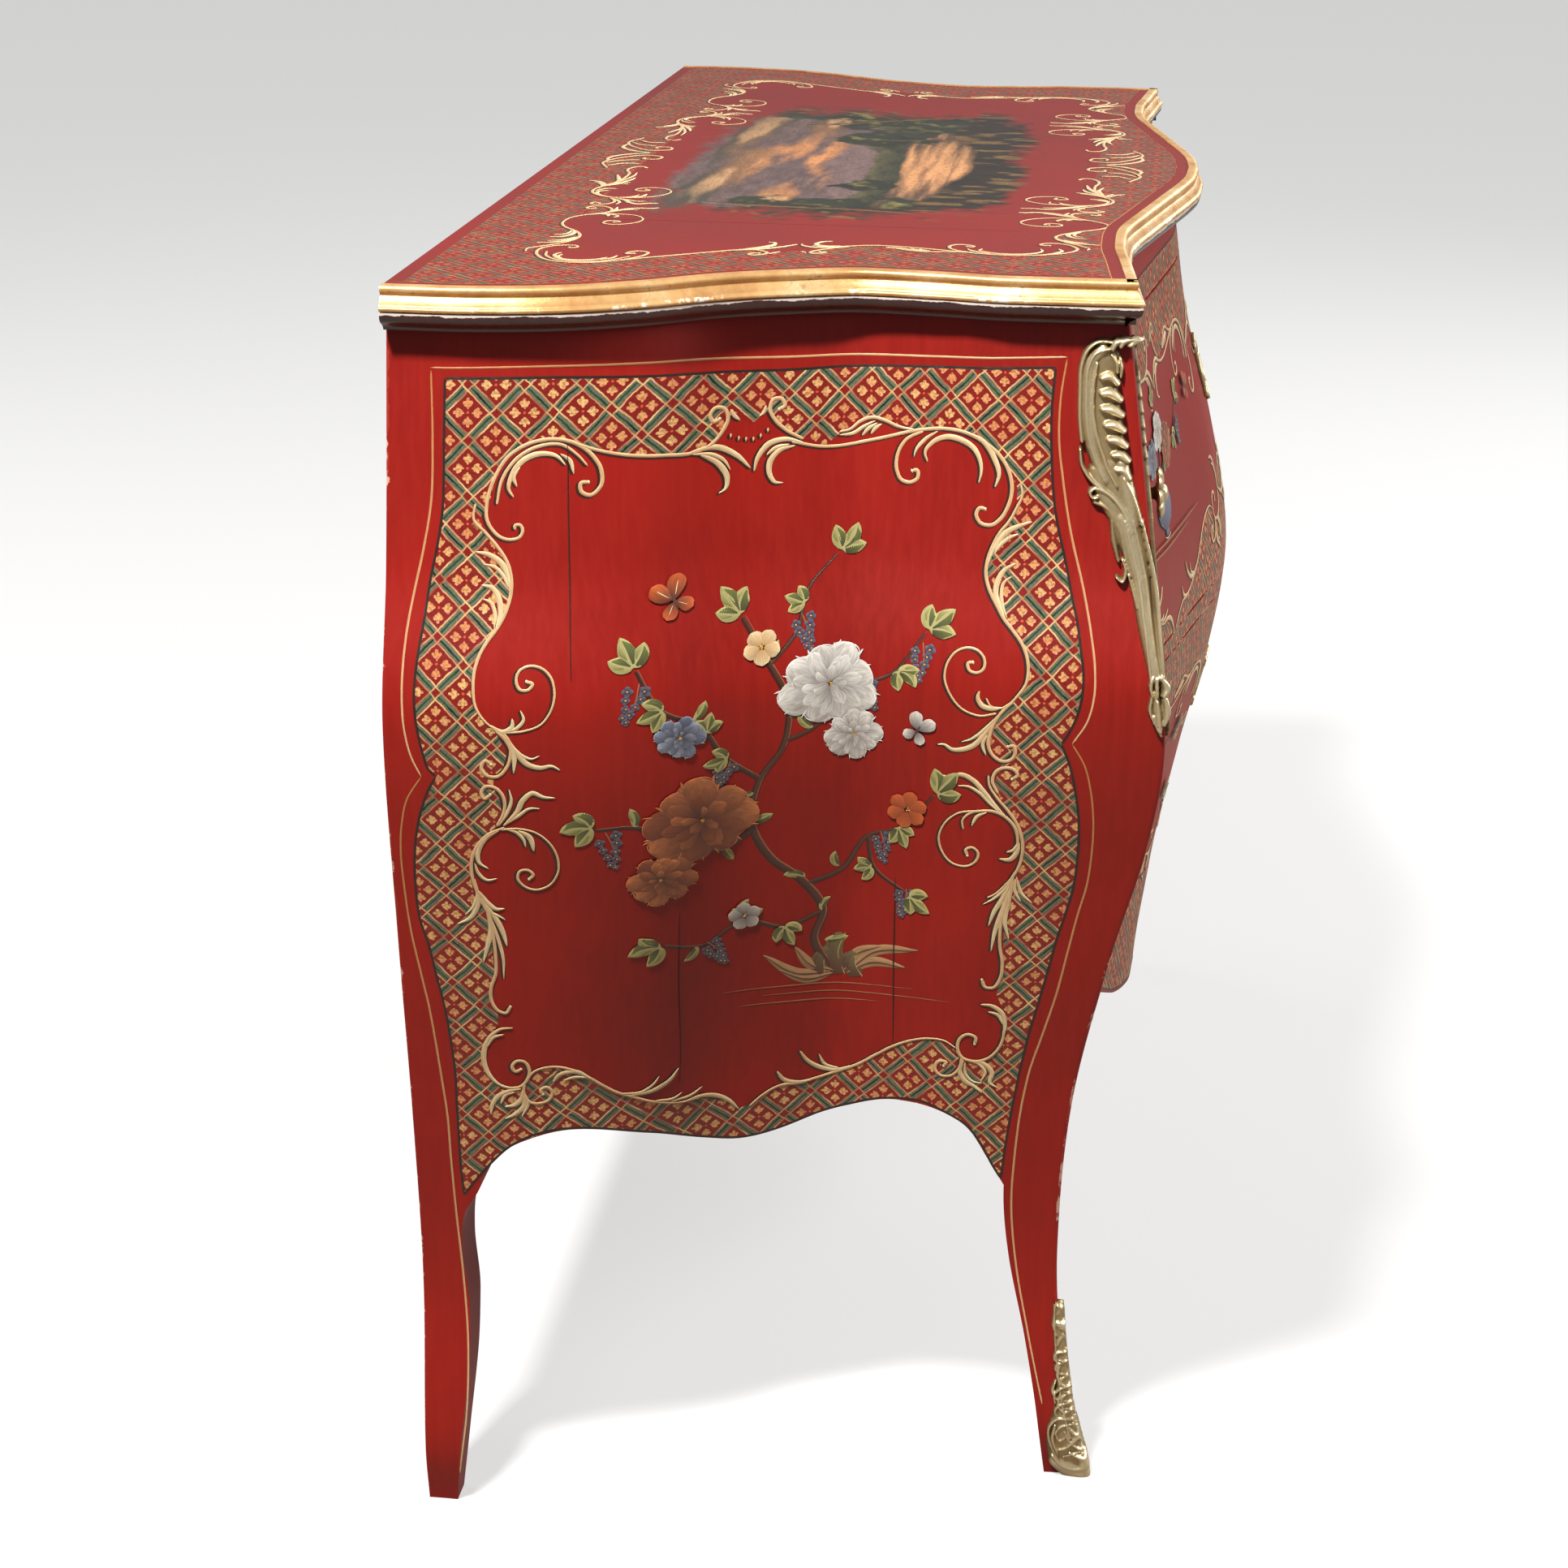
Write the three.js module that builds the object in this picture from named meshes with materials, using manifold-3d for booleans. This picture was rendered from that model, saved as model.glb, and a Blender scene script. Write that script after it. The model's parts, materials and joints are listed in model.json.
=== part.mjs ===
// A lacquered bombé commode with a serpentine front, two long drawers and cast brass mounts.
// Millimetres. X runs along the width, depth is measured forward from the back, +Z is up.
import * as THREE from 'three';
import { mergeVertices } from 'three/addons/utils/BufferGeometryUtils.js';
import Module from 'manifold-3d';

const wasm = await Module();
wasm.setup();

// Overall sizes
const overall_height = 880;
const top_thickness = 29;
const body_height = overall_height - top_thickness;

// Body swell: the flank at the back, the depth at the front corners and the bow of the front
const waist_half_width = 580;
const flank_swell = 56;
const waist_corner_depth = 440;
const corner_swell = 57;
const body_side_sweep = 107;
const body_front_bow = 47;

// The top stands over the waist and sweeps in with the sides
const top_overhang = 30;
const top_back_half_width = waist_half_width + top_overhang;
const top_corner_depth = waist_corner_depth + top_overhang;
const top_side_sweep = body_side_sweep;
const top_front_bow = 37;

// Each pair is a share of the body height and a share of the swell
const flank_swell_shares = [
  [0, 0.05], [0.053, 0.18], [0.2, 0], [0.354, 0.23], [0.531, 0.66], [0.708, 1], [0.825, 0.59], [1, 0.21],
];
const corner_swell_shares = [
  [0, 0.46], [0.083, 0.18], [0.212, 0], [0.354, 0.105], [0.493, 0.49], [0.59, 0.84], [0.678, 1],
  [0.802, 0.79], [1, 0.37],
];
const bow_swell_shares = [
  [0, 0.85], [0.242, 0.9], [0.354, 1], [0.6, 0.94], [0.708, 0.92], [0.802, 0.8], [0.896, 0.55], [1, 0.51],
];

// Plan of a side: share of the corner depth and share of the sweep inwards
const side_sweep_shares = [
  [0, 0], [0.12, 0.01], [0.24, 0.13], [0.34, 0.36], [0.44, 0.69], [0.53, 0.88], [0.62, 1], [0.72, 0.95],
  [0.82, 0.88], [1, 0.9],
];
// Plan of the front: share of the corner half width and share of the bow forward
const front_bow_shares = [
  [0, 1], [0.12, 0.9], [0.32, 0.41], [0.46, 0.05], [0.6, -0.28], [0.72, -0.31], [0.86, -0.16], [1, 0],
];

// Carcass timber
const fit_gap = 0.3;
const mount_gap = 0.7;
const front_post_depth = 40;
const front_post_width = 43.7;
const rear_post_depth = 45;
const rear_post_width = 40;
const corner_sweep_share = side_sweep_shares.at(-1)[1];
const post_back_depth = waist_corner_depth - front_post_depth;
const drawer_opening_half_width = waist_half_width - body_side_sweep * corner_sweep_share - front_post_width;
const rear_post_inner_half_width = waist_half_width - rear_post_width;
const leg_draw_depth = 37;
const leg_draw_width = 23;
// Share of the body height and share of the taper from the post down to the foot
const leg_taper_shares = [[0, 1], [0.07, 0.78], [0.13, 0.52], [0.205, 0.14], [0.27, 0], [1, 0]];
// Share of the body height and share of the rear post's depth, which narrows at the knee and the foot
const rear_leg_shares = [
  [0, 0.46], [0.06, 0.58], [0.13, 0.71], [0.18, 0.73], [0.235, 0.64], [0.27, 0.7], [0.304, 1], [1, 1],
];
const side_panel_thickness = 20;
const side_apron_low = 232;
const side_apron_rise = 66;
// Share of the panel's depth from the back and share of the rise of its scrolled lower edge
const side_apron_shares = [
  [0, 0.42], [0.03, 0.68], [0.08, 0.88], [0.17, 1], [0.31, 0.8], [0.41, 0.55], [0.48, 0.46], [0.56, 0.54],
  [0.67, 0.77], [0.78, 0.94], [0.86, 0.9], [0.925, 0.7], [0.967, 0.32], [1, 0],
];
const front_apron_low = 206;
const front_apron_rise = 66;
// Share of the opening half width and share of the rise of the front apron's lower edge
const front_apron_shares = [
  [0, 0], [0.1, 0.03], [0.25, 0.25], [0.42, 0.72], [0.6, 0.98], [0.76, 1], [0.88, 0.92], [0.955, 0.72],
  [1, 0.4],
];
const front_apron_thickness = 20;
const apron_top = 316;
const divider_bottom = 556;
const divider_thickness = 14;
const top_rail_height = 34;
const rear_rail_thickness = 20;
const rear_bottom_rail_height = 40;
const rear_top_rail_height = 36;
const back_board_thickness = 12;
const back_board_count = 3;
const inner_board_thickness = 12;
const dust_board_thickness = 9;

// Drawers
const reveal = 2;
const drawer_front_thickness = 22;
const drawer_side_thickness = 12;
const drawer_play = 10;
const drawer_half_width = drawer_opening_half_width - drawer_play;
const drawer_side_lift = 4;
const drawer_side_drop = 12;
const drawer_back_depth = 60;
const drawer_bottom_thickness = 6;
const drawer_bottom_lift = 8;
const runner_thickness = 8;
const runner_reach = 26;
const guide_width = 14;
const guide_height = 18;
const guide_play = 1;
const kicker_width = 26;
const kicker_play = 1.5;
const stop_half_width = 30;
const stop_height = 22;

// Locks and keyhole plates
const lock_width = 64;
const lock_height = 42;
const lock_case_depth = 12;
const lock_top_drop = 1;
const bolt_width = 16;
const bolt_depth = 6;
const bolt_height = 24;
const bolt_travel = 8;
const mortise_play = 2;
const escutcheon_half_width = 17;
const escutcheon_half_height = 27;
const escutcheon_thickness = 2.6;
const escutcheon_height_share = 0.62;

// Knobs
const knob_inset = 100;
const knob_place = drawer_opening_half_width - knob_inset;
const knob_seat_gap = 0.95;
const knob_radius = 18.5;
const knob_dish = 3;
const knob_crown = 7;
const knob_rim = 3;
const knob_neck_radius = 4.2;
const knob_neck_length = 9;
const knob_collar_radius = 7;
const knob_collar_thickness = 2.5;
const knob_boss_radius = 6.4;
const stud_radius = 2.5;
const nut_radius = 6;
const nut_thickness = 4;
const nut_sides = 6;
const nut_clearance = 3.4;
const upper_knob_share = 0.53;
const lower_knob_share = 0.46;

// Top edge: the gilt moulding over the dark lower moulding
const moulding_width = 12;
const gilt_height = 16;
// Outline of the gilt moulding: share of its width and share of its height
const gilt_profile_shares = [
  [0, 0], [1, 0], [1, 0.2], [0.86, 0.3], [0.7, 0.5], [0.64, 0.66], [0.6, 0.8], [0.44, 0.94], [0.24, 1],
  [0, 1],
];
const lower_profile_shares = [
  [0, 0], [0.1, 0], [0.18, 0.16], [0.5, 0.36], [0.82, 0.52], [0.92, 0.72], [0.92, 1], [0, 1],
];

// Corner mounts and foot mounts
const mount_top_drop = 8;
const mount_length = 259;
const mount_top = body_height - mount_top_drop;
const mount_bottom = mount_top - mount_length;
const mount_side_width = 42;
const mount_front_width = 32;
const mount_relief = 8;
// Share of the mount's height, of its width on each face and of its relief
const mount_shares = [
  [0, 0.06, 0.3], [0.05, 0.26, 0.8], [0.09, 0.27, 0.8], [0.14, 0.17, 0.6], [0.24, 0.28, 0.6],
  [0.34, 0.44, 0.65], [0.42, 0.62, 0.7], [0.47, 0.82, 0.8], [0.54, 0.88, 0.9], [0.62, 0.84, 0.8],
  [0.72, 0.94, 0.9], [0.84, 0.98, 1], [0.94, 1, 1], [1, 0.86, 0.7],
];
const sabot_height = 140;
const sabot_relief = 7;
const sabot_shares = [
  [0, 1, 1], [0.06, 1, 1.1], [0.14, 0.96, 0.8], [0.26, 0.9, 0.6], [0.4, 0.8, 0.6], [0.52, 0.5, 0.6],
  [0.66, 0.42, 0.5], [0.8, 0.3, 0.5], [0.92, 0.2, 0.5], [1, 0.08, 0.25],
];
const sabot_width = 22;
// Share of the relief left at a mount's edge, and the places across each face that shape it
const mount_edge_share = 0.35;
const mount_face_shares = [1, 0.5];

// How finely the curved pieces are divided
const post_levels = 30;
const post_face_steps = 5;
const rear_face_steps = 2;
const apron_rows = 4;
const divider_rows = 1;
const top_rail_rows = 2;
const plate_steps = 6;
const panel_columns = 22;
const panel_rows = 16;
const front_columns = 22;
const front_rows = 8;
const outline_side_steps = 16;
const outline_front_steps = 28;
const turn_steps = 14;
const merge_distance = 0.003;
const mitre_limit_share = 0.3;

const lacquer = { color: 0x9e1b14, roughness: 0.25, metalness: 0 };
const dark_lacquer = { color: 0x3c1416, roughness: 0.3, metalness: 0 };
const gilt = { color: 0xc8a05a, roughness: 0.35, metalness: 0.6 };
const brass = { color: 0x968a5a, roughness: 0.4, metalness: 0.9 };
const deal = { color: 0xb08a5c, roughness: 0.7, metalness: 0 };
const iron = { color: 0x55524e, roughness: 0.5, metalness: 0.8 };

const chest = new THREE.Group();
const { lerp } = THREE.MathUtils;

// A smooth curve through pairs (place, value). It levels out at each of its highs and lows.
function smooth_through(pairs) {
  const rise = (from, to) => (to[1] - from[1]) / (to[0] - from[0]);
  const slope = pairs.map((pair, i) => {
    const before = pairs[Math.max(i - 1, 0)];
    const after = pairs[Math.min(i + 1, pairs.length - 1)];
    const inside = before !== pair && after !== pair;
    return inside && rise(before, pair) * rise(pair, after) <= 0 ? 0 : rise(before, after);
  });
  return (place) => {
    let i = 0;
    while (i < pairs.length - 2 && place > pairs[i + 1][0]) i += 1;
    const [start, end] = [pairs[i], pairs[i + 1]];
    const span = end[0] - start[0];
    const t = Math.min(Math.max((place - start[0]) / span, 0), 1);
    const ease = t * t * (3 - 2 * t);
    const leave = t * (1 - t) * (1 - t) * span * slope[i];
    const arrive = t * t * (t - 1) * span * slope[i + 1];
    return lerp(start[1], end[1], ease) + leave + arrive;
  };
}

const flank_share = smooth_through(flank_swell_shares);
const corner_share = smooth_through(corner_swell_shares);
const bow_share = smooth_through(bow_swell_shares);
const side_sweep = smooth_through(side_sweep_shares);
const front_bow = smooth_through(front_bow_shares);
const leg_taper = smooth_through(leg_taper_shares);
const rear_leg = smooth_through(rear_leg_shares);

// The body's outer surface
const flank = (z) => waist_half_width + flank_swell * flank_share(z / body_height);
const corner_depth = (z) => waist_corner_depth + corner_swell * corner_share(z / body_height);
const side_x = (depth, z) => flank(z) - body_side_sweep * side_sweep(depth / corner_depth(z));
const corner_x = (z) => side_x(corner_depth(z), z);
const front_depth = (x, z) => corner_depth(z)
  + body_front_bow * bow_share(z / body_height) * front_bow(Math.abs(x) / corner_x(z));

const steps = (count, from, to) => Array.from({ length: count + 1 }, (_, i) => lerp(from, to, i / count));
const point = (x, depth, z) => new THREE.Vector3(x, -depth, z);

// A body from its corners and triangles, turned inside out where its faces would point in
function solid_from(points, triangles) {
  const geometry = new THREE.BufferGeometry();
  geometry.setAttribute('position', new THREE.Float32BufferAttribute(points.flatMap((p) => p.toArray()), 3));
  const wedge = ([a, b, c]) => points[a].dot(points[b].clone().cross(points[c]));
  const volume = triangles.reduce((sum, triangle) => sum + wedge(triangle), 0);
  geometry.setIndex((volume < 0 ? triangles.map(([a, b, c]) => [a, c, b]) : triangles).flat());
  return geometry;
}

// A closed wall between two surfaces, each a function of shares across and up
function wall(outer, inner, across, up) {
  const columns = steps(across, 0, 1);
  const rows = steps(up, 0, 1);
  const points = [outer, inner].flatMap((surface) => rows.flatMap((v) => columns.map((u) => surface(u, v))));
  const width = across + 1;
  const layer = width * (up + 1);
  const triangles = [];
  const quad = (a, b, c, d) => triangles.push([a, b, c], [a, c, d]);
  for (let row = 0; row < up; row += 1) {
    for (let column = 0; column < across; column += 1) {
      const corner = row * width + column;
      quad(corner, corner + 1, corner + width + 1, corner + width);
      quad(layer + corner, layer + corner + width, layer + corner + width + 1, layer + corner + 1);
    }
  }
  const rim = [
    ...Array.from({ length: across }, (_, i) => i),
    ...Array.from({ length: up }, (_, i) => i * width + across),
    ...Array.from({ length: across }, (_, i) => up * width + across - i),
    ...Array.from({ length: up }, (_, i) => (up - i) * width),
  ];
  rim.forEach((a, i) => {
    const b = rim[(i + 1) % rim.length];
    quad(a, layer + a, layer + b, b);
  });
  return solid_from(points, triangles);
}

// A closed body lofted through rings of equal count, capped flat at both ends. The caps are divided
// on the plan, or on the profile that is handed in.
function loft(rings, profile) {
  const count = rings[0].length;
  const last = (rings.length - 1) * count;
  const plan = (ring) => ring.map((p) => new THREE.Vector2(p.x, p.y));
  const cap = (outline) => THREE.ShapeUtils.triangulateShape(outline, []).map(([a, b, c]) => {
    const { area } = THREE.ShapeUtils;
    const along = area(outline) * area([outline[a], outline[b], outline[c]]);
    return along > 0 ? [a, b, c] : [a, c, b];
  });
  const triangles = [
    ...cap(profile ?? plan(rings[0])).map(([a, b, c]) => [a, c, b]),
    ...cap(profile ?? plan(rings.at(-1))).map((triangle) => triangle.map((i) => last + i)),
  ];
  for (let ring = 0; ring < rings.length - 1; ring += 1) {
    for (let i = 0; i < count; i += 1) {
      const a = ring * count + i;
      const b = ring * count + ((i + 1) % count);
      triangles.push([a, b, b + count], [a, b + count, a + count]);
    }
  }
  return solid_from(rings.flat(), triangles);
}

function add(name, geometry, finish, parent = chest) {
  const mesh = new THREE.Mesh(geometry, new THREE.MeshStandardMaterial(finish));
  mesh.name = name;
  parent.add(mesh);
  return mesh;
}

// A squared timber between two corners given as (x, depth, z)
function timber(name, [x0, depth0, z0], [x1, depth1, z1], finish = deal, parent = chest) {
  const geometry = new THREE.BoxGeometry(Math.abs(x1 - x0), Math.abs(depth1 - depth0), Math.abs(z1 - z0));
  geometry.translate((x0 + x1) / 2, -(depth0 + depth1) / 2, (z0 + z1) / 2);
  return add(name, geometry, finish, parent);
}

// Cuts tool bodies out of a body
function cut(geometry, tools) {
  const to_solid = (shape) => {
    const bare = shape.clone();
    bare.deleteAttribute('normal');
    bare.deleteAttribute('uv');
    const merged = mergeVertices(bare);
    return new wasm.Manifold(new wasm.Mesh({
      numProp: 3,
      vertProperties: new Float32Array(merged.attributes.position.array),
      triVerts: new Uint32Array(merged.index.array),
    }));
  };
  const result = tools.reduce((body, tool) => body.subtract(to_solid(tool)), to_solid(geometry)).getMesh();
  const shape = new THREE.BufferGeometry();
  shape.setAttribute('position', new THREE.Float32BufferAttribute(result.vertProperties, 3));
  shape.setIndex(Array.from(result.triVerts));
  return shape;
}

const sides = [['left', -1], ['right', 1]];

// Corner posts run into the cabriole legs. Their outer faces follow the body and the inner ones are flat.
function front_post_ring(side, z) {
  const taper = leg_taper(z / body_height);
  const back = post_back_depth + leg_draw_depth * taper;
  const inner = drawer_opening_half_width + leg_draw_width * taper;
  const side_face = steps(post_face_steps, back, corner_depth(z))
    .map((depth) => point(side * side_x(depth, z), depth, z));
  const front_face = steps(post_face_steps, corner_x(z), inner).slice(1)
    .map((x) => point(side * x, front_depth(x, z), z));
  return [...side_face, ...front_face, point(side * inner, back, z)];
}

function rear_post_ring(side, z) {
  const reach = rear_post_depth * rear_leg(z / body_height);
  const inner = rear_post_inner_half_width + leg_draw_width * leg_taper(z / body_height);
  const side_face = steps(rear_face_steps, 0, reach)
    .map((depth) => point(side * side_x(depth, z), depth, z));
  return [...side_face, point(side * inner, reach, z), point(side * inner, 0, z)];
}

const levels = steps(post_levels, 0, body_height - fit_gap);
for (const [name, side] of sides) {
  add(`front_post_${name}`, loft(levels.map((z) => front_post_ring(side, z))), lacquer);
  add(`rear_post_${name}`, loft(levels.map((z) => rear_post_ring(side, z))), lacquer);
}

// Side panels with their scrolled lower edge
const side_apron = smooth_through(side_apron_shares);
for (const [name, side] of sides) {
  const face = (inset) => (u, v) => {
    const depth = lerp(rear_post_depth + fit_gap, post_back_depth - fit_gap, u);
    const z = lerp(side_apron_low + side_apron_rise * side_apron(u), body_height - fit_gap, v);
    return point(side * (side_x(depth, z) - inset), depth, z);
  };
  add(`side_panel_${name}`, wall(face(0), face(side_panel_thickness), panel_columns, panel_rows), lacquer);
}

// Front rails and apron, bowed with the front
const opening_end = drawer_opening_half_width - fit_gap;
function rail(bottom, top, back, rows) {
  const row = (inner) => (u, v) => {
    const x = lerp(-opening_end, opening_end, u);
    const z = lerp(bottom(x), top, v);
    return point(x, inner ? back(x) : front_depth(x, z), z);
  };
  return wall(row(false), row(true), front_columns, rows);
}

const divider_top = divider_bottom + divider_thickness;
const top_rail_bottom = body_height - top_rail_height;
const front_apron = smooth_through(front_apron_shares);
const apron_rise = (x) => front_apron_rise * front_apron(Math.abs(x) / drawer_opening_half_width);
const apron_edge = (x) => front_apron_low + apron_rise(x);
const apron_back = (x) => front_depth(x, front_apron_low) - front_apron_thickness;
add('front_apron', rail(apron_edge, apron_top, apron_back, apron_rows), lacquer);

// Drawer levels, from the front's reveal down to the runner that carries its sides
function drawer_level(name, opening_bottom, opening_top, thin_height, knob_share) {
  const bottom = opening_bottom + reveal;
  const top = opening_top - reveal;
  const side_bottom = bottom + drawer_side_lift;
  const ledge = side_bottom - fit_gap;
  const board_top = ledge - runner_thickness - fit_gap;
  const inner_face = (x) => front_depth(x, thin_height) - drawer_front_thickness;
  return { name, bottom, top, side_bottom, ledge, board_top, inner_face, knob_share, opening_top };
}
const lower = drawer_level('lower', apron_top, divider_bottom, apron_top, lower_knob_share);
const upper = drawer_level('upper', divider_top, top_rail_bottom, top_rail_bottom, upper_knob_share);

// A lock's place on the inner face of its drawer front, and the mortise over its bolt
const lock_back = (level) => level.inner_face(lock_width / 2) - fit_gap - lock_case_depth;
function mortise(level) {
  const depth = lock_back(level) + lock_case_depth / 2;
  const height = bolt_travel + mortise_play;
  const pocket = new THREE.BoxGeometry(bolt_width + mortise_play, bolt_depth + mortise_play, height);
  pocket.translate(0, -depth, level.opening_top + height / 2 - reveal);
  return pocket;
}
const flat_back = () => post_back_depth;
const divider = rail(() => divider_bottom, divider_top, flat_back, divider_rows);
const top_rail = rail(() => top_rail_bottom, body_height - fit_gap, flat_back, top_rail_rows);
add('drawer_divider_rail', cut(divider, [mortise(lower)]), lacquer);
add('front_top_rail', cut(top_rail, [mortise(upper)]), lacquer);

// Rear rails and back boards between the rear posts
const rear_end = rear_post_inner_half_width - fit_gap;
const board_foot = lower.board_top - inner_board_thickness;
const rear_rail_top = board_foot - fit_gap;
timber('rear_bottom_rail', [-rear_end, 0, rear_rail_top - rear_bottom_rail_height],
  [rear_end, rear_rail_thickness, rear_rail_top]);
const back_top = body_height - fit_gap;
const back_inner = back_board_thickness + fit_gap;
const rear_top_rail_low = back_top - rear_top_rail_height;
timber('rear_top_rail', [-rear_end, back_inner, rear_top_rail_low],
  [rear_end, back_inner + rear_rail_thickness, back_top]);
steps(back_board_count, -rear_end, rear_end).slice(1).forEach((end, i) => {
  const start = end - (2 * rear_end) / back_board_count + fit_gap;
  timber(`back_board_${i + 1}`, [start, 0, board_foot], [end, back_board_thickness, back_top]);
});

// Boards across the carcass, cut to the side panels' inner faces and round the rear posts
function carcass_board(name, bottom, top) {
  const ring = (z) => {
    const half = steps(panel_columns, post_back_depth - fit_gap, rear_post_depth + fit_gap)
      .map((depth) => [side_x(depth, z) - side_panel_thickness - mount_gap, depth]);
    half.push([rear_post_inner_half_width - fit_gap, rear_post_depth + fit_gap]);
    half.push([rear_post_inner_half_width - fit_gap, back_inner]);
    const left = half.map(([x, depth]) => point(-x, depth, z));
    const right = half.map(([x, depth]) => point(x, depth, z)).reverse();
    return [...left, ...right];
  };
  add(name, loft([ring(bottom), ring(top)]), deal);
}
carcass_board('bottom_board', board_foot, lower.board_top);
carcass_board('dust_board', upper.board_top - dust_board_thickness, upper.board_top);

// Rebated runners, stops and kickers
const runner_back = back_inner + fit_gap;
const runner_front = post_back_depth - fit_gap;
for (const level of [lower, upper]) {
  for (const [name, side] of sides) {
    const guide = drawer_half_width + guide_play;
    const seat = level.board_top + fit_gap;
    const guide_top = level.ledge + guide_height;
    const section = [
      [guide - runner_reach, seat], [guide + guide_width, seat], [guide + guide_width, guide_top],
      [guide, guide_top], [guide, level.ledge], [guide - runner_reach, level.ledge],
    ];
    const outline = section.map(([x, z]) => new THREE.Vector2(x, z));
    const ring = (depth) => section.map(([x, z]) => point(side * x, depth, z));
    add(`${level.name}_runner_${name}`, loft([ring(runner_back), ring(runner_front)], outline), deal);
  }
  const stop_foot = level.board_top + fit_gap;
  const stop_front = drawer_back_depth - fit_gap;
  timber(`${level.name}_drawer_stop`, [-stop_half_width, runner_back, stop_foot],
    [stop_half_width, stop_front, stop_foot + stop_height]);
}
const upper_side_top = upper.top - drawer_side_drop;
for (const [name, side] of sides) {
  const kicker_inner = side * (drawer_half_width - kicker_width);
  const kicker_back = back_inner + rear_rail_thickness + fit_gap;
  timber(`kicker_${name}`, [kicker_inner, kicker_back, upper_side_top + kicker_play],
    [side * drawer_half_width, runner_front, back_top]);
}

// Knobs stand square to the bombé front, on studs with a nut inside
const knob_profile = [
  [0, knob_crown], [knob_boss_radius, knob_crown - knob_rim / 2], [knob_boss_radius, knob_rim],
  [knob_radius - knob_rim, knob_rim - knob_dish / 2], [knob_radius, knob_rim / 2],
  [knob_radius - knob_rim / 2, 0],
  [knob_boss_radius, -knob_dish / 2], [knob_neck_radius, -knob_dish], [knob_neck_radius, -knob_neck_length],
  [knob_collar_radius, -knob_neck_length], [knob_collar_radius, -knob_neck_length - knob_collar_thickness],
  [stud_radius, -knob_neck_length - knob_collar_thickness],
];

function knob_frame(side, level) {
  const z = lerp(level.bottom, level.top, level.knob_share);
  const x = side * knob_place;
  const nudge = knob_collar_radius;
  const on_front = (right, rise) => point(x + right, front_depth(x + right, z + rise), z + rise);
  const across = on_front(nudge, 0).sub(on_front(-nudge, 0));
  const up = on_front(0, nudge).sub(on_front(0, -nudge));
  const normal = across.cross(up).normalize();
  const surface = on_front(0, 0);
  const turn = new THREE.Quaternion().setFromUnitVectors(new THREE.Vector3(0, 1, 0), normal);
  const seat = new THREE.Vector3().addVectors(surface, normal.clone().multiplyScalar(knob_seat_gap));
  // The stud runs on until its nut clears the flat inner face
  const reach = (surface.y + level.inner_face(x)) / normal.y;
  return { turn, seat, normal, wall: Math.abs(reach) };
}

function turned(profile, segments, frame, along) {
  const shape = new THREE.LatheGeometry(profile.map(([r, h]) => new THREE.Vector2(r, h)), segments);
  const moved = shape.applyQuaternion(frame.turn);
  const offset = frame.seat.clone().addScaledVector(frame.normal, along);
  moved.translate(offset.x, offset.y, offset.z);
  return tidy(moved);
}

// Merges a turned body's seam and pole so that it closes
function tidy(geometry) {
  geometry.deleteAttribute('normal');
  geometry.deleteAttribute('uv');
  const merged = mergeVertices(geometry, merge_distance);
  const { position } = merged.attributes;
  const corner = (_, i) => new THREE.Vector3().fromBufferAttribute(position, i);
  const points = Array.from({ length: position.count }, corner);
  const index = Array.from(merged.index.array);
  const triangles = [];
  for (let i = 0; i < index.length; i += 3) {
    const [a, b, c] = index.slice(i, i + 3);
    if (a !== b && b !== c && c !== a) triangles.push([a, b, c]);
  }
  return solid_from(points, triangles);
}

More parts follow.
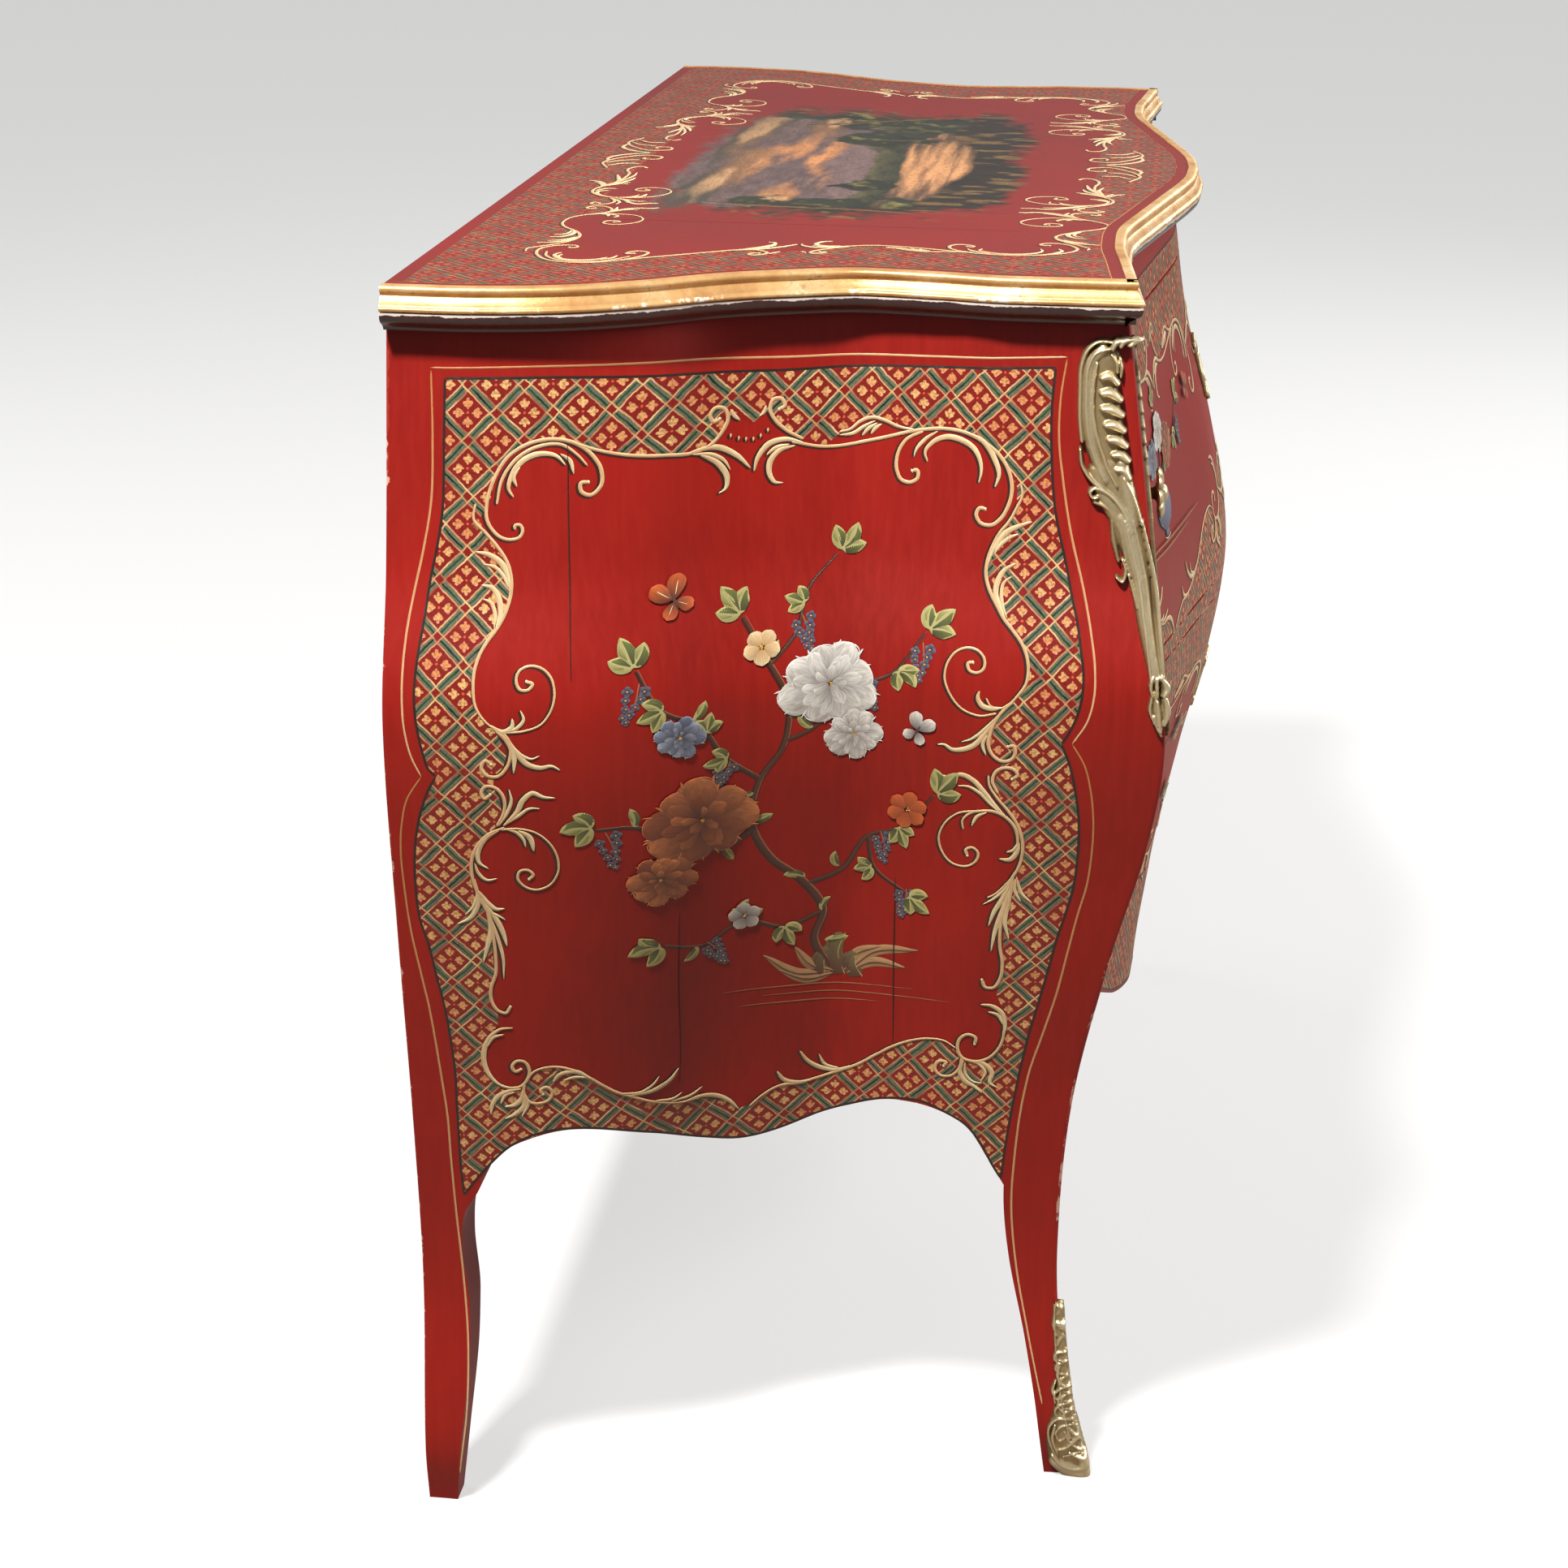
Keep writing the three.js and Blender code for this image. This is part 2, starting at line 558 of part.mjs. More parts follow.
// The two drawers
function drawer(level) {
  const group = new THREE.Group();
  chest.add(group);
  const front_end = drawer_opening_half_width - reveal;
  const face = (inner) => (u, v) => {
    const x = lerp(-front_end, front_end, u);
    const z = lerp(level.bottom, level.top, v);
    return point(x, inner ? level.inner_face(x) : front_depth(x, z), z);
  };
  const knobs = sides.map(([name, side]) => ({ name, frame: knob_frame(side, level) }));
  const stud_holes = knobs.map(({ frame }) => {
    const bore = stud_radius + fit_gap;
    const overrun = knob_collar_radius;
    const end = -frame.wall - overrun;
    const profile = [[0, overrun], [bore, overrun], [bore, end], [0, end]];
    return turned(profile, turn_steps, frame, 0);
  });
  const front = cut(wall(face(false), face(true), front_columns, front_rows), stud_holes);
  add(`${level.name}_drawer_front`, front, lacquer, group);

  const side_top = level.top - drawer_side_drop;
  const side_inner = drawer_half_width - drawer_side_thickness;
  const side_front = Math.min(level.inner_face(drawer_half_width), level.inner_face(side_inner)) - fit_gap;
  for (const [name, side] of sides) {
    const outer_corner = [side * drawer_half_width, drawer_back_depth, level.side_bottom];
    const inner_corner = [side * side_inner, side_front, side_top];
    timber(`${level.name}_drawer_side_${name}`, outer_corner, inner_corner, deal, group);
  }
  const back_end = side_inner - fit_gap;
  const bottom_low = level.side_bottom + drawer_bottom_lift;
  const back_low = bottom_low + drawer_bottom_thickness + fit_gap;
  timber(`${level.name}_drawer_back`, [-back_end, drawer_back_depth, back_low],
    [back_end, drawer_back_depth + drawer_side_thickness, side_top], deal, group);
  const bottom_ring = (z) => [
    point(-back_end, drawer_back_depth, z), point(back_end, drawer_back_depth, z),
    ...steps(front_columns, back_end, -back_end).map((x) => point(x, level.inner_face(x) - mount_gap, z)),
  ];
  const bottom = loft([bottom_ring(bottom_low), bottom_ring(bottom_low + drawer_bottom_thickness)]);
  add(`${level.name}_drawer_bottom`, bottom, deal, group);

  for (const { name, frame } of knobs) {
    const foot = knob_neck_length + knob_collar_thickness;
    const stud_end = -foot - frame.wall - nut_clearance - nut_thickness;
    const knob = turned([...knob_profile, [stud_radius, stud_end], [0, stud_end]], turn_steps, frame, foot);
    add(`${level.name}_knob_${name}`, knob, brass, group);
    const bore = (stud_radius + fit_gap) / Math.cos(Math.PI / nut_sides);
    const nut_face = -frame.wall - nut_clearance;
    const nut = [[bore, nut_face], [nut_radius, nut_face], [nut_radius, nut_face - nut_thickness],
      [bore, nut_face - nut_thickness], [bore, nut_face]];
    add(`${level.name}_knob_nut_${name}`, turned(nut, nut_sides, frame, 0), iron, group);
  }

  // Lock case with an upright channel for its bolt
  const back = lock_back(level);
  const lock_top = level.top - lock_top_drop;
  const lock_case = new THREE.BoxGeometry(lock_width, lock_case_depth, lock_height);
  lock_case.translate(0, -back - lock_case_depth / 2, lock_top - lock_height / 2);
  const channel_depth = bolt_height + fit_gap;
  const [channel_width, channel_gauge] = [bolt_width + 2 * fit_gap, bolt_depth + 2 * fit_gap];
  const channel = new THREE.BoxGeometry(channel_width, channel_gauge, 2 * channel_depth);
  channel.translate(0, -back - lock_case_depth / 2, lock_top);
  add(`${level.name}_lock_case`, cut(lock_case, [channel]), iron, group);
  const bolt_back = back + (lock_case_depth - bolt_depth) / 2;
  timber(`${level.name}_lock_bolt`, [-bolt_width / 2, bolt_back, lock_top - bolt_height],
    [bolt_width / 2, bolt_back + bolt_depth, lock_top], iron, group);

  // Oval keyhole plate laid on the bowed front
  const plate = (offset) => (u, v) => {
    const [p, q] = [2 * u - 1, 2 * v - 1];
    const x = escutcheon_half_width * p * Math.sqrt(1 - (q * q) / 2);
    const z = lerp(level.bottom, level.top, escutcheon_height_share)
      + escutcheon_half_height * q * Math.sqrt(1 - (p * p) / 2);
    return point(x, front_depth(x, z) + offset, z);
  };
  const keyhole_plate = [plate(mount_gap + escutcheon_thickness), plate(mount_gap)];
  add(`${level.name}_escutcheon`, wall(...keyhole_plate, plate_steps, plate_steps), brass, group);
}
drawer(lower);
drawer(upper);

// The plan of the top: left side from the back to the corner, then the front to the right corner
const top_side_x = (share) => top_back_half_width - top_side_sweep * side_sweep(share);
function top_outline() {
  const corner = top_side_x(1);
  const left = steps(outline_side_steps, 0, 1)
    .map((share) => [-top_side_x(share), top_corner_depth * share]);
  const front = steps(outline_front_steps, -corner, corner).slice(1, -1)
    .map((x) => [x, top_corner_depth + top_front_bow * front_bow(Math.abs(x) / corner)]);
  const right = left.map(([x, depth]) => [-x, depth]).reverse();
  return [...left, ...front, ...right];
}
const outline = top_outline();
const corner_index = outline_side_steps;

// Moves the outline inwards, with its ends kept in the back plane
function inset_outline(inset) {
  return outline.map(([x, depth], i) => {
    const ends = i === 0 || i === outline.length - 1;
    const before = outline[Math.max(i - 1, 0)];
    const after = outline[Math.min(i + 1, outline.length - 1)];
    const edge = (from, to) => new THREE.Vector2(to[0] - from[0], to[1] - from[1]).normalize();
    const tangents = ends ? [edge(before, after)] : [edge(before, [x, depth]), edge([x, depth], after)];
    const normals = tangents.map((t) => new THREE.Vector2(t.y, -t.x));
    const normal = normals.reduce((sum, n) => sum.add(n.clone()), new THREE.Vector2()).normalize();
    const reach = inset / Math.max(normal.dot(normals[0]), mitre_limit_share);
    return ends ? [x + Math.sign(-x) * inset, depth] : [x + normal.x * reach, depth + normal.y * reach];
  });
}

const board_ring = (z) => inset_outline(moulding_width + fit_gap).map(([x, depth]) => point(x, depth, z));
add('top_board', loft([board_ring(body_height), board_ring(overall_height)]), lacquer);

// A mitred length of moulding along part of the outline
function moulding(name, from, to, profile_shares, low, high, finish) {
  const profile = profile_shares.map(([out, up]) => [moulding_width * (1 - out), lerp(low, high, up)]);
  const lines = profile.map(([inset]) => inset_outline(inset).slice(from, to + 1));
  const rings = Array.from({ length: to - from + 1 }, (_, i) => profile.map(([, z], k) => {
    const [x, depth] = lines[k][i];
    return point(x, depth, z);
  }));
  // Both mitred ends stand clear of the next length
  const towards = (p, next) => next.clone().sub(p).setLength(mount_gap).add(p);
  const trim = (ring, next) => ring.map((p, k) => towards(p, next[k]));
  if (from > 0) rings[0] = trim(rings[0], rings[1]);
  if (to < outline.length - 1) rings[rings.length - 1] = trim(rings.at(-1), rings.at(-2));
  const cap = profile.map(([inset, z]) => new THREE.Vector2(-inset, z));
  add(name, loft(rings, cap), finish);
}
const lengths = [
  ['left', 0, corner_index],
  ['front', corner_index, outline.length - 1 - corner_index],
  ['right', outline.length - 1 - corner_index, outline.length - 1],
];
const gilt_low = overall_height - gilt_height;
for (const [name, from, to] of lengths) {
  moulding(`gilt_moulding_${name}`, from, to, gilt_profile_shares, gilt_low, overall_height, gilt);
  moulding(`lower_moulding_${name}`, from, to, lower_profile_shares, body_height, gilt_low - fit_gap,
    dark_lacquer);
}

// A cast mount wrapped round the front arris, from its shares of height, width and relief
function arris_mount(shares, side, low, high, side_width, front_width, relief) {
  const rings = shares.map(([up, wide, deep]) => {
    const z = lerp(low, high, up);
    const reach = corner_depth(z);
    const on_side = mount_face_shares.map((share) => {
      const depth = reach - side_width * wide * share;
      return { at: [side_x(depth, z), depth], out: [1, 0], share };
    });
    const arris = { at: [corner_x(z), reach], out: [Math.SQRT1_2, Math.SQRT1_2], share: 0 };
    const on_front = mount_face_shares.toReversed().map((share) => {
      const x = corner_x(z) - front_width * wide * share;
      return { at: [x, front_depth(x, z)], out: [0, 1], share };
    });
    const path = [...on_side, arris, ...on_front];
    const layer = (offset) => path.map(({ at, out, share }) => {
      const away = offset(share);
      return point(side * (at[0] + out[0] * away), at[1] + out[1] * away, z);
    });
    const skin = layer((share) => mount_gap + relief * deep * lerp(1, mount_edge_share, share * share));
    return [...skin, ...layer(() => mount_gap).reverse()];
  });
  return loft(rings);
}
for (const [name, side] of sides) {
  const corner_mount = arris_mount(mount_shares, side, mount_bottom, mount_top, mount_side_width,
    mount_front_width, mount_relief);
  const foot_mount = arris_mount(sabot_shares, side, 0, sabot_height, sabot_width,
    sabot_width, sabot_relief);
  add(`corner_mount_${name}`, corner_mount, brass);
  add(`foot_mount_${name}`, foot_mount, brass);
}

// The chest stands over its own centre
const bounds = new THREE.Box3().setFromObject(chest);
chest.position.y = -(bounds.min.y + bounds.max.y) / 2;
chest.updateMatrixWorld(true);

export default chest;
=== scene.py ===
"""A red lacquered bombé commode: its finish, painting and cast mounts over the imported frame.
Metres, +Z up. The back is the plane of the back boards, the front faces -Y, and depth is measured forward."""
import json
import math

import bmesh
import bpy
import numpy as np
from mathutils import Matrix, Vector


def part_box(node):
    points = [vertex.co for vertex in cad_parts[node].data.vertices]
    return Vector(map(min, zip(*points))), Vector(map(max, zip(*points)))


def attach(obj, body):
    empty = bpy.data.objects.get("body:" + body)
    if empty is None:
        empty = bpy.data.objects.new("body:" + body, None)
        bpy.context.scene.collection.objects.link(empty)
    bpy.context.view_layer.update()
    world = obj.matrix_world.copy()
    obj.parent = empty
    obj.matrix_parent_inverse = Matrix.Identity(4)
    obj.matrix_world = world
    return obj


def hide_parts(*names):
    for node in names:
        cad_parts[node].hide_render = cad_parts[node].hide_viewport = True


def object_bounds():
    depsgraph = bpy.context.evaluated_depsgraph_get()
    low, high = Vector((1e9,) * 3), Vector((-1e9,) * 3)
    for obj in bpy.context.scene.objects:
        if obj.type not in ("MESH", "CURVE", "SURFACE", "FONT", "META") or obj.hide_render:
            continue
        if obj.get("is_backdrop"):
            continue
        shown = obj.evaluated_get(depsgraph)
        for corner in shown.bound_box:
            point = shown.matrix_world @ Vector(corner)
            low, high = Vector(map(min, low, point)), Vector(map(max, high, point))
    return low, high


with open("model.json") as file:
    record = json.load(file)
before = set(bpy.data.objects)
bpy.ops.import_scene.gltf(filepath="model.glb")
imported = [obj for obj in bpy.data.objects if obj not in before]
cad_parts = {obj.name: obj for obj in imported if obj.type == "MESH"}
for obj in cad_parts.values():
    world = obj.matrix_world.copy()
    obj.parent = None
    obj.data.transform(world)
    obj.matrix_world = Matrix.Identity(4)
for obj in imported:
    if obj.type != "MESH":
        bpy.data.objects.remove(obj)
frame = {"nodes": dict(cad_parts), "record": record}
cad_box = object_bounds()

MM = 0.001

# Sizes that the surfaces of the chest follow
BODY_HEIGHT = 851 * MM
TOP = 880 * MM
TOP_FACE = TOP - 0.8 * MM
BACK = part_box("back_board_1")[1].y
WAIST_HALF_WIDTH = 580 * MM
FLANK_SWELL = 56 * MM
WAIST_DEPTH = 440 * MM
CORNER_SWELL = 57 * MM
SIDE_SWEEP = 107 * MM
FRONT_BOW = 47 * MM
TOP_HALF_WIDTH = 610 * MM
TOP_DEPTH = 470 * MM
TOP_BOW = 37 * MM
HAIR = 0.05 * MM

FLANK_SHARES = [(0, 0.05), (0.053, 0.18), (0.2, 0), (0.354, 0.23), (0.531, 0.66), (0.708, 1), (0.825, 0.59),
                (1, 0.21)]
CORNER_SHARES = [(0, 0.46), (0.083, 0.18), (0.212, 0), (0.354, 0.105), (0.493, 0.49), (0.59, 0.84),
                 (0.678, 1), (0.802, 0.79), (1, 0.37)]
BOW_SHARES = [(0, 0.85), (0.242, 0.9), (0.354, 1), (0.6, 0.94), (0.708, 0.92), (0.802, 0.8), (0.896, 0.55),
              (1, 0.51)]
SIDE_PLAN_SHARES = [(0, 0), (0.12, 0.01), (0.24, 0.13), (0.34, 0.36), (0.44, 0.69), (0.53, 0.88), (0.62, 1),
                    (0.72, 0.95), (0.82, 0.88), (1, 0.9)]
FRONT_PLAN_SHARES = [(0, 1), (0.12, 0.9), (0.32, 0.41), (0.46, 0.05), (0.6, -0.28), (0.72, -0.31),
                     (0.86, -0.16), (1, 0)]
LEG_SHARES = [(0, 1), (0.07, 0.78), (0.13, 0.52), (0.205, 0.14), (0.27, 0), (1, 0)]
REAR_LEG_SHARES = [(0, 0.46), (0.06, 0.58), (0.13, 0.71), (0.18, 0.73), (0.235, 0.64), (0.27, 0.7),
                   (0.304, 1), (1, 1)]
SIDE_APRON_SHARES = [(0, 0.42), (0.03, 0.68), (0.08, 0.88), (0.17, 1), (0.31, 0.8), (0.41, 0.55),
                     (0.48, 0.46), (0.56, 0.54), (0.67, 0.77), (0.78, 0.94), (0.86, 0.9), (0.925, 0.7),
                     (0.967, 0.32), (1, 0)]
FRONT_APRON_SHARES = [(0, 0), (0.1, 0.03), (0.25, 0.25), (0.42, 0.72), (0.6, 0.98), (0.76, 1), (0.88, 0.92),
                      (0.955, 0.72), (1, 0.4)]


def smooth_through(pairs):
    """A cubic curve through pairs (place, value), which levels out at each high and each low."""
    place, value = np.array(pairs, float).T
    rise = np.diff(value) / np.diff(place)
    slope = np.concatenate([rise[:1], (value[2:] - value[:-2]) / (place[2:] - place[:-2]), rise[-1:]])
    slope[1:-1][rise[:-1] * rise[1:] <= 0] = 0

    def curve(at):
        at = np.clip(np.asarray(at, float), place[0], place[-1])
        i = np.clip(np.searchsorted(place, at, side="left") - 1, 0, len(place) - 2)
        span = place[i + 1] - place[i]
        t = (at - place[i]) / span
        level = value[i] + (value[i + 1] - value[i]) * t * t * (3 - 2 * t)
        return level + t * (1 - t) ** 2 * span * slope[i] + t * t * (t - 1) * span * slope[i + 1]
    return curve


flank_share = smooth_through(FLANK_SHARES)
corner_share = smooth_through(CORNER_SHARES)
bow_share = smooth_through(BOW_SHARES)
side_plan = smooth_through(SIDE_PLAN_SHARES)
front_plan = smooth_through(FRONT_PLAN_SHARES)
leg_share = smooth_through(LEG_SHARES)
rear_leg_share = smooth_through(REAR_LEG_SHARES)
side_apron_share = smooth_through(SIDE_APRON_SHARES)
front_apron_share = smooth_through(FRONT_APRON_SHARES)


def corner_depth(z):
    """Depth of the front arris at a height: the depth of the waist plus the swell of the corner there."""
    return WAIST_DEPTH + CORNER_SWELL * corner_share(z / BODY_HEIGHT)


def side_x(depth, z):
    """Half width of the body: the flank's swell at that height, less the plan's sweep at that depth."""
    flank = WAIST_HALF_WIDTH + FLANK_SWELL * flank_share(z / BODY_HEIGHT)
    return flank - SIDE_SWEEP * side_plan(depth / corner_depth(z))


def corner_x(z):
    """Half width of the body at the front arris."""
    return side_x(corner_depth(z), z)


def front_depth(x, z):
    """Depth of the front: the corner's depth at that height, plus the serpentine bow at that place."""
    return corner_depth(z) + FRONT_BOW * bow_share(z / BODY_HEIGHT) * front_plan(np.abs(x) / corner_x(z))


def stack(x, depth, z):
    """Points at (x, depth, z), with the depth turned into the frame's y."""
    return np.stack(np.broadcast_arrays(x, BACK - depth, z), axis=-1)


STEP = 0.5 * MM


def side_ground(side):
    """The side of the body as (depth, z, lift) to points, lifted along the surface's normal."""
    def place(depth, z, lift):
        x = side_x(depth, z)
        along = (side_x(depth + STEP, z) - side_x(depth - STEP, z)) / (2 * STEP)
        up = (side_x(depth, z + STEP) - side_x(depth, z - STEP)) / (2 * STEP)
        size = np.sqrt(1 + along ** 2 + up ** 2)
        points = stack(x + lift / size, depth - lift * along / size, z - lift * up / size)
        return points * (side, 1, 1)
    return place


def front_ground(x, z, lift):
    """The front of the body as (x, z, lift) to points, lifted along the surface's normal."""
    across = (front_depth(x + STEP, z) - front_depth(x - STEP, z)) / (2 * STEP)
    up = (front_depth(x, z + STEP) - front_depth(x, z - STEP)) / (2 * STEP)
    size = np.sqrt(1 + across ** 2 + up ** 2)
    return stack(x - lift * across / size, front_depth(x, z) + lift / size, z - lift * up / size)


def top_ground(x, depth, lift):
    """The face of the top as (x, depth, lift) to points."""
    return stack(x, depth, TOP_FACE + lift)


# The camera stands where the photograph was taken, found from the edges of the top and the legs
FRAME_PIXELS = 1932
FOCAL_PIXELS = 3784.7
CAMERA_PLACE = np.array([-2.4501, -0.2123, 1.2271])
CAMERA_YAW, CAMERA_PITCH, CAMERA_ROLL = 0.1229, 0.3414, 0.0096
SENSOR = 36.0

forward = np.array([math.cos(CAMERA_YAW) * math.cos(CAMERA_PITCH),
                    math.sin(CAMERA_YAW) * math.cos(CAMERA_PITCH), -math.sin(CAMERA_PITCH)])
level_right = np.array([math.sin(CAMERA_YAW), -math.cos(CAMERA_YAW), 0.0])
level_up = np.cross(level_right, forward)
right = math.cos(CAMERA_ROLL) * level_right + math.sin(CAMERA_ROLL) * level_up
up = math.cos(CAMERA_ROLL) * level_up - math.sin(CAMERA_ROLL) * level_right


def side_at(pixels):
    """(depth, z) where the photograph's pixels fall on the left side: each ray is walked to the surface."""
    pixels = np.array(pixels, float)
    middle = FRAME_PIXELS / 2
    rays = forward + (pixels[:, :1] - middle) / FOCAL_PIXELS * right
    rays = rays - (pixels[:, 1:] - middle) / FOCAL_PIXELS * up
    x = np.full(len(pixels), -WAIST_HALF_WIDTH)
    for _ in range(12):
        points = CAMERA_PLACE + ((x - CAMERA_PLACE[0]) / rays[:, 0])[:, None] * rays
        depth, z = BACK - points[:, 1], points[:, 2]
        x = -side_x(depth, z)
    return np.stack([depth, z], axis=-1)


def add_camera():
    """The camera in its solved place: right, up and backward are the columns of its turn, and the lens
    is the focal length in pixels, scaled from the frame to the sensor."""
    data = bpy.data.cameras.new("photo_camera")
    data.sensor_width = SENSOR
    data.lens = SENSOR * FOCAL_PIXELS / FRAME_PIXELS
    camera = bpy.data.objects.new("photo_camera", data)
    turn = Matrix((right, up, -forward)).transposed().to_4x4()
    camera.matrix_world = Matrix.Translation(Vector(CAMERA_PLACE)) @ turn
    bpy.context.scene.collection.objects.link(camera)
    bpy.context.scene.camera = camera


def add_lamp(name, place, aim, size, power):
    """A square area lamp in a place, turned to face a point."""
    data = bpy.data.lights.new(name, "AREA")
    data.shape = "SQUARE"
    data.size = size
    data.energy = power
    lamp = bpy.data.objects.new(name, data)
    lamp.location = place
    lamp.rotation_euler = (Vector(aim) - Vector(place)).to_track_quat("-Z", "Y").to_euler()
    bpy.context.scene.collection.objects.link(lamp)


def srgb(red, green, blue):
    """A colour read off the photograph in 0 to 255, as the linear values that shaders take."""
    share = np.array([red, green, blue]) / 255
    linear = np.where(share <= 0.04045, share / 12.92, ((share + 0.055) / 1.055) ** 2.4)
    return tuple(float(v) for v in linear)


# Shader arithmetic: a Field is a socket that adds Math nodes as it is worked with
class Field:
    def __init__(self, tree, socket):
        self.tree, self.socket = tree, socket

    def math(self, operation, *others, clamp=False):
        """A Math node with this field as its first value and the others after it."""
        node = self.tree.nodes.new("ShaderNodeMath")
        node.operation = operation
        node.use_clamp = clamp
        for slot, value in zip(node.inputs, (self, *others)):
            plug(self.tree, slot, value)
        return Field(self.tree, node.outputs[0])

    def __add__(self, other):
        return self.math("ADD", other)

    def __sub__(self, other):
        return self.math("SUBTRACT", other)

    def __mul__(self, other):
        return self.math("MULTIPLY", other)

    def __truediv__(self, other):
        return self.math("DIVIDE", other)

    def __rsub__(self, other):
        return self.math("MULTIPLY", -1.0).math("ADD", other)

    def below(self, limit, soft):
        """1 where the field is under the limit and 0 over it, with a soft edge."""
        return ((limit - self) / soft).math("ADD", 0.5, clamp=True)

    def above(self, limit, soft):
        """1 where the field is over the limit and 0 under it, with a soft edge."""
        return ((self - limit) / soft).math("ADD", 0.5, clamp=True)


def plug(tree, slot, value):
    """Links a field to a socket, or writes a plain number or colour on it."""
    if isinstance(value, Field):
        tree.links.new(value.socket, slot)
    elif isinstance(value, (tuple, list)):
        slot.default_value = (*value, 1.0) if len(value) == 3 and slot.type == "RGBA" else value
    else:
        slot.default_value = value


class Shader:
    """Builds the nodes of one tree: every method adds a node and returns its output as a Field."""
    def __init__(self, tree):
        self.tree = tree

    def add(self, kind, output=0, settings=(), **inputs):
        node = self.tree.nodes.new(kind)
        for name, value in dict(settings).items():
            setattr(node, name, value)
        for name, value in inputs.items():
            plug(self.tree, node.inputs[name.replace("_", " ")], value)
        return Field(self.tree, node.outputs[output])

    def noise(self, at, scale, detail=3.0, roughness=0.55, output="Fac"):
        return self.add("ShaderNodeTexNoise", output, Vector=at, Scale=scale, Detail=detail,
                        Roughness=roughness)

    def mix(self, share, first, second):
        node = self.tree.nodes.new("ShaderNodeMix")
        node.data_type = "RGBA"
        plug(self.tree, node.inputs["Factor"], share)
        plug(self.tree, node.inputs[6], first)
        plug(self.tree, node.inputs[7], second)
        return Field(self.tree, node.outputs[2])

    def split(self, vector):
        node = self.tree.nodes.new("ShaderNodeSeparateXYZ")
        plug(self.tree, node.inputs[0], vector)
        return [Field(self.tree, out) for out in node.outputs]

    def join(self, x, y, z=0.0):
        return self.add("ShaderNodeCombineXYZ", X=x, Y=y, Z=z)

    def stretch(self, at, scale):
        return self.add("ShaderNodeMapping", Vector=at, Scale=scale)

    def ramp(self, share, *stops):
        """Colours or greys at places between 0 and 1."""
        node = self.tree.nodes.new("ShaderNodeValToRGB")
        plug(self.tree, node.inputs[0], share)
        elements = node.color_ramp.elements
        while len(elements) < len(stops):
            elements.new(0.5)
        for element, (place, colour) in zip(elements, stops):
            element.position = place
            element.color = (*colour, 1.0) if isinstance(colour, tuple) else (colour, colour, colour, 1.0)
        return Field(self.tree, node.outputs[0])

    def bump(self, height, strength, distance):
        return self.add("ShaderNodeBump", Height=height, Strength=strength, Distance=distance)

    def attribute(self, name, output="Color"):
        return self.add("ShaderNodeAttribute", output, settings={"attribute_name": name})


def new_group(name, inputs, outputs):
    """A node group with named sockets. Returns its tree, its builder, its inputs and its end node."""
    tree = bpy.data.node_groups.new(name, "ShaderNodeTree")
    for label, kind in inputs:
        tree.interface.new_socket(label, in_out="INPUT", socket_type=kind)
    for label, kind in outputs:
        tree.interface.new_socket(label, in_out="OUTPUT", socket_type=kind)
    start = tree.nodes.new("NodeGroupInput")
    end = tree.nodes.new("NodeGroupOutput")
    given = {label: Field(tree, start.outputs[label]) for label, _ in inputs}
    return tree, Shader(tree), given, end


def use_group(shader, tree, **inputs):
    """Places a group in a material and returns its outputs by name."""
    node = shader.tree.nodes.new("ShaderNodeGroup")
    node.node_tree = tree
    for name, value in inputs.items():
        plug(shader.tree, node.inputs[name.replace("_", " ")], value)
    return {out.name: Field(shader.tree, out) for out in node.outputs}


FLOAT, COLOR, VECTOR = "NodeSocketFloat", "NodeSocketColor", "NodeSocketVector"


def material(name, paint, **plain):
    """A material with one Principled BSDF. paint(shader) gives the sockets that vary over the surface,
    and the plain values are written on the shader itself."""
    made = bpy.data.materials.new(name)
    made.use_nodes = True
    principled = made.node_tree.nodes["Principled BSDF"]
    shader = Shader(made.node_tree)
    for label, value in {**plain, **paint(shader)}.items():
        plug(made.node_tree, principled.inputs[label.replace("_", " ")], value)
    return made


def chip_group():
    """Worn places: a mask that is 1 where an edge value and a broken noise together pass a threshold."""
    tree, s, given, end = new_group("worn_edge", [("Edge", FLOAT), ("Amount", FLOAT), ("Scale", FLOAT)],
                                    [("Worn", FLOAT)])
    at = s.add("ShaderNodeTexCoord", "Object")
    broken = s.noise(at, given["Scale"], 6.0, 0.7)
    patches = s.noise(at, given["Scale"] * 0.17, 2.0)
    worn = (given["Edge"] * given["Amount"] + broken * 0.9 + patches * 0.8).above(1.75, 0.05)
    plug(tree, end.inputs["Worn"], worn)
    return tree


def lacquer_group():
    """Old lacquer: cloudy tone, fine vertical brush marks and dust specks, and the sheen that they leave."""
    tree, s, given, end = new_group("old_lacquer", [("Ground", COLOR), ("Deep", COLOR), ("Bright", COLOR)],
                                    [("Color", COLOR), ("Roughness", FLOAT), ("Height", FLOAT)])
    at = s.add("ShaderNodeTexCoord", "Object")
    clouds = s.noise(at, 5.0, 4.0, 0.6)
    marks = s.noise(s.stretch(at, (220.0, 220.0, 6.0)), 1.0, 3.0)
    fine = s.noise(at, 900.0, 2.0)
    tone = s.mix(s.ramp(clouds, (0.3, 0.0), (0.7, 1.0)), given["Deep"], given["Ground"])
    tone = s.mix(s.ramp(marks, (0.35, 0.0), (0.75, 0.32)), tone, given["Bright"])
    specks = s.noise(at, 320.0, 1.0).above(0.79, 0.03)
    tone = s.mix(specks * 0.35, tone, given["Deep"])
    plug(tree, end.inputs["Color"], tone)
    plug(tree, end.inputs["Roughness"], clouds * 0.12 + fine * 0.1 + marks * 0.08 + 0.24)
    plug(tree, end.inputs["Height"], marks * 0.5 + clouds * 0.6 + fine * 0.15)
    return tree


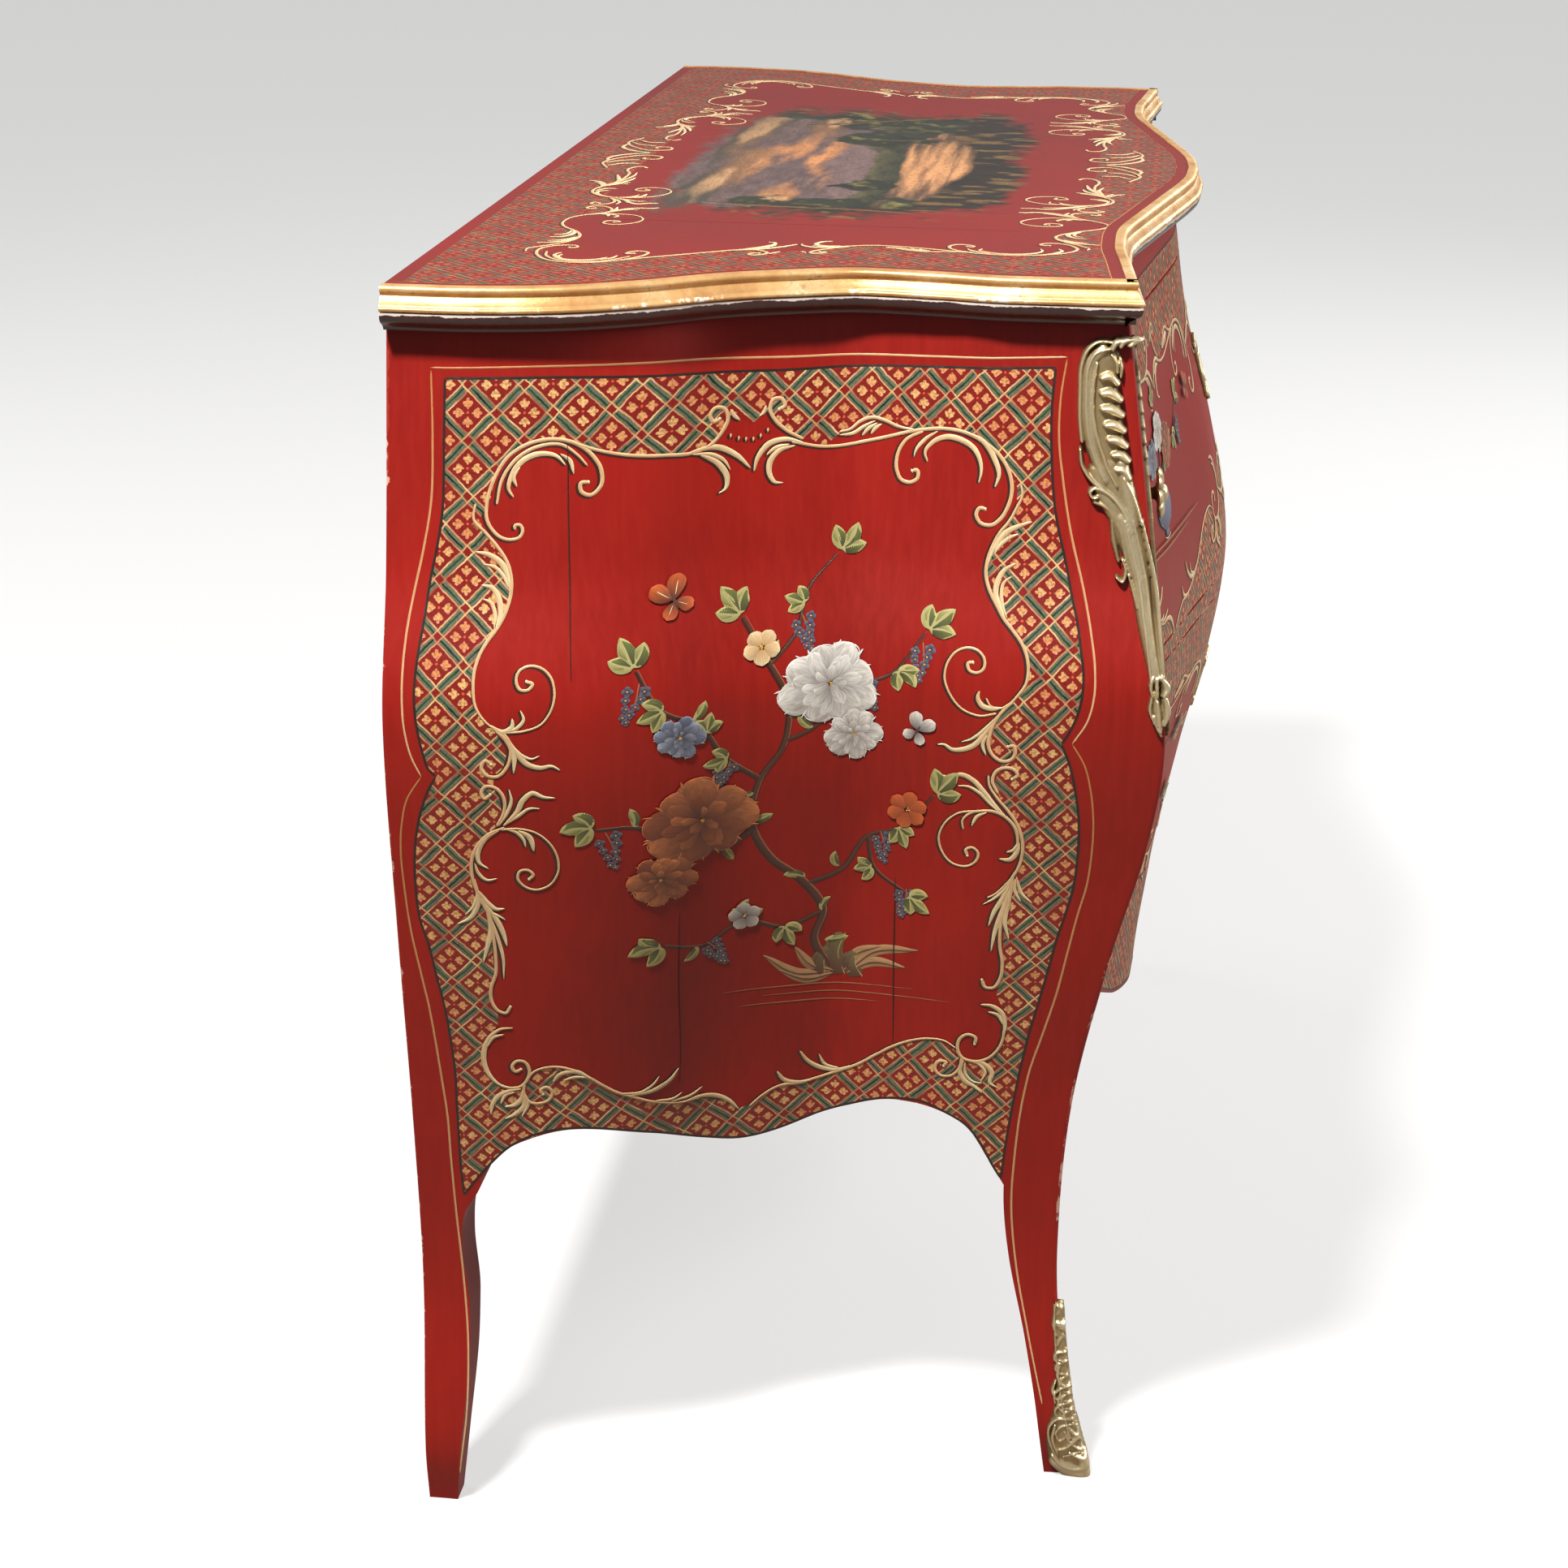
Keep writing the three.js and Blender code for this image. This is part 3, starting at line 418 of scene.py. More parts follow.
worn_edge = chip_group()
old_lacquer = lacquer_group()

RED = srgb(156, 26, 16)
RED_DEEP = srgb(132, 22, 15)
RED_BRIGHT = srgb(170, 38, 24)
GESSO = srgb(214, 168, 150)
GESSO_WHITE = srgb(226, 214, 200)


def paint_red(s):
    """Old red lacquer: chips of gesso where edge and noise are high, and broader, paler scuffs."""
    tone = use_group(s, old_lacquer, Ground=RED, Deep=RED_DEEP, Bright=RED_BRIGHT)
    edge = s.attribute("edge", "Fac")
    chips = use_group(s, worn_edge, Edge=edge, Amount=0.84, Scale=130.0)["Worn"]
    scuffs = use_group(s, worn_edge, Edge=edge, Amount=0.9, Scale=45.0)["Worn"]
    colour = s.mix(scuffs * 0.35, tone["Color"], srgb(196, 74, 58))
    return {"Base_Color": s.mix(chips, colour, GESSO),
            "Roughness": tone["Roughness"] + chips * 0.4,
            "Normal": s.bump(tone["Height"] - chips * 2.0, 0.35, 0.3 * MM)}


def paint_maroon(s):
    """Old dark lacquer with chips of white gesso along its edges. Where the edge value is high enough, as
    along the top of the lower moulding, the chips join into an unbroken pale line that is partly worn gesso
    and partly a painted highlight.
    """
    tone = use_group(s, old_lacquer, Ground=srgb(62, 20, 22), Deep=srgb(40, 12, 14), Bright=srgb(92, 34, 36))
    chips = use_group(s, worn_edge, Edge=s.attribute("edge", "Fac"), Amount=0.75, Scale=150.0)["Worn"]
    return {"Base_Color": s.mix(chips, tone["Color"], GESSO_WHITE),
            "Roughness": tone["Roughness"] + chips * 0.4,
            "Normal": s.bump(tone["Height"] - chips * 2.0, 0.35, 0.3 * MM)}


def paint_gilt(s):
    """Gold leaf in clouds of three tones, tarnished where two noises are high, bare at worn edges."""
    at = s.add("ShaderNodeTexCoord", "Object")
    clouds = s.noise(at, 22.0, 5.0, 0.65)
    fine = s.noise(at, 260.0, 4.0, 0.6)
    leaf = s.ramp(clouds, (0.3, srgb(186, 132, 76)), (0.52, srgb(220, 172, 112)), (0.72, srgb(240, 214, 164)))
    tarnish = (fine * 0.6 + clouds * 0.5).above(0.66, 0.09)
    leaf = s.mix(tarnish * 0.55, leaf, srgb(128, 78, 40))
    edge = s.attribute("edge", "Fac")
    bare = use_group(s, worn_edge, Edge=edge, Amount=0.78, Scale=110.0)["Worn"]
    return {"Base_Color": s.mix(bare, leaf, GESSO_WHITE),
            "Metallic": 0.5 - bare * 0.5 - tarnish * 0.2,
            "Roughness": fine * 0.25 + bare * 0.35 + 0.26,
            "Normal": s.bump(fine + clouds - bare * 2.0, 0.4, 0.35 * MM)}


def paint_brass(s):
    """Cast brass that is paler the higher its relief, with grime where relief and noise are low."""
    at = s.add("ShaderNodeTexCoord", "Object")
    clouds = s.noise(at, 30.0, 5.0, 0.65)
    fine = s.noise(at, 420.0, 4.0, 0.6)
    relief = s.attribute("relief", "Fac")
    grime = (relief * 0.9 + clouds * 0.3 + fine * 0.2).below(0.5, 0.3)
    metal = s.ramp(relief + fine * 0.2 - 0.1, (0.2, srgb(136, 112, 72)), (0.55, srgb(176, 154, 112)),
                   (0.85, srgb(214, 198, 160)))
    return {"Base_Color": s.mix(grime * 0.8, metal, srgb(74, 58, 36)),
            "Metallic": 0.7 - grime * 0.4,
            "Roughness": grime * 0.25 + fine * 0.16 + 0.3,
            "Normal": s.bump(fine * 0.6 + clouds, 0.45, 0.3 * MM)}


def timber(grain):
    """Bare softwood whose grain runs along axis number grain: long rings, pores and old stain."""
    def along(step, fine):
        return tuple(step if axis == grain else fine for axis in range(3))

    def paint(s):
        at = s.add("ShaderNodeTexCoord", "Object")
        ring = s.noise(s.stretch(at, along(2.0, 38.0)), 1.0, 4.0, 0.55)
        pores = s.noise(s.stretch(at, along(25.0, 700.0)), 1.0, 2.0)
        stain = s.noise(at, 3.0, 3.0)
        wood = s.ramp(ring, (0.3, srgb(166, 128, 84)), (0.5, srgb(184, 146, 100)), (0.7, srgb(198, 162, 116)))
        wood = s.mix((ring * 16.0).math("FRACT").above(0.82, 0.3) * 0.3, wood, srgb(142, 102, 62))
        wood = s.mix(s.ramp(pores, (0.5, 0.0), (0.7, 0.35)), wood, srgb(120, 86, 54))
        return {"Base_Color": s.mix(s.ramp(stain, (0.45, 0.0), (0.8, 0.35)), wood, srgb(122, 90, 60)),
                "Roughness": pores * 0.2 + 0.55,
                "Normal": s.bump(pores + ring * 0.5, 0.4, 0.3 * MM)}
    return paint


def paint_iron(s):
    """Dull iron, with rust where a cloudy noise is high."""
    at = s.add("ShaderNodeTexCoord", "Object")
    clouds = s.noise(at, 60.0, 5.0, 0.65)
    rust = clouds.above(0.58, 0.12)
    return {"Base_Color": s.mix(rust, srgb(92, 88, 84), srgb(96, 56, 34)),
            "Metallic": 0.85 - rust * 0.7,
            "Roughness": clouds * 0.4 + 0.3,
            "Normal": s.bump(clouds, 0.5, 0.3 * MM)}


def paint_brushwork(s):
    """Paint laid by brush: the stroke's own colour, streaked along its length."""
    uv = s.add("ShaderNodeUVMap", 0, settings={"uv_map": "strip"})
    along, across, _ = s.split(uv)
    streaks = s.noise(s.join(along * 120.0, across * 6.0), 1.0, 3.0)
    hue = s.attribute("paint")
    dim = s.mix(s.ramp(streaks, (0.3, 0.45), (0.6, 0.0)), hue, srgb(96, 52, 26))
    return {"Base_Color": dim, "Roughness": streaks * 0.2 + 0.3,
            "Normal": s.bump(streaks, 0.5, 0.25 * MM)}


LATTICE_PITCH = 24.6 * MM
LATTICE_LINE = 2.75 * MM
LINE_HALF = 0.5 * MM
BAR_HALF = 2.3 * MM
CORE_HALF = 0.62 * MM
# Circles that make up a petal, in mm: distance from the cell's centre, distance aside and radius
PETAL_LOBES = [(7.1, 0.0, 1.25), (6.3, 2.1, 1.15), (5.2, 1.0, 1.5), (3.7, 0.0, 0.95), (2.8, 0.0, 0.45)]


def lattice_group():
    """A diagonal lattice on coordinates in metres: paired cream lines with a green bar between them,
    the bars broken at each crossing, and a floret of four lobed petals in every cell."""
    tree, s, given, end = new_group("painted_lattice", [("At", VECTOR), ("Fade", FLOAT)],
                                    [("Color", COLOR), ("Height", FLOAT)])

    def vector(operation, *values):
        made = s.add("ShaderNodeVectorMath", 0, settings={"operation": operation})
        for slot, value in zip(made.socket.node.inputs, values):
            plug(tree, slot, value)
        return made
    sway = given["At"]
    for scale, reach in ((60.0, 2.6 * MM), (420.0, 1.0 * MM)):
        wobble = vector("SUBTRACT", s.noise(given["At"], scale, 2.0, output="Color"), (0.5, 0.5, 0.5))
        sway = vector("MULTIPLY_ADD", wobble, (reach, reach, 0.0), sway)
    u, v, _ = s.split(sway)
    soft = 0.4 * MM
    cells, bands = [], []
    for along in ((u + v) * math.sqrt(0.5), (u - v) * math.sqrt(0.5)):
        turns = along / LATTICE_PITCH
        cell = turns.math("FLOOR")
        inside = (turns - cell) * LATTICE_PITCH
        near = inside.math("MINIMUM", LATTICE_PITCH - inside)
        half = (inside - LATTICE_PITCH / 2).math("SIGN")
        cells.append((cell, inside - LATTICE_PITCH / 2))
        bands.append((near, half))
    chance = s.add("ShaderNodeTexWhiteNoise", "Value", Vector=s.join(cells[0][0] + 0.5, cells[1][0] + 0.5))
    patina = s.noise(given["At"], 45.0, 3.0)
    daub = s.noise(given["At"], 520.0, 3.0)
    cream = s.mix(s.ramp(patina, (0.35, 0.0), (0.62, 1.0)), srgb(198, 122, 88), srgb(228, 192, 128))
    petal_paint = s.mix(s.ramp(chance, (0.1, 0.0), (0.9, 1.0)), srgb(220, 146, 94), srgb(232, 188, 122))
    petal_paint = s.mix(s.ramp(daub, (0.38, 0.75), (0.58, 0.0)), petal_paint, srgb(158, 84, 44))
    petal_paint = s.mix(given["Fade"] * 0.75, petal_paint, RED)
    bar = s.mix(s.ramp(patina, (0.4, 0.0), (0.6, 1.0)), srgb(106, 112, 84), srgb(116, 104, 90))
    bar = s.mix(s.ramp(daub, (0.4, 0.4), (0.6, 0.0)), bar, srgb(48, 60, 44))
    core = s.mix(s.ramp(patina, (0.42, 0.0), (0.56, 1.0)), srgb(8, 20, 16), srgb(14, 74, 36))
    cream = s.mix(given["Fade"] * 0.45, cream, srgb(120, 84, 62))
    colour = s.mix(s.ramp(daub, (0.3, 0.0), (0.7, 1.0)), srgb(112, 18, 12), srgb(142, 28, 18))
    colour = s.mix(given["Fade"], colour, RED)
    height = None
    for (near, half), (other, _) in ((bands[0], bands[1]), (bands[1], bands[0])):
        clear = other.above(LATTICE_LINE + 0.2 * MM, soft)
        colour = s.mix(near.below(BAR_HALF, soft) * clear, colour, bar)
        shift = near * half - 0.3 * MM
        colour = s.mix(shift.math("ABSOLUTE").below(CORE_HALF, soft) * clear, colour, core)
    for near, half in bands:
        strength = s.noise(s.join(u + half * 0.7, v, half), 38.0, 2.0)
        strength = s.ramp(strength, (0.38, 0.3), (0.56, 1.0))
        on_line = (near - LATTICE_LINE).math("ABSOLUTE").below(LINE_HALF, soft) * strength
        colour = s.mix(on_line, colour, cream)
        height = on_line if height is None else height.math("MAXIMUM", on_line)
    # Petals point up, down and sideways: fold the cell into one of them
    a, b = cells[0][1], cells[1][1]
    x = ((a + b) * math.sqrt(0.5)).math("ABSOLUTE")
    y = ((a - b) * math.sqrt(0.5)).math("ABSOLUTE")
    reach, aside = x.math("MAXIMUM", y), x.math("MINIMUM", y)

    def lobe(out, off, radius):
        away = (reach - out).math("POWER", 2.0) + (aside - off).math("POWER", 2.0)
        return away.math("SQRT") - radius
    petal = lobe(8.3 * MM, 0.0, 1.0 * MM)
    for out, off, radius in PETAL_LOBES:
        petal = petal.math("SMOOTH_MIN", lobe(out * MM, off * MM, radius * MM), 0.55 * MM)
    on_petal = petal.below(0.0, soft)
    colour = s.mix(on_petal, colour, petal_paint)
    centre = (reach * reach + aside * aside).math("SQRT").below(0.8 * MM, soft)
    colour = s.mix(centre, colour, srgb(214, 84, 50))
    plug(tree, end.inputs["Color"], colour)
    plug(tree, end.inputs["Height"], height.math("MAXIMUM", on_petal))
    return tree


painted_lattice = lattice_group()


def paint_lattice(s):
    """The painted lattice laid out on the map in metres, with its lines and petals raised."""
    uv = s.add("ShaderNodeUVMap", 0, settings={"uv_map": "strip"})
    pattern = use_group(s, painted_lattice, At=uv, Fade=0.0)
    fine = s.noise(s.add("ShaderNodeTexCoord", "Object"), 700.0, 2.0)
    return {"Base_Color": pattern["Color"], "Roughness": fine * 0.2 + 0.28,
            "Normal": s.bump(pattern["Height"] + fine * 0.3, 0.6, 0.25 * MM)}


# The top is painted darker than the sides: TOP_FADE_AND_SHADE fades its lattice toward the red and mixes its
# whole colour far toward DULL_RED, and that darkening is painted shade
TOP_FADE_AND_SHADE = 0.7
DULL_RED = srgb(90, 28, 22)


def decorated(fade):
    """Red lacquer with the lattice wherever the band attribute, in metres, is over zero. fade fades the
    lattice toward the red and also darkens the whole colour toward DULL_RED; on the top, where fade is large,
    that darkening is painted shade.
    """
    def paint(s):
        plain = paint_red(s)
        uv = s.add("ShaderNodeUVMap", 0, settings={"uv_map": "strip"})
        pattern = use_group(s, painted_lattice, At=uv, Fade=fade)
        band = s.attribute("band", "Fac").above(0.0004, 0.0006)
        colour = s.mix(band, plain["Base_Color"], pattern["Color"])
        return {"Base_Color": s.mix(fade * 0.8, colour, DULL_RED),
                "Roughness": plain["Roughness"], "Normal": plain["Normal"]}
    return paint


def paint_oils(s):
    """A dark picture in oils that thins out round its edges into the red lacquer, which is darkened toward
    DULL_RED as painted shade like the rest of the top.
    """
    plain = paint_red(s)
    at = s.add("ShaderNodeTexCoord", "Object")
    strokes = s.noise(s.stretch(at, (140.0, 420.0, 1.0)), 1.0, 3.0)
    hue = s.mix(s.ramp(strokes, (0.3, 0.35), (0.6, 0.0)), s.attribute("paint"), srgb(30, 22, 16))
    ground = s.mix(TOP_FADE_AND_SHADE * 0.8, plain["Base_Color"], DULL_RED)
    return {"Base_Color": s.mix(s.attribute("veil", "Fac"), ground, hue),
            "Roughness": plain["Roughness"], "Normal": s.bump(strokes, 0.4, 0.2 * MM)}


LACQUER = {"Specular_IOR_Level": 0.34, "Coat_Weight": 0.06, "Coat_Roughness": 0.2}
FINISHES = {
    "decorated": material("decorated_lacquer", decorated(0.22), **LACQUER),
    # The top's lacquer, with its lattice fading and its colour darkened as painted shade
    "faded_and_shaded": material("faded_shaded_lacquer", decorated(TOP_FADE_AND_SHADE), **LACQUER),
    "oils": material("oil_paint", paint_oils, **LACQUER),
    "red": material("red_lacquer", paint_red, **LACQUER),
    "maroon": material("maroon_lacquer", paint_maroon, Coat_Weight=0.8, Coat_Roughness=0.1),
    "gilt": material("worn_gilding", paint_gilt),
    "brass": material("aged_brass", paint_brass),
    "timber": material("timber_across", timber(0)),
    "timber_deep": material("timber_front_to_back", timber(1)),
    "timber_tall": material("timber_upright", timber(2)),
    "iron": material("dull_iron", paint_iron),
    "brushwork": material("brushed_paint", paint_brushwork, Coat_Weight=0.2, Coat_Roughness=0.15),
    "lattice": material("lattice_paint", paint_lattice, Coat_Weight=0.2, Coat_Roughness=0.15),
}


# Meshes from whole arrays
SHARP = math.radians(35)
SMOOTH = math.pi


def grid_faces(rows, columns, close_rows=False, close_columns=False, start=0):
    """Quads of a grid of rows by columns, numbered row by row."""
    r = np.arange(rows if close_rows else rows - 1)[:, None]
    c = np.arange(columns if close_columns else columns - 1)[None, :]
    low, high = r * columns, (r + 1) % rows * columns
    left, other = c, (c + 1) % columns
    return start + np.stack([low + left, low + other, high + other, high + left], axis=-1).reshape(-1, 4)


def mesh_piece(name, points, faces, finishes, body, replaces=(), face_finish=None, values=(),
               strip=None, sharp=SHARP):
    """One object from arrays: points, quads (with -1 as the fourth corner of a triangle), named vertex
    values, and a UV map in metres. It rides on its body and stands for the named nodes."""
    points = np.asarray(points, np.float32).reshape(-1, 3)
    faces = np.asarray(faces, np.int32)
    corners = [tuple(int(i) for i in face if i >= 0) for face in faces]
    mesh = bpy.data.meshes.new(name)
    mesh.from_pydata(points.tolist(), [], corners)
    if strip is not None:
        uv = mesh.uv_layers.new(name="strip")
        loops = np.empty(len(mesh.loops), np.int32)
        mesh.loops.foreach_get("vertex_index", loops)
        uv.data.foreach_set("uv", np.asarray(strip, np.float32).reshape(-1, 2)[loops].ravel())
    for label, value in dict(values).items():
        value = np.asarray(value, np.float32)
        if value.ndim > 1:
            layer = mesh.attributes.new(label, "FLOAT_COLOR", "POINT")
            rgba = np.concatenate([value, np.ones((len(value), 1), np.float32)], axis=1)
            layer.data.foreach_set("color", rgba.ravel())
        else:
            mesh.attributes.new(label, "FLOAT", "POINT").data.foreach_set("value", value)
    for finish in finishes:
        mesh.materials.append(FINISHES[finish])
    if face_finish is not None:
        mesh.polygons.foreach_set("material_index", np.asarray(face_finish, np.int32))
    mesh.polygons.foreach_set("use_smooth", np.ones(len(mesh.polygons), bool))
    mesh.set_sharp_from_angle(angle=sharp)
    mesh.validate()
    piece = bpy.data.objects.new(name, mesh)
    bpy.context.scene.collection.objects.link(piece)
    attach(piece, body)
    if replaces:
        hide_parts(*replaces)
    return piece


def shell(name, outer, inner, body, node, edge, finishes=("red", "timber"), flip=False,
          band=None, strip=None):
    """A closed wall between two grids of points of the same shape, joined round its rim. The rim of a
    wall with a painted band takes the last finish, and that of a plain one the first."""
    rows, columns = outer.shape[:2]
    count = rows * columns
    face = grid_faces(rows, columns)
    back = grid_faces(rows, columns, start=count)[:, ::-1]
    index = np.arange(count).reshape(rows, columns)
    rim = np.concatenate([index[0, :-1], index[:-1, -1], index[-1, :0:-1], index[:0:-1, 0]])
    after = np.roll(rim, -1)
    sides = np.stack([after, rim, rim + count, after + count], axis=-1)
    faces = np.concatenate([face, back, sides])
    if flip:
        faces = faces[:, ::-1]
    rim_finish = 0 if band is None else len(finishes) - 1
    which = np.concatenate([np.zeros(len(face)), np.ones(len(back)), np.full(len(sides), rim_finish)])
    values = {"edge": np.concatenate([edge.ravel(), np.zeros(count)])}
    if band is not None:
        values["band"] = np.concatenate([band.ravel(), np.zeros(count)])
        strip = np.concatenate([strip.reshape(-1, 2)] * 2)
    return mesh_piece(name, np.concatenate([outer.reshape(-1, 3), inner.reshape(-1, 3)]), faces, finishes,
                      body, [node], which, values, strip)


def loft(name, rings, body, node, finish, values):
    """A closed body through rings of equal count (levels, points, 3), with an n-gon cap at each end."""
    levels, count = rings.shape[:2]
    mesh = bpy.data.meshes.new(name)
    faces = grid_faces(levels, count, close_columns=True)
    corners = [tuple(face) for face in faces.tolist()]
    corners.append(tuple(range(count - 1, -1, -1)))
    corners.append(tuple(range((levels - 1) * count, levels * count)))
    mesh.from_pydata(rings.reshape(-1, 3).tolist(), [], corners)
    bare = bpy.data.objects.new(name, mesh)
    for label, value in values.items():
        layer = mesh.attributes.new(label, "FLOAT", "POINT")
        layer.data.foreach_set("value", value.ravel().astype(np.float32))
    mesh.materials.append(FINISHES[finish])
    mesh.polygons.foreach_set("use_smooth", np.ones(len(mesh.polygons), bool))
    outward(mesh)
    mesh.set_sharp_from_angle(angle=SHARP)
    bpy.context.scene.collection.objects.link(bare)
    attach(bare, body)
    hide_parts(node)


def outward(mesh):
    """Turns a closed mesh so that its faces point out."""
    work = bmesh.new()
    work.from_mesh(mesh)
    bmesh.ops.recalc_face_normals(work, faces=work.faces)
    work.to_mesh(mesh)
    work.free()


def span(first, last, count):
    """Evenly spaced values from the first to the last."""
    return np.linspace(first, last, count)


# Carcass timbers that show
SIDES = (("left", -1), ("right", 1))
POST_BACK = 400 * MM
OPENING = 440 * MM
REAR_POST_DEPTH = 45 * MM
REAR_POST_INNER = 540 * MM
PANEL = 20 * MM
LEG_DRAW_DEPTH = 37 * MM
LEG_DRAW_WIDTH = 23 * MM
ARRIS = 3 * MM
SIDE_APRON_LOW, SIDE_APRON_RISE = 232 * MM, 66 * MM
FRONT_APRON_LOW, FRONT_APRON_RISE = 206 * MM, 66 * MM


def side_apron(depth):
    """Height of the side panel's scrolled lower edge at that depth."""
    share = (depth - REAR_POST_DEPTH) / (POST_BACK - REAR_POST_DEPTH)
    return SIDE_APRON_LOW + SIDE_APRON_RISE * side_apron_share(share)


def front_apron(x):
    """Height of the front apron's wavy lower edge at that x, the same on both halves."""
    return FRONT_APRON_LOW + FRONT_APRON_RISE * front_apron_share(np.abs(x) / OPENING)


def side_panel(name, side):
    """The bombé side: the body's surface over depth and height, and the same 20 mm further in."""
    depth = span(REAR_POST_DEPTH + HAIR, POST_BACK - HAIR, 90)[None, :]
    share = span(0, 1, 130)[:, None]
    z = side_apron(depth) * (1 - share) + (BODY_HEIGHT - HAIR) * share
    depth = np.broadcast_to(depth, z.shape)
    outer = stack(side * side_x(depth, z), depth, z)
    inner = stack(side * (side_x(depth, z) - PANEL), depth, z)
    edge = np.clip(1 - (z - side_apron(depth)) / (5 * MM), 0, 1)
    shell(f"side_panel_{name}", outer, inner, "carcass", f"side_panel_{name}", edge, flip=side > 0)


def corner_round(before, corner, after, count):
    """A rounded arris: a parabola from one face to the other, with the corner as its control point."""
    t = span(0, 1, count)[:, None, None]
    return (1 - t) ** 2 * before + 2 * t * (1 - t) * corner + t * t * after


def front_post(name, side):
    """A corner post and its cabriole leg: level rings over the side face, the arris and the front face."""
    z = span(0, BODY_HEIGHT - HAIR, 220)
    taper = leg_share(z / BODY_HEIGHT)
    back = POST_BACK + LEG_DRAW_DEPTH * taper
    inner = OPENING + LEG_DRAW_WIDTH * taper
    reach, wide = corner_depth(z), corner_x(z)
    to_side = [back + (reach - ARRIS - back) * t for t in span(0, 1, 14)]
    to_front = [wide - ARRIS + (inner - wide + ARRIS) * t for t in span(0, 1, 14)]
    side_face = [np.stack([side_x(depth, z), depth, z], -1) for depth in to_side]
    front_face = [np.stack([x, front_depth(x, z), z], -1) for x in to_front]
    corner = np.stack([wide, reach, z], -1)
    arris = corner_round(side_face[-1], corner, front_face[0], 7)[1:-1]
    ring = np.stack([*side_face, *arris, *front_face, np.stack([inner, back, z], -1)], axis=1)
    points = stack(side * ring[..., 0], ring[..., 1], ring[..., 2])
    edge = np.zeros(ring.shape[:2])
    edge[:, 11:22] = np.interp(np.arange(11), [0, 3, 7, 10], [0, 1, 1, 0])
    edge *= np.interp(z, [460 * MM, 500 * MM], [1, 0.6])[:, None]
    node = f"front_post_{name}"
    loft(node, points, "carcass", node, "red", {"edge": edge})


def rear_post(name, side):
    """A rear post and its leg, with a flat back and a rounded rear arris."""
    z = span(0, BODY_HEIGHT - HAIR, 200)
    reach = REAR_POST_DEPTH * rear_leg_share(z / BODY_HEIGHT)
    inner = REAR_POST_INNER + LEG_DRAW_WIDTH * leg_share(z / BODY_HEIGHT)
    face = [np.stack([side_x(reach * t, z), reach * t, z], -1) for t in span(0, 1, 10)]
    ring = [np.stack([inner, 0 * z, z], -1), *face, np.stack([inner, reach, z], -1)]
    ring = np.stack(ring, axis=1)
    edge = np.zeros(ring.shape[:2])
    edge[:, 1:3] = (1.0, 0.5)
    points = stack(side * ring[..., 0], ring[..., 1], ring[..., 2])
    node = f"rear_post_{name}"
    loft(node, points, "carcass", node, "red", {"edge": edge})


def front_shell(name, body, low, high, inner, half, finishes=("decorated", "timber", "red"), rows=40):
    """A part of the bowed front between two heights, given as functions of x, back to an inner face."""
    x = span(-half, half, 240)[None, :]
    share = span(0, 1, rows)[:, None]
    z = low(x) * (1 - share) + high(x) * share
    x = np.broadcast_to(x, z.shape)
    outer = stack(x, front_depth(x, z), z)
    back = stack(x, inner(x), z)
    brink = np.minimum(np.minimum(z - low(x), high(x) - z), half - np.abs(x))
    return shell(name, outer, back, body, name, np.clip(1 - brink / (3 * MM), 0, 1), finishes,
                 band=front_band(x, z), strip=np.stack([x, z], -1))


def level(value):
    """A function of x that gives one value at every x."""
    return lambda x: np.full_like(x, value)


APRON_TOP = 316 * MM
DIVIDER = (556 * MM, 570 * MM)
RAIL_LOW = BODY_HEIGHT - 34 * MM
DRAWER_GAP = 2 * MM
RAIL_HALF = OPENING - 0.3 * MM
APRON_THICK = 20 * MM
DRAWER_HALF = OPENING - DRAWER_GAP
FRONT_THICK = 22 * MM
DRAWERS = {
    "lower": (APRON_TOP + DRAWER_GAP, DIVIDER[0] - DRAWER_GAP, APRON_TOP),
    "upper": (DIVIDER[1] + DRAWER_GAP, RAIL_LOW - DRAWER_GAP, RAIL_LOW),
}


BOLT_PLAY = 1 * MM
MORTISE_DEPTH = 10 * MM


def cut_mortise(rail, bolt, underside):
    """Cuts the pocket that a lock's bolt rises into: its box with some play, up from the rail's underside."""
    first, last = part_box(bolt)
    x, y = (first.x - BOLT_PLAY, last.x + BOLT_PLAY), (first.y - BOLT_PLAY, last.y + BOLT_PLAY)
    z = (underside - BOLT_PLAY, underside + MORTISE_DEPTH)
    mesh = bpy.data.meshes.new("mortise")
    mesh.from_pydata([(a, b, c) for a in x for b in y for c in z], [],
                     [(0, 1, 3, 2), (4, 6, 7, 5), (0, 4, 5, 1), (2, 3, 7, 6), (0, 2, 6, 4), (1, 5, 7, 3)])
    cutter = bpy.data.objects.new("mortise", mesh)
    bpy.context.scene.collection.objects.link(cutter)
    cut = rail.modifiers.new("mortise", "BOOLEAN")
    cut.object = cutter
    cut.operation = "DIFFERENCE"
    done = rail.evaluated_get(bpy.context.evaluated_depsgraph_get())
    rail.data = bpy.data.meshes.new_from_object(done)
    rail.modifiers.clear()
    bpy.data.objects.remove(cutter)
    bpy.data.meshes.remove(mesh)


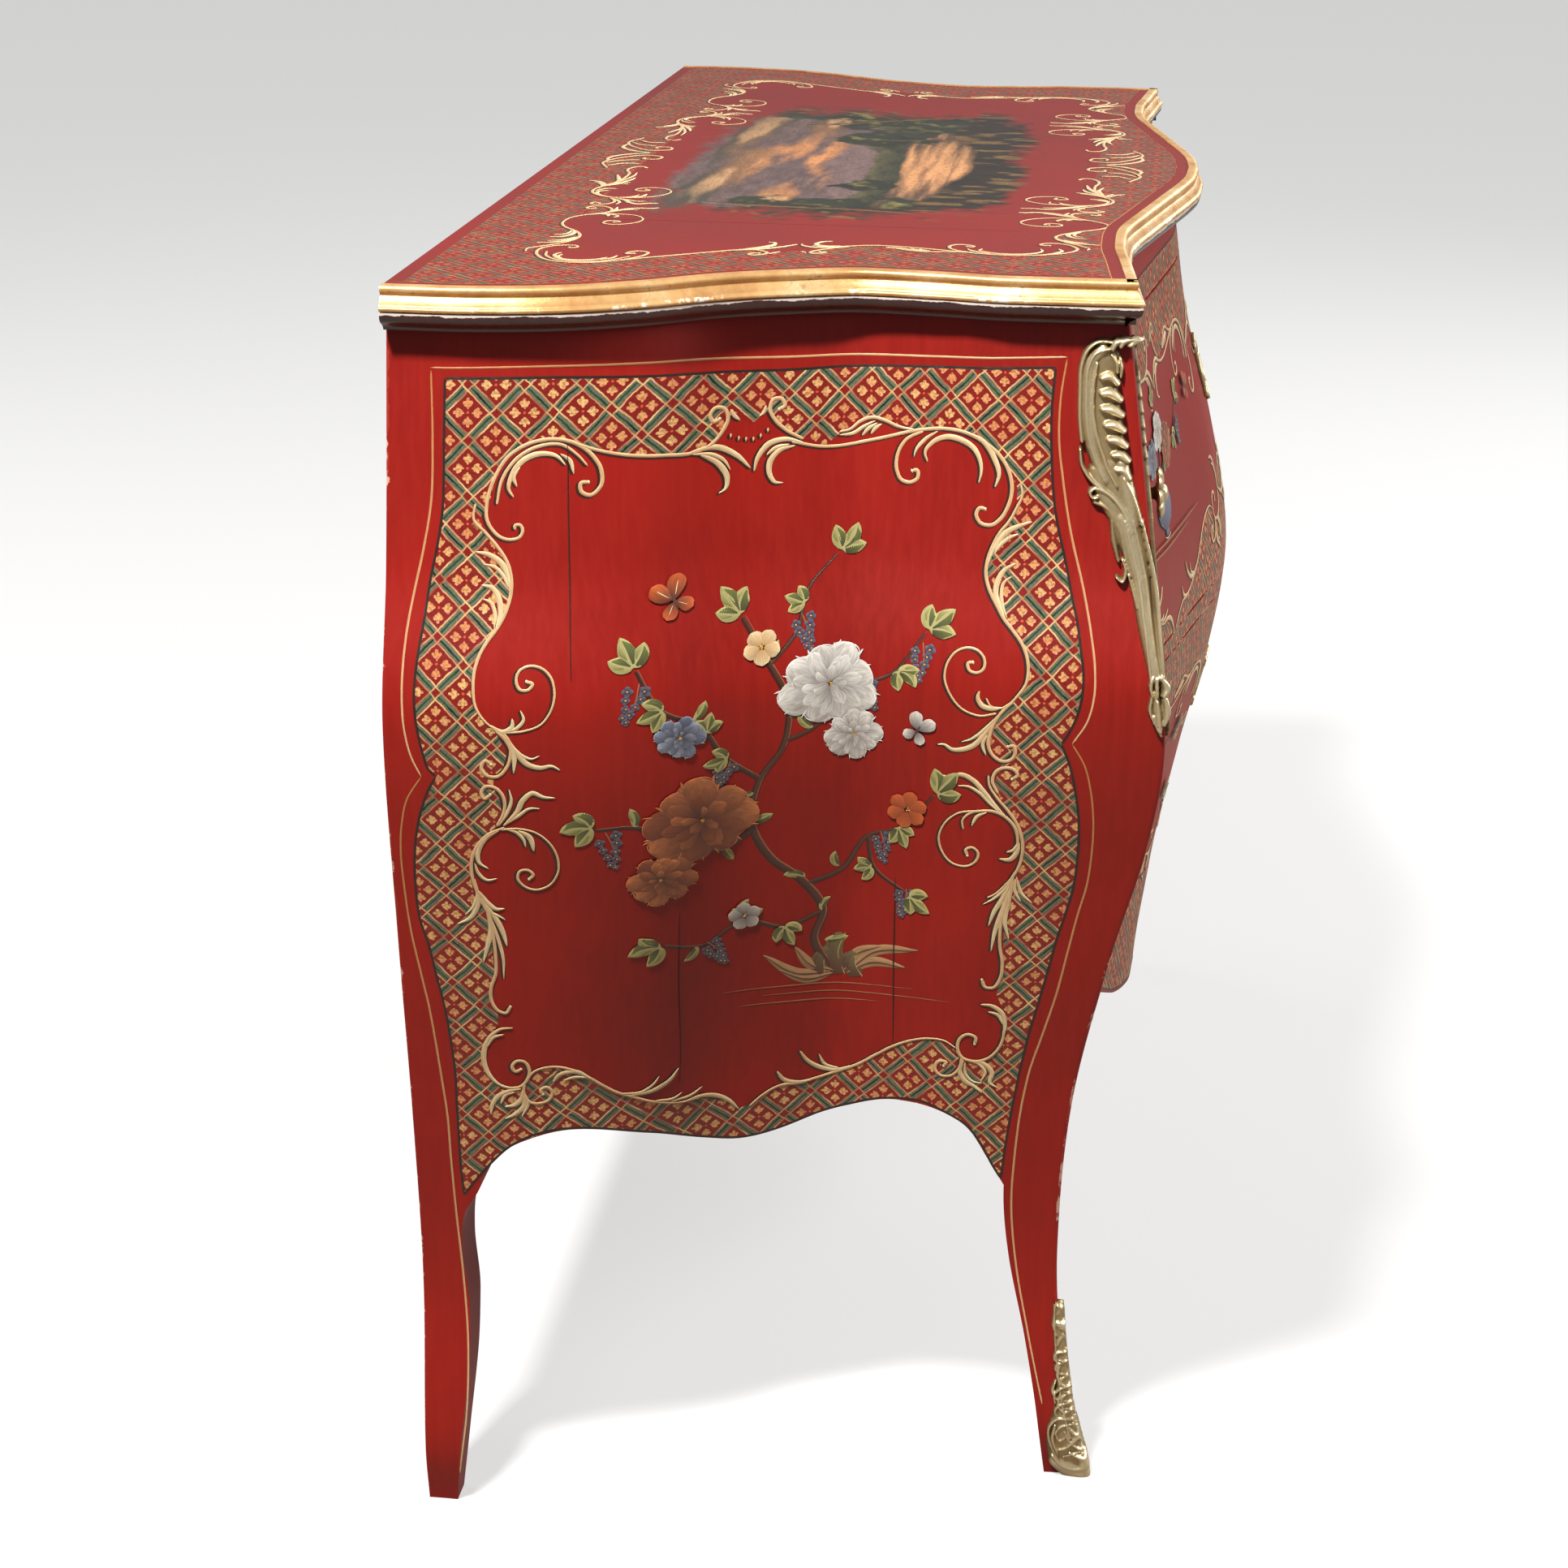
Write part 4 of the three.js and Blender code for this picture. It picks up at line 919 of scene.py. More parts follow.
def make_front():
    """The apron, the two rails with a mortise in each and the drawer fronts, on the bowed surface."""
    apron_inner = lambda x: front_depth(x, FRONT_APRON_LOW) - APRON_THICK
    front_shell("front_apron", "carcass", front_apron, level(APRON_TOP), apron_inner, RAIL_HALF,
                ("decorated", "red"))
    divider = front_shell("drawer_divider_rail", "carcass", level(DIVIDER[0]), level(DIVIDER[1]),
                          level(POST_BACK), RAIL_HALF, rows=6)
    top_rail = front_shell("front_top_rail", "carcass", level(RAIL_LOW), level(BODY_HEIGHT - HAIR),
                           level(POST_BACK), RAIL_HALF, rows=14)
    cut_mortise(divider, "lower_lock_bolt", DIVIDER[0])
    cut_mortise(top_rail, "upper_lock_bolt", RAIL_LOW)
    for name, (low, high, thin) in DRAWERS.items():
        inner = lambda x, thin=thin: front_depth(x, thin) - FRONT_THICK
        front_shell(f"{name}_drawer_front", f"{name}_drawer", level(low), level(high), inner, DRAWER_HALF,
                    rows=84)


# The top and the mouldings round it
MOULDING = 12 * MM
GILT_LOW = TOP - 16 * MM
GILT_PROFILE = [
    (0, 0), (0.9, 0), (0.98, 0.04), (1, 0.1), (0.98, 0.16), (0.9, 0.2), (0.84, 0.24), (0.8, 0.32),
    (0.72, 0.44), (0.62, 0.54), (0.55, 0.58), (0.55, 0.66), (0.62, 0.72), (0.66, 0.8), (0.63, 0.9),
    (0.54, 0.97), (0.42, 1), (0.2, 1), (0, 1)]
LOWER_PROFILE = [(0, 0), (0.1, 0), (0.13, 0.08), (0.22, 0.2), (0.38, 0.3), (0.56, 0.38), (0.72, 0.47),
                 (0.84, 0.58), (0.9, 0.7), (0.92, 0.84), (0.92, 1), (0, 1)]


def top_outline(side_count=90, front_count=200):
    """The plan of the top from the left back corner to the right one, as (x, depth)."""
    share = span(0, 1, side_count)
    x = TOP_HALF_WIDTH - SIDE_SWEEP * side_plan(share)
    front = span(-x[-1], x[-1], front_count)[1:-1]
    bow = TOP_DEPTH + TOP_BOW * front_plan(np.abs(front) / x[-1])
    left = np.stack([-x, TOP_DEPTH * share], -1)
    return np.concatenate([left, np.stack([front, bow], -1), left[::-1] * (-1, 1)]), side_count - 1


OUTLINE, CORNER = top_outline()


def inset(outline, distance):
    """Moves the plan inwards by a distance, with its ends kept in the back plane."""
    along = np.diff(outline, axis=0)
    along /= np.linalg.norm(along, axis=1, keepdims=True)
    inward = np.stack([along[:, 1], -along[:, 0]], -1)
    before, after = np.vstack([inward[:1], inward]), np.vstack([inward, inward[-1:]])
    middle = before + after
    middle /= np.linalg.norm(middle, axis=1, keepdims=True)
    reach = distance / np.maximum((middle * before).sum(1, keepdims=True), 0.3)
    moved = outline + middle * reach
    moved[[0, -1]] = outline[[0, -1]] + np.array([[1, 0], [-1, 0]]) * distance
    return moved


def make_top():
    """The board: columns run from side to side and rows from the back to the bowed front, so that at
    (s, t) depth = t front(x) and x = s side(t)."""
    plan = inset(OUTLINE, MOULDING + HAIR)
    corner = plan[CORNER]
    sweep = plan[:CORNER + 1]
    sweep = sweep[(sweep[:, 1] < corner[1]) | (np.arange(len(sweep)) == CORNER)]
    front = plan[CORNER + 1:-CORNER - 1]
    front = front[np.abs(front[:, 0]) < -corner[0]]
    front = np.concatenate([[corner], front, [corner * (-1, 1)]])
    across, along = span(-1, 1, 300)[None, :], span(0, 1, 120)[:, None]
    x = -across * np.interp(along * corner[1], sweep[:, 1], sweep[:, 0])
    depth = along * np.interp(x, front[:, 0], front[:, 1])
    outer, under = top_ground(x, depth, 0.0), stack(x, depth, BODY_HEIGHT)
    edge = np.zeros(outer.shape[:2])
    shell("top_board", outer, under, "carcass", "top_board", edge, ("faded_and_shaded", "red"), flip=True,
          band=top_band(x, depth), strip=np.stack([x, depth], -1))


def make_moulding(kind, profile, low, high, finish, worn):
    """A mitred length for each side: the profile at every point of the plan."""
    shares = smooth_profile(np.array(profile))
    lines = np.stack([inset(OUTLINE, MOULDING * (1 - out)) for out, _ in shares], axis=1)
    z = np.broadcast_to(low + (high - low) * shares[:, 1], lines.shape[:2])
    points = stack(lines[..., 0], lines[..., 1], z)
    edge = np.broadcast_to(worn(shares), lines.shape[:2])
    last = len(OUTLINE) - 1
    for name, first, end in (("left", 0, CORNER), ("front", CORNER, last - CORNER),
                             ("right", last - CORNER, last)):
        node = f"{kind}_{name}"
        loft(node, points[first:end + 1], "carcass", node, finish, {"edge": edge[first:end + 1]})


def smooth_profile(profile):
    """Rounds a profile once by cutting each corner at its quarters, with its back kept square."""
    first, second = profile[:-1], profile[1:]
    cut = np.stack([first * 0.75 + second * 0.25, first * 0.25 + second * 0.75], axis=1).reshape(-1, 2)
    return np.concatenate([profile[:1], cut[1:-1], profile[-1:]])


# Brushwork
def smooth_line(points, gap):
    """A cubic line through given points, with a point every gap of its length."""
    points = np.asarray(points, float)
    step = np.linalg.norm(np.diff(points, axis=0), axis=1)
    place = np.concatenate([[0], np.cumsum(np.maximum(step, 1e-6))])
    slope = np.gradient(points, place, axis=0) if len(points) > 2 else np.repeat(
        (points[1:] - points[:1]) / place[-1], 2, axis=0)
    at = span(0, place[-1], max(int(place[-1] / gap), 3) + 1)
    i = np.clip(np.searchsorted(place, at, side="right") - 1, 0, len(points) - 2)
    width = (place[i + 1] - place[i])[:, None]
    t = ((at - place[i]) / (place[i + 1] - place[i]))[:, None]
    line = (2 * t ** 3 - 3 * t ** 2 + 1) * points[i] + (3 * t ** 2 - 2 * t ** 3) * points[i + 1]
    return line + width * ((t ** 3 - 2 * t ** 2 + t) * slope[i] + (t ** 3 - t ** 2) * slope[i + 1])


# Direction of the painted light in the ground's own coordinates: each stroke is painted paler on the side
# that faces it and darker on the other
LIGHT = np.array([0.45, 0.9])
# SHADOW_PAINT is the colour of the painted shadow laid beside each stroke, offset away from the light
SHADOW_PAINT = srgb(44, 10, 8)
OUTLINE_PAINT = srgb(22, 5, 5)
OUTLINE_WIDTH = 1.7 * MM
GOLD_WIDTHS = (1.1 * MM, 1.5 * MM, 1.1 * MM)
BUD = 1.7 * MM
COAT = 0.12 * MM
NEXT_COAT = 0.004 * MM


class Brushwork:
    """Brush strokes on one ground, gathered as arrays into one mesh. Each stroke is a ribbon on a smooth
    line: its width passes through three values and its middle stands higher. Light and shade are painted on
    it: the side that faces LIGHT is painted paler and the other darker, and a dark ribbon offset by shade is
    laid under it as a painted shadow."""
    def __init__(self, ground, shade=(-1.2 * MM, -0.6 * MM), next_coat=NEXT_COAT):
        self.ground, self.shade, self.next_coat = ground, np.array(shade), next_coat
        self.faces, self.paint, self.strip, self.flat, self.rise = [], [], [], [], []
        self.count, self.lift = 0, COAT

    def ribbon(self, line, half, colour, dome, lift, across=5):
        """The ribbon: points to each side of the line, with rounded ends."""
        along = np.gradient(line, axis=0)
        along /= np.maximum(np.linalg.norm(along, axis=1, keepdims=True), 1e-9)
        side = np.stack([-along[:, 1], along[:, 0]], -1)
        out = span(-1, 1, across)
        flat = line[:, None] + side[:, None] * (half[:, None] * out)[..., None]
        rise = lift + dome * np.sqrt(np.maximum(1 - out ** 2, 0)) * np.minimum(half[:, None] / (0.6 * MM), 1)
        rise = np.broadcast_to(rise, flat.shape[:2])
        if colour.ndim == 2:
            colour = np.repeat(colour[:, None], across, axis=1)
        length = np.concatenate([[0], np.cumsum(np.linalg.norm(np.diff(line, axis=0), axis=1))])
        strip = np.stack(np.broadcast_arrays(length[:, None], out[None, :]), -1)
        self.faces.append(grid_faces(len(line), across, start=self.count))
        self.count += flat.shape[0] * across
        self.rise.append(rise.ravel())
        self.flat.append(flat.reshape(-1, 2))
        self.paint.append(colour.reshape(-1, 3))
        self.strip.append(strip.reshape(-1, 2))

    def stroke(self, points, widths, root, tip=None, glow=0.26, dome=0.28 * MM, cast=True, gap=1.1 * MM,
               across=5):
        """widths are at the start, the middle and the end; root and tip are the colours there. glow sets how
        much paler the side toward LIGHT and how much darker the other side are painted, as painted highlight
        and shade; with the shadow flag set, a dark ribbon is laid beside the stroke as a painted shadow.
        """
        line = smooth_line(points, gap)
        s = span(0, 1, len(line))
        wide = np.array(widths) * 0.5
        half = (1 - s) * (1 - 2 * s) * wide[0] + 4 * s * (1 - s) * wide[1] + s * (2 * s - 1) * wide[2]
        half = np.maximum(half, 0.05 * MM)
        length = np.linalg.norm(np.diff(line, axis=0), axis=1).sum()
        for end, size in ((s, wide[0]), (1 - s, wide[2])):
            reach = np.clip(end * length / max(size, 0.2 * MM), 0, 1)
            half = half * np.sqrt(np.maximum(1 - (1 - reach) ** 2, 0.02))
        root = np.array(root)
        tip = root if tip is None else np.array(tip)
        colour = root + (tip - root) * s[:, None]
        # A painted shadow: a flat dark ribbon laid under the stroke, offset away from the light
        if cast:
            flat = np.broadcast_to(SHADOW_PAINT, colour.shape)
            self.ribbon(line + self.shade, half * 1.1 + 0.3 * MM, flat, 0.0, COAT * 0.7, 3)
        # Painted highlight and shade: the side of the ribbon that faces LIGHT is painted paler, the other
        # side darker
        along = np.gradient(line, axis=0)
        along /= np.maximum(np.linalg.norm(along, axis=1, keepdims=True), 1e-9)
        facing = (np.stack([-along[:, 1], along[:, 0]], -1) @ LIGHT)[:, None] * span(-1, 1, across)
        lit = np.clip(0.5 + 0.6 * facing, 0, 1)[..., None]
        pale = np.minimum(colour[:, None] * (1 + glow * 1.6) + glow * 0.05, 0.95)
        dim = colour[:, None] * (1 - glow)
        self.ribbon(line, half, dim + (pale - dim) * lit, dome, self.lift, across)
        self.lift += self.next_coat

    def dot(self, place, radius, colour, **how):
        """A small spot: a stroke twice the radius wide and about half as long."""
        place = np.array(place, float)
        nudge = np.array([radius * 0.5, radius * 0.2])
        self.stroke([place - nudge, place + nudge], (2 * radius, 2 * radius, 2 * radius), colour, **how)

    def build(self, name, body, keep=None):
        """Joins the strokes. keep says of arrays of ground coordinates which places this body holds."""
        faces, flat = np.concatenate(self.faces), np.concatenate(self.flat)
        if keep is not None:
            faces = faces[keep(flat[:, 0], flat[:, 1])[faces].all(axis=1)]
        used, faces = np.unique(faces, return_inverse=True)
        rise, paint, strip = (np.concatenate(part)[used] for part in (self.rise, self.paint, self.strip))
        points = self.ground(flat[used, 0], flat[used, 1], rise)
        return mesh_piece(name, points, faces.reshape(-1, 4), ("brushwork",), body,
                          values={"paint": paint}, strip=strip, sharp=SMOOTH)


# The side panel's painted border, as pixels of the photograph that fall on the left side
LATTICE_OUTER = [
    (548, 466), (695, 465), (832, 462), (960, 456), (1119, 451), (1301, 453), (1297, 491), (1296, 568),
    (1302, 640), (1308, 669), (1314, 697), (1321, 736), (1327, 764), (1332, 803), (1335, 831), (1334, 854),
    (1327, 883), (1318, 902), (1308, 917), (1318, 943), (1325, 976), (1329, 1008), (1328, 1052), (1322, 1095),
    (1312, 1128), (1301, 1160), (1292, 1193), (1281, 1230), (1268, 1273), (1257, 1317), (1248, 1360),
    (1240, 1403), (1233, 1452), (1222, 1440), (1209, 1410), (1188, 1386), (1162, 1369), (1140, 1358),
    (1112, 1353), (1081, 1354), (1047, 1362), (1003, 1377), (960, 1392), (913, 1405), (885, 1407),
    (852, 1407), (813, 1402), (770, 1394), (731, 1390), (701, 1390), (673, 1394), (630, 1413), (604, 1434),
    (587, 1453), (572, 1472), (568, 1438), (566, 1409), (563, 1361), (561, 1323), (556, 1285), (547, 1237),
    (537, 1199), (530, 1170), (517, 1130), (512, 1091), (511, 1053), (515, 1015), (521, 992), (528, 973),
    (537, 957), (528, 948), (521, 929), (514, 900), (510, 854), (514, 813), (523, 762), (531, 711),
    (538, 677), (544, 640), (547, 540)]
LATTICE_INNER = [
    (603, 620), (610, 590), (627, 564), (651, 548), (684, 542), (711, 546), (738, 555), (777, 561),
    (821, 561), (854, 558), (873, 550), (889, 533), (897, 514), (906, 508), (927, 522), (944, 506),
    (950, 508), (957, 518), (968, 529), (986, 540), (1017, 549), (1034, 534), (1060, 519), (1075, 514),
    (1091, 518), (1106, 525), (1129, 529), (1164, 528), (1190, 533), (1210, 543), (1231, 560), (1244, 583),
    (1254, 600), (1252, 627), (1243, 643), (1233, 654), (1224, 671), (1217, 690), (1215, 707), (1219, 726),
    (1228, 745), (1237, 762), (1249, 778), (1258, 791), (1265, 808), (1267, 826), (1264, 843), (1255, 856),
    (1243, 868), (1233, 879), (1226, 889), (1220, 904), (1218, 919), (1224, 931), (1235, 940), (1230, 950),
    (1226, 965), (1232, 984), (1243, 1000), (1254, 1017), (1260, 1039), (1258, 1060), (1252, 1080),
    (1246, 1100), (1240, 1125), (1236, 1150), (1236, 1188), (1232, 1206), (1228, 1225), (1236, 1245),
    (1238, 1260), (1236, 1278), (1229, 1293), (1216, 1304), (1199, 1308), (1185, 1304), (1177, 1289),
    (1164, 1282), (1144, 1279), (1120, 1282), (1099, 1289), (1079, 1299), (1058, 1310), (1032, 1319),
    (1003, 1328), (982, 1334), (963, 1336), (944, 1345), (924, 1361), (909, 1365), (898, 1357), (868, 1353),
    (835, 1358), (805, 1357), (779, 1351), (761, 1346), (744, 1338), (725, 1327), (705, 1318), (683, 1314),
    (658, 1321), (648, 1333), (629, 1340), (616, 1336), (604, 1325), (597, 1310), (597, 1292), (604, 1277),
    (613, 1266), (614, 1250), (606, 1233), (605, 1218), (609, 1199), (606, 1160), (598, 1122), (588, 1099),
    (582, 1080), (581, 1061), (588, 1042), (601, 1028), (612, 1018), (618, 1003), (616, 985), (608, 972),
    (608, 958), (620, 946), (624, 930), (614, 908), (604, 894), (594, 885), (586, 871), (583, 850),
    (584, 830), (590, 809), (600, 791), (612, 775), (623, 754), (629, 734), (630, 713), (625, 693),
    (614, 675), (598, 656), (590, 640)]
FIELD_MIDDLE = (925, 900)
LATTICE_CORNERS = [0, 5, LATTICE_OUTER.index((1318, 902)) + 1, LATTICE_OUTER.index((1233, 1452)),
                   LATTICE_OUTER.index((572, 1472)), LATTICE_OUTER.index((537, 957)), len(LATTICE_OUTER)]

# Scrolls: widths in mm at the start, the middle and the end, and pixels. CURL and RING end in a bud
STEM, LEAF, FEATHER = (1.4, 2.3, 1.1), (1.0, 3.6, 0.7), (0.7, 2.4, 0.4)
CURL, RING = (1.9, 2.3, 2.4), (1.6, 1.5, 2.2)
SCROLLS = [
    (CURL, [(635, 653), (634, 648), (641, 647), (644, 654), (640, 662), (629, 665), (617, 662), (606, 652),
            (600, 640), (600, 620), (609, 590), (626, 563), (651, 547), (684, 541), (711, 547), (730, 561),
            (741, 580), (740, 599), (727, 610), (716, 605), (716, 595), (725, 594)]),
    (STEM, [(612, 622), (619, 590), (638, 564), (664, 550), (692, 548), (711, 560), (724, 574)]),
    (LEAF, [(633, 613), (627, 603), (631, 585), (645, 567), (666, 559), (686, 562), (697, 573)]),
    (FEATHER, [(690, 559), (702, 567), (707, 584)]),
    (FEATHER, [(637, 600), (633, 588), (641, 575)]),
    (CURL, [(711, 547), (738, 555), (777, 561), (821, 561), (854, 558), (873, 550), (889, 533), (897, 514),
            (892, 503), (881, 503), (875, 512), (880, 520), (887, 516)]),
    (LEAF, [(846, 559), (884, 551), (908, 561), (925, 577)]),
    (FEATHER, [(852, 560), (881, 561), (893, 568), (900, 579)]),
    (LEAF, [(862, 560), (886, 572), (896, 590), (893, 603), (885, 608)]),
    (FEATHER, [(900, 504), (905, 512), (912, 518)]),
    (FEATHER, [(944, 499), (941, 508), (936, 513)]),
    (CURL, [(990, 541), (968, 529), (955, 517), (949, 504), (953, 492), (963, 491), (967, 500), (960, 504)]),
    (LEAF, [(929, 581), (934, 563), (947, 547), (966, 541), (990, 545)]),
    (FEATHER, [(944, 561), (955, 552), (973, 547)]),
    (LEAF, [(980, 549), (960, 555), (949, 568), (948, 583), (955, 594), (965, 595)]),
    (CURL, [(975, 544), (1017, 550), (1042, 548), (1068, 543), (1093, 538), (1119, 532), (1139, 529),
            (1164, 528), (1190, 533), (1210, 543), (1231, 560), (1244, 583), (1247, 603), (1242, 624),
            (1233, 639), (1221, 647), (1208, 644), (1203, 634), (1207, 626), (1214, 627)]),
    (STEM, [(1034, 532), (1047, 529), (1060, 519), (1075, 514), (1091, 518), (1106, 525), (1129, 530)]),
    (FEATHER, [(1034, 536), (1050, 534), (1065, 525), (1079, 518)]),
    (FEATHER, [(1062, 537), (1070, 528), (1081, 521)]),
    (FEATHER, [(1073, 535), (1078, 528), (1087, 522)]),
    (CURL, [(1138, 531), (1116, 542), (1106, 560), (1105, 578), (1111, 591), (1122, 594), (1131, 588),
            (1130, 579), (1124, 580)]),
    (FEATHER, [(1156, 531), (1139, 542), (1129, 554), (1126, 563)]),
    (LEAF, [(1143, 569), (1140, 557), (1149, 545), (1167, 538), (1185, 542), (1200, 552), (1208, 568),
            (1209, 583), (1206, 595)]),
    (LEAF, [(1190, 532), (1213, 545), (1226, 566), (1231, 584), (1226, 601)]),
    (STEM, [(1258, 597), (1260, 608), (1252, 627), (1243, 643), (1233, 655), (1224, 671), (1217, 690),
            (1215, 707), (1219, 726), (1228, 745), (1237, 762), (1249, 778), (1258, 791), (1265, 808),
            (1267, 826), (1264, 843), (1255, 856), (1243, 868), (1231, 873), (1221, 870), (1215, 860)]),
    (LEAF, [(1272, 643), (1256, 648), (1241, 655), (1230, 667), (1222, 680), (1217, 696)]),
    (FEATHER, [(1256, 658), (1245, 662), (1233, 671), (1225, 683)]),
    (LEAF, [(1252, 694), (1237, 703), (1229, 717), (1227, 731), (1232, 748), (1239, 764)]),
    (FEATHER, [(1247, 710), (1237, 718), (1234, 732), (1236, 748), (1241, 762)]),
    (LEAF, [(1207, 851), (1205, 860), (1210, 869), (1221, 873), (1236, 872)]),
    (RING, [(1228, 879), (1207, 882), (1185, 873), (1170, 854), (1164, 835), (1167, 818), (1178, 803),
            (1193, 798), (1207, 803), (1213, 812), (1212, 824), (1204, 829), (1194, 825), (1193, 817),
            (1199, 816)]),
    (CURL, [(1249, 864), (1233, 879), (1226, 889), (1220, 904), (1218, 919), (1224, 931), (1235, 938),
            (1247, 935), (1251, 927), (1249, 919), (1242, 920)]),
    (FEATHER, [(1232, 880), (1216, 896), (1207, 904), (1193, 912), (1184, 914)]),
    (LEAF, [(1224, 891), (1211, 907), (1200, 918), (1187, 923), (1173, 923), (1163, 917), (1155, 917)]),
    (FEATHER, [(1217, 905), (1211, 917), (1215, 931)]),
    (LEAF, [(1155, 954), (1169, 957), (1184, 954), (1199, 961), (1212, 975), (1225, 991), (1240, 1007)]),
    (FEATHER, [(1180, 968), (1193, 969), (1206, 976), (1221, 991), (1234, 1003)]),
    (STEM, [(1218, 955), (1219, 967), (1228, 982), (1243, 1000), (1254, 1017), (1260, 1039), (1258, 1060),
            (1251, 1076), (1238, 1091), (1225, 1102), (1216, 1106)]),
    (CURL, [(1230, 978), (1223, 961), (1228, 950), (1238, 946), (1249, 948), (1254, 955), (1247, 960)]),
    (STEM, [(1251, 1053), (1254, 1034), (1249, 1017), (1238, 1006), (1225, 1000), (1210, 999), (1195, 1002),
            (1186, 1011), (1187, 1022)]),
    (FEATHER, [(1216, 1001), (1204, 1006), (1197, 1018)]),
    (RING, [(1204, 999), (1180, 1002), (1165, 1013), (1157, 1030), (1160, 1047), (1173, 1063), (1191, 1067),
            (1203, 1060), (1205, 1050), (1198, 1044), (1190, 1047), (1192, 1054)]),
    (LEAF, [(1231, 1058), (1244, 1059), (1253, 1049), (1256, 1038)]),
    (FEATHER, [(1240, 1050), (1249, 1047), (1255, 1037)]),
    (FEATHER, [(1251, 1073), (1238, 1095), (1223, 1108), (1211, 1114)]),
    (LEAF, [(1250, 1078), (1236, 1106), (1224, 1125), (1218, 1141)]),
    (LEAF, [(1249, 1082), (1237, 1117), (1226, 1147), (1221, 1172)]),
    (LEAF, [(1249, 1084), (1242, 1112), (1238, 1136), (1243, 1157)]),
    (FEATHER, [(1251, 1082), (1251, 1099), (1258, 1111)]),
    (FEATHER, [(1252, 1080), (1260, 1102), (1272, 1113)]),
    (CURL, [(1243, 1104), (1233, 1139), (1232, 1165), (1235, 1188), (1232, 1206), (1223, 1217), (1214, 1216),
            (1210, 1207)]),
    (STEM, [(586, 620), (584, 640), (598, 656), (614, 675), (625, 693), (630, 713), (629, 734), (623, 754),
            (612, 775), (600, 791), (590, 809), (584, 830), (583, 850), (586, 871), (594, 885), (606, 896),
            (618, 902)]),
    (LEAF, [(586, 680), (604, 684), (617, 693), (625, 707), (628, 726)]),
    (FEATHER, [(596, 695), (610, 699), (620, 709), (626, 724)]),
    (LEAF, [(593, 721), (606, 724), (614, 736), (617, 753), (611, 776)]),
    (FEATHER, [(595, 738), (604, 742), (610, 755), (609, 775)]),
    (RING, [(618, 903), (645, 901), (666, 893), (679, 875), (683, 852), (678, 834), (666, 823), (651, 821),
            (639, 828), (636, 840), (641, 850), (651, 850), (656, 843), (649, 840)]),
    (LEAF, [(602, 893), (620, 902), (631, 895), (631, 885)]),
    (FEATHER, [(616, 903), (637, 897), (645, 887), (641, 875)]),
    (LEAF, [(610, 900), (625, 913), (633, 931), (633, 953)]),
    (FEATHER, [(615, 901), (631, 920), (645, 932), (655, 935), (665, 931)]),
    (LEAF, [(622, 906), (637, 928), (649, 941), (666, 946), (680, 944), (690, 949)]),
    (CURL, [(620, 903), (628, 915), (629, 930), (624, 946), (612, 957), (599, 955), (593, 944), (598, 937),
            (605, 942)]),
    (CURL, [(612, 1018), (620, 1003), (622, 990), (618, 978), (609, 970), (598, 969), (593, 977), (597, 984),
            (604, 979)]),
    (FEATHER, [(614, 1018), (625, 1001), (630, 986), (627, 972)]),
    (LEAF, [(620, 1018), (637, 1000), (645, 985), (656, 977), (669, 982), (684, 983)]),
    (FEATHER, [(622, 1016), (639, 1005), (653, 996), (665, 996)]),
    (STEM, [(622, 1019), (601, 1028), (588, 1042), (581, 1061), (582, 1080), (588, 1099), (595, 1114),
            (604, 1130)]),
    (LEAF, [(616, 1022), (597, 1034), (589, 1049), (591, 1063), (602, 1070)]),
    (FEATHER, [(585, 1063), (590, 1076), (600, 1084), (613, 1082)]),
    (RING, [(616, 1022), (639, 1021), (660, 1026), (678, 1040), (687, 1057), (687, 1076), (676, 1091),
            (660, 1096), (645, 1091), (638, 1082), (641, 1073), (651, 1072), (657, 1078), (652, 1083)]),
    (FEATHER, [(622, 1021), (637, 1026), (645, 1034), (648, 1044)]),
    (LEAF, [(638, 1023), (652, 1031), (658, 1049)]),
    (FEATHER, [(585, 1082), (588, 1103), (582, 1118), (573, 1127)]),
    (LEAF, [(586, 1088), (589, 1112), (580, 1130), (564, 1138)]),
    (LEAF, [(588, 1096), (603, 1114), (612, 1120), (622, 1119)]),
    (FEATHER, [(592, 1104), (605, 1124), (614, 1128), (623, 1133)]),
    (LEAF, [(598, 1114), (612, 1133), (620, 1149), (625, 1166)]),
    (LEAF, [(598, 1112), (605, 1145), (601, 1164), (596, 1185)]),
    (FEATHER, [(602, 1124), (613, 1154), (620, 1180), (621, 1206)]),
    (CURL, [(602, 1122), (608, 1154), (611, 1183), (611, 1199), (605, 1218), (606, 1233), (614, 1245),
            (623, 1248), (629, 1240)]),
    (LEAF, [(632, 1266), (616, 1268), (604, 1277), (597, 1292), (597, 1310), (604, 1325), (616, 1336),
            (630, 1340)]),
    (CURL, [(616, 1337), (629, 1340), (642, 1338), (650, 1329), (652, 1317), (646, 1308), (637, 1307),
            (631, 1314), (635, 1320), (642, 1317)]),
    (FEATHER, [(621, 1274), (608, 1278), (600, 1290)]),
    (CURL, [(646, 1334), (646, 1348), (654, 1358), (665, 1359), (677, 1354), (680, 1344), (673, 1339),
            (666, 1343), (669, 1348)]),
    (STEM, [(647, 1335), (658, 1320), (683, 1314), (705, 1318), (725, 1327), (744, 1338), (761, 1346),
            (779, 1351), (805, 1357), (835, 1358), (862, 1352)]),
    (LEAF, [(840, 1358), (868, 1349), (886, 1350), (899, 1356), (910, 1366)]),
    (FEATHER, [(764, 1347), (790, 1345), (805, 1335), (812, 1325)]),
    (LEAF, [(775, 1350), (809, 1341), (826, 1329), (836, 1315)]),
    (FEATHER, [(826, 1357), (852, 1348), (865, 1338)]),
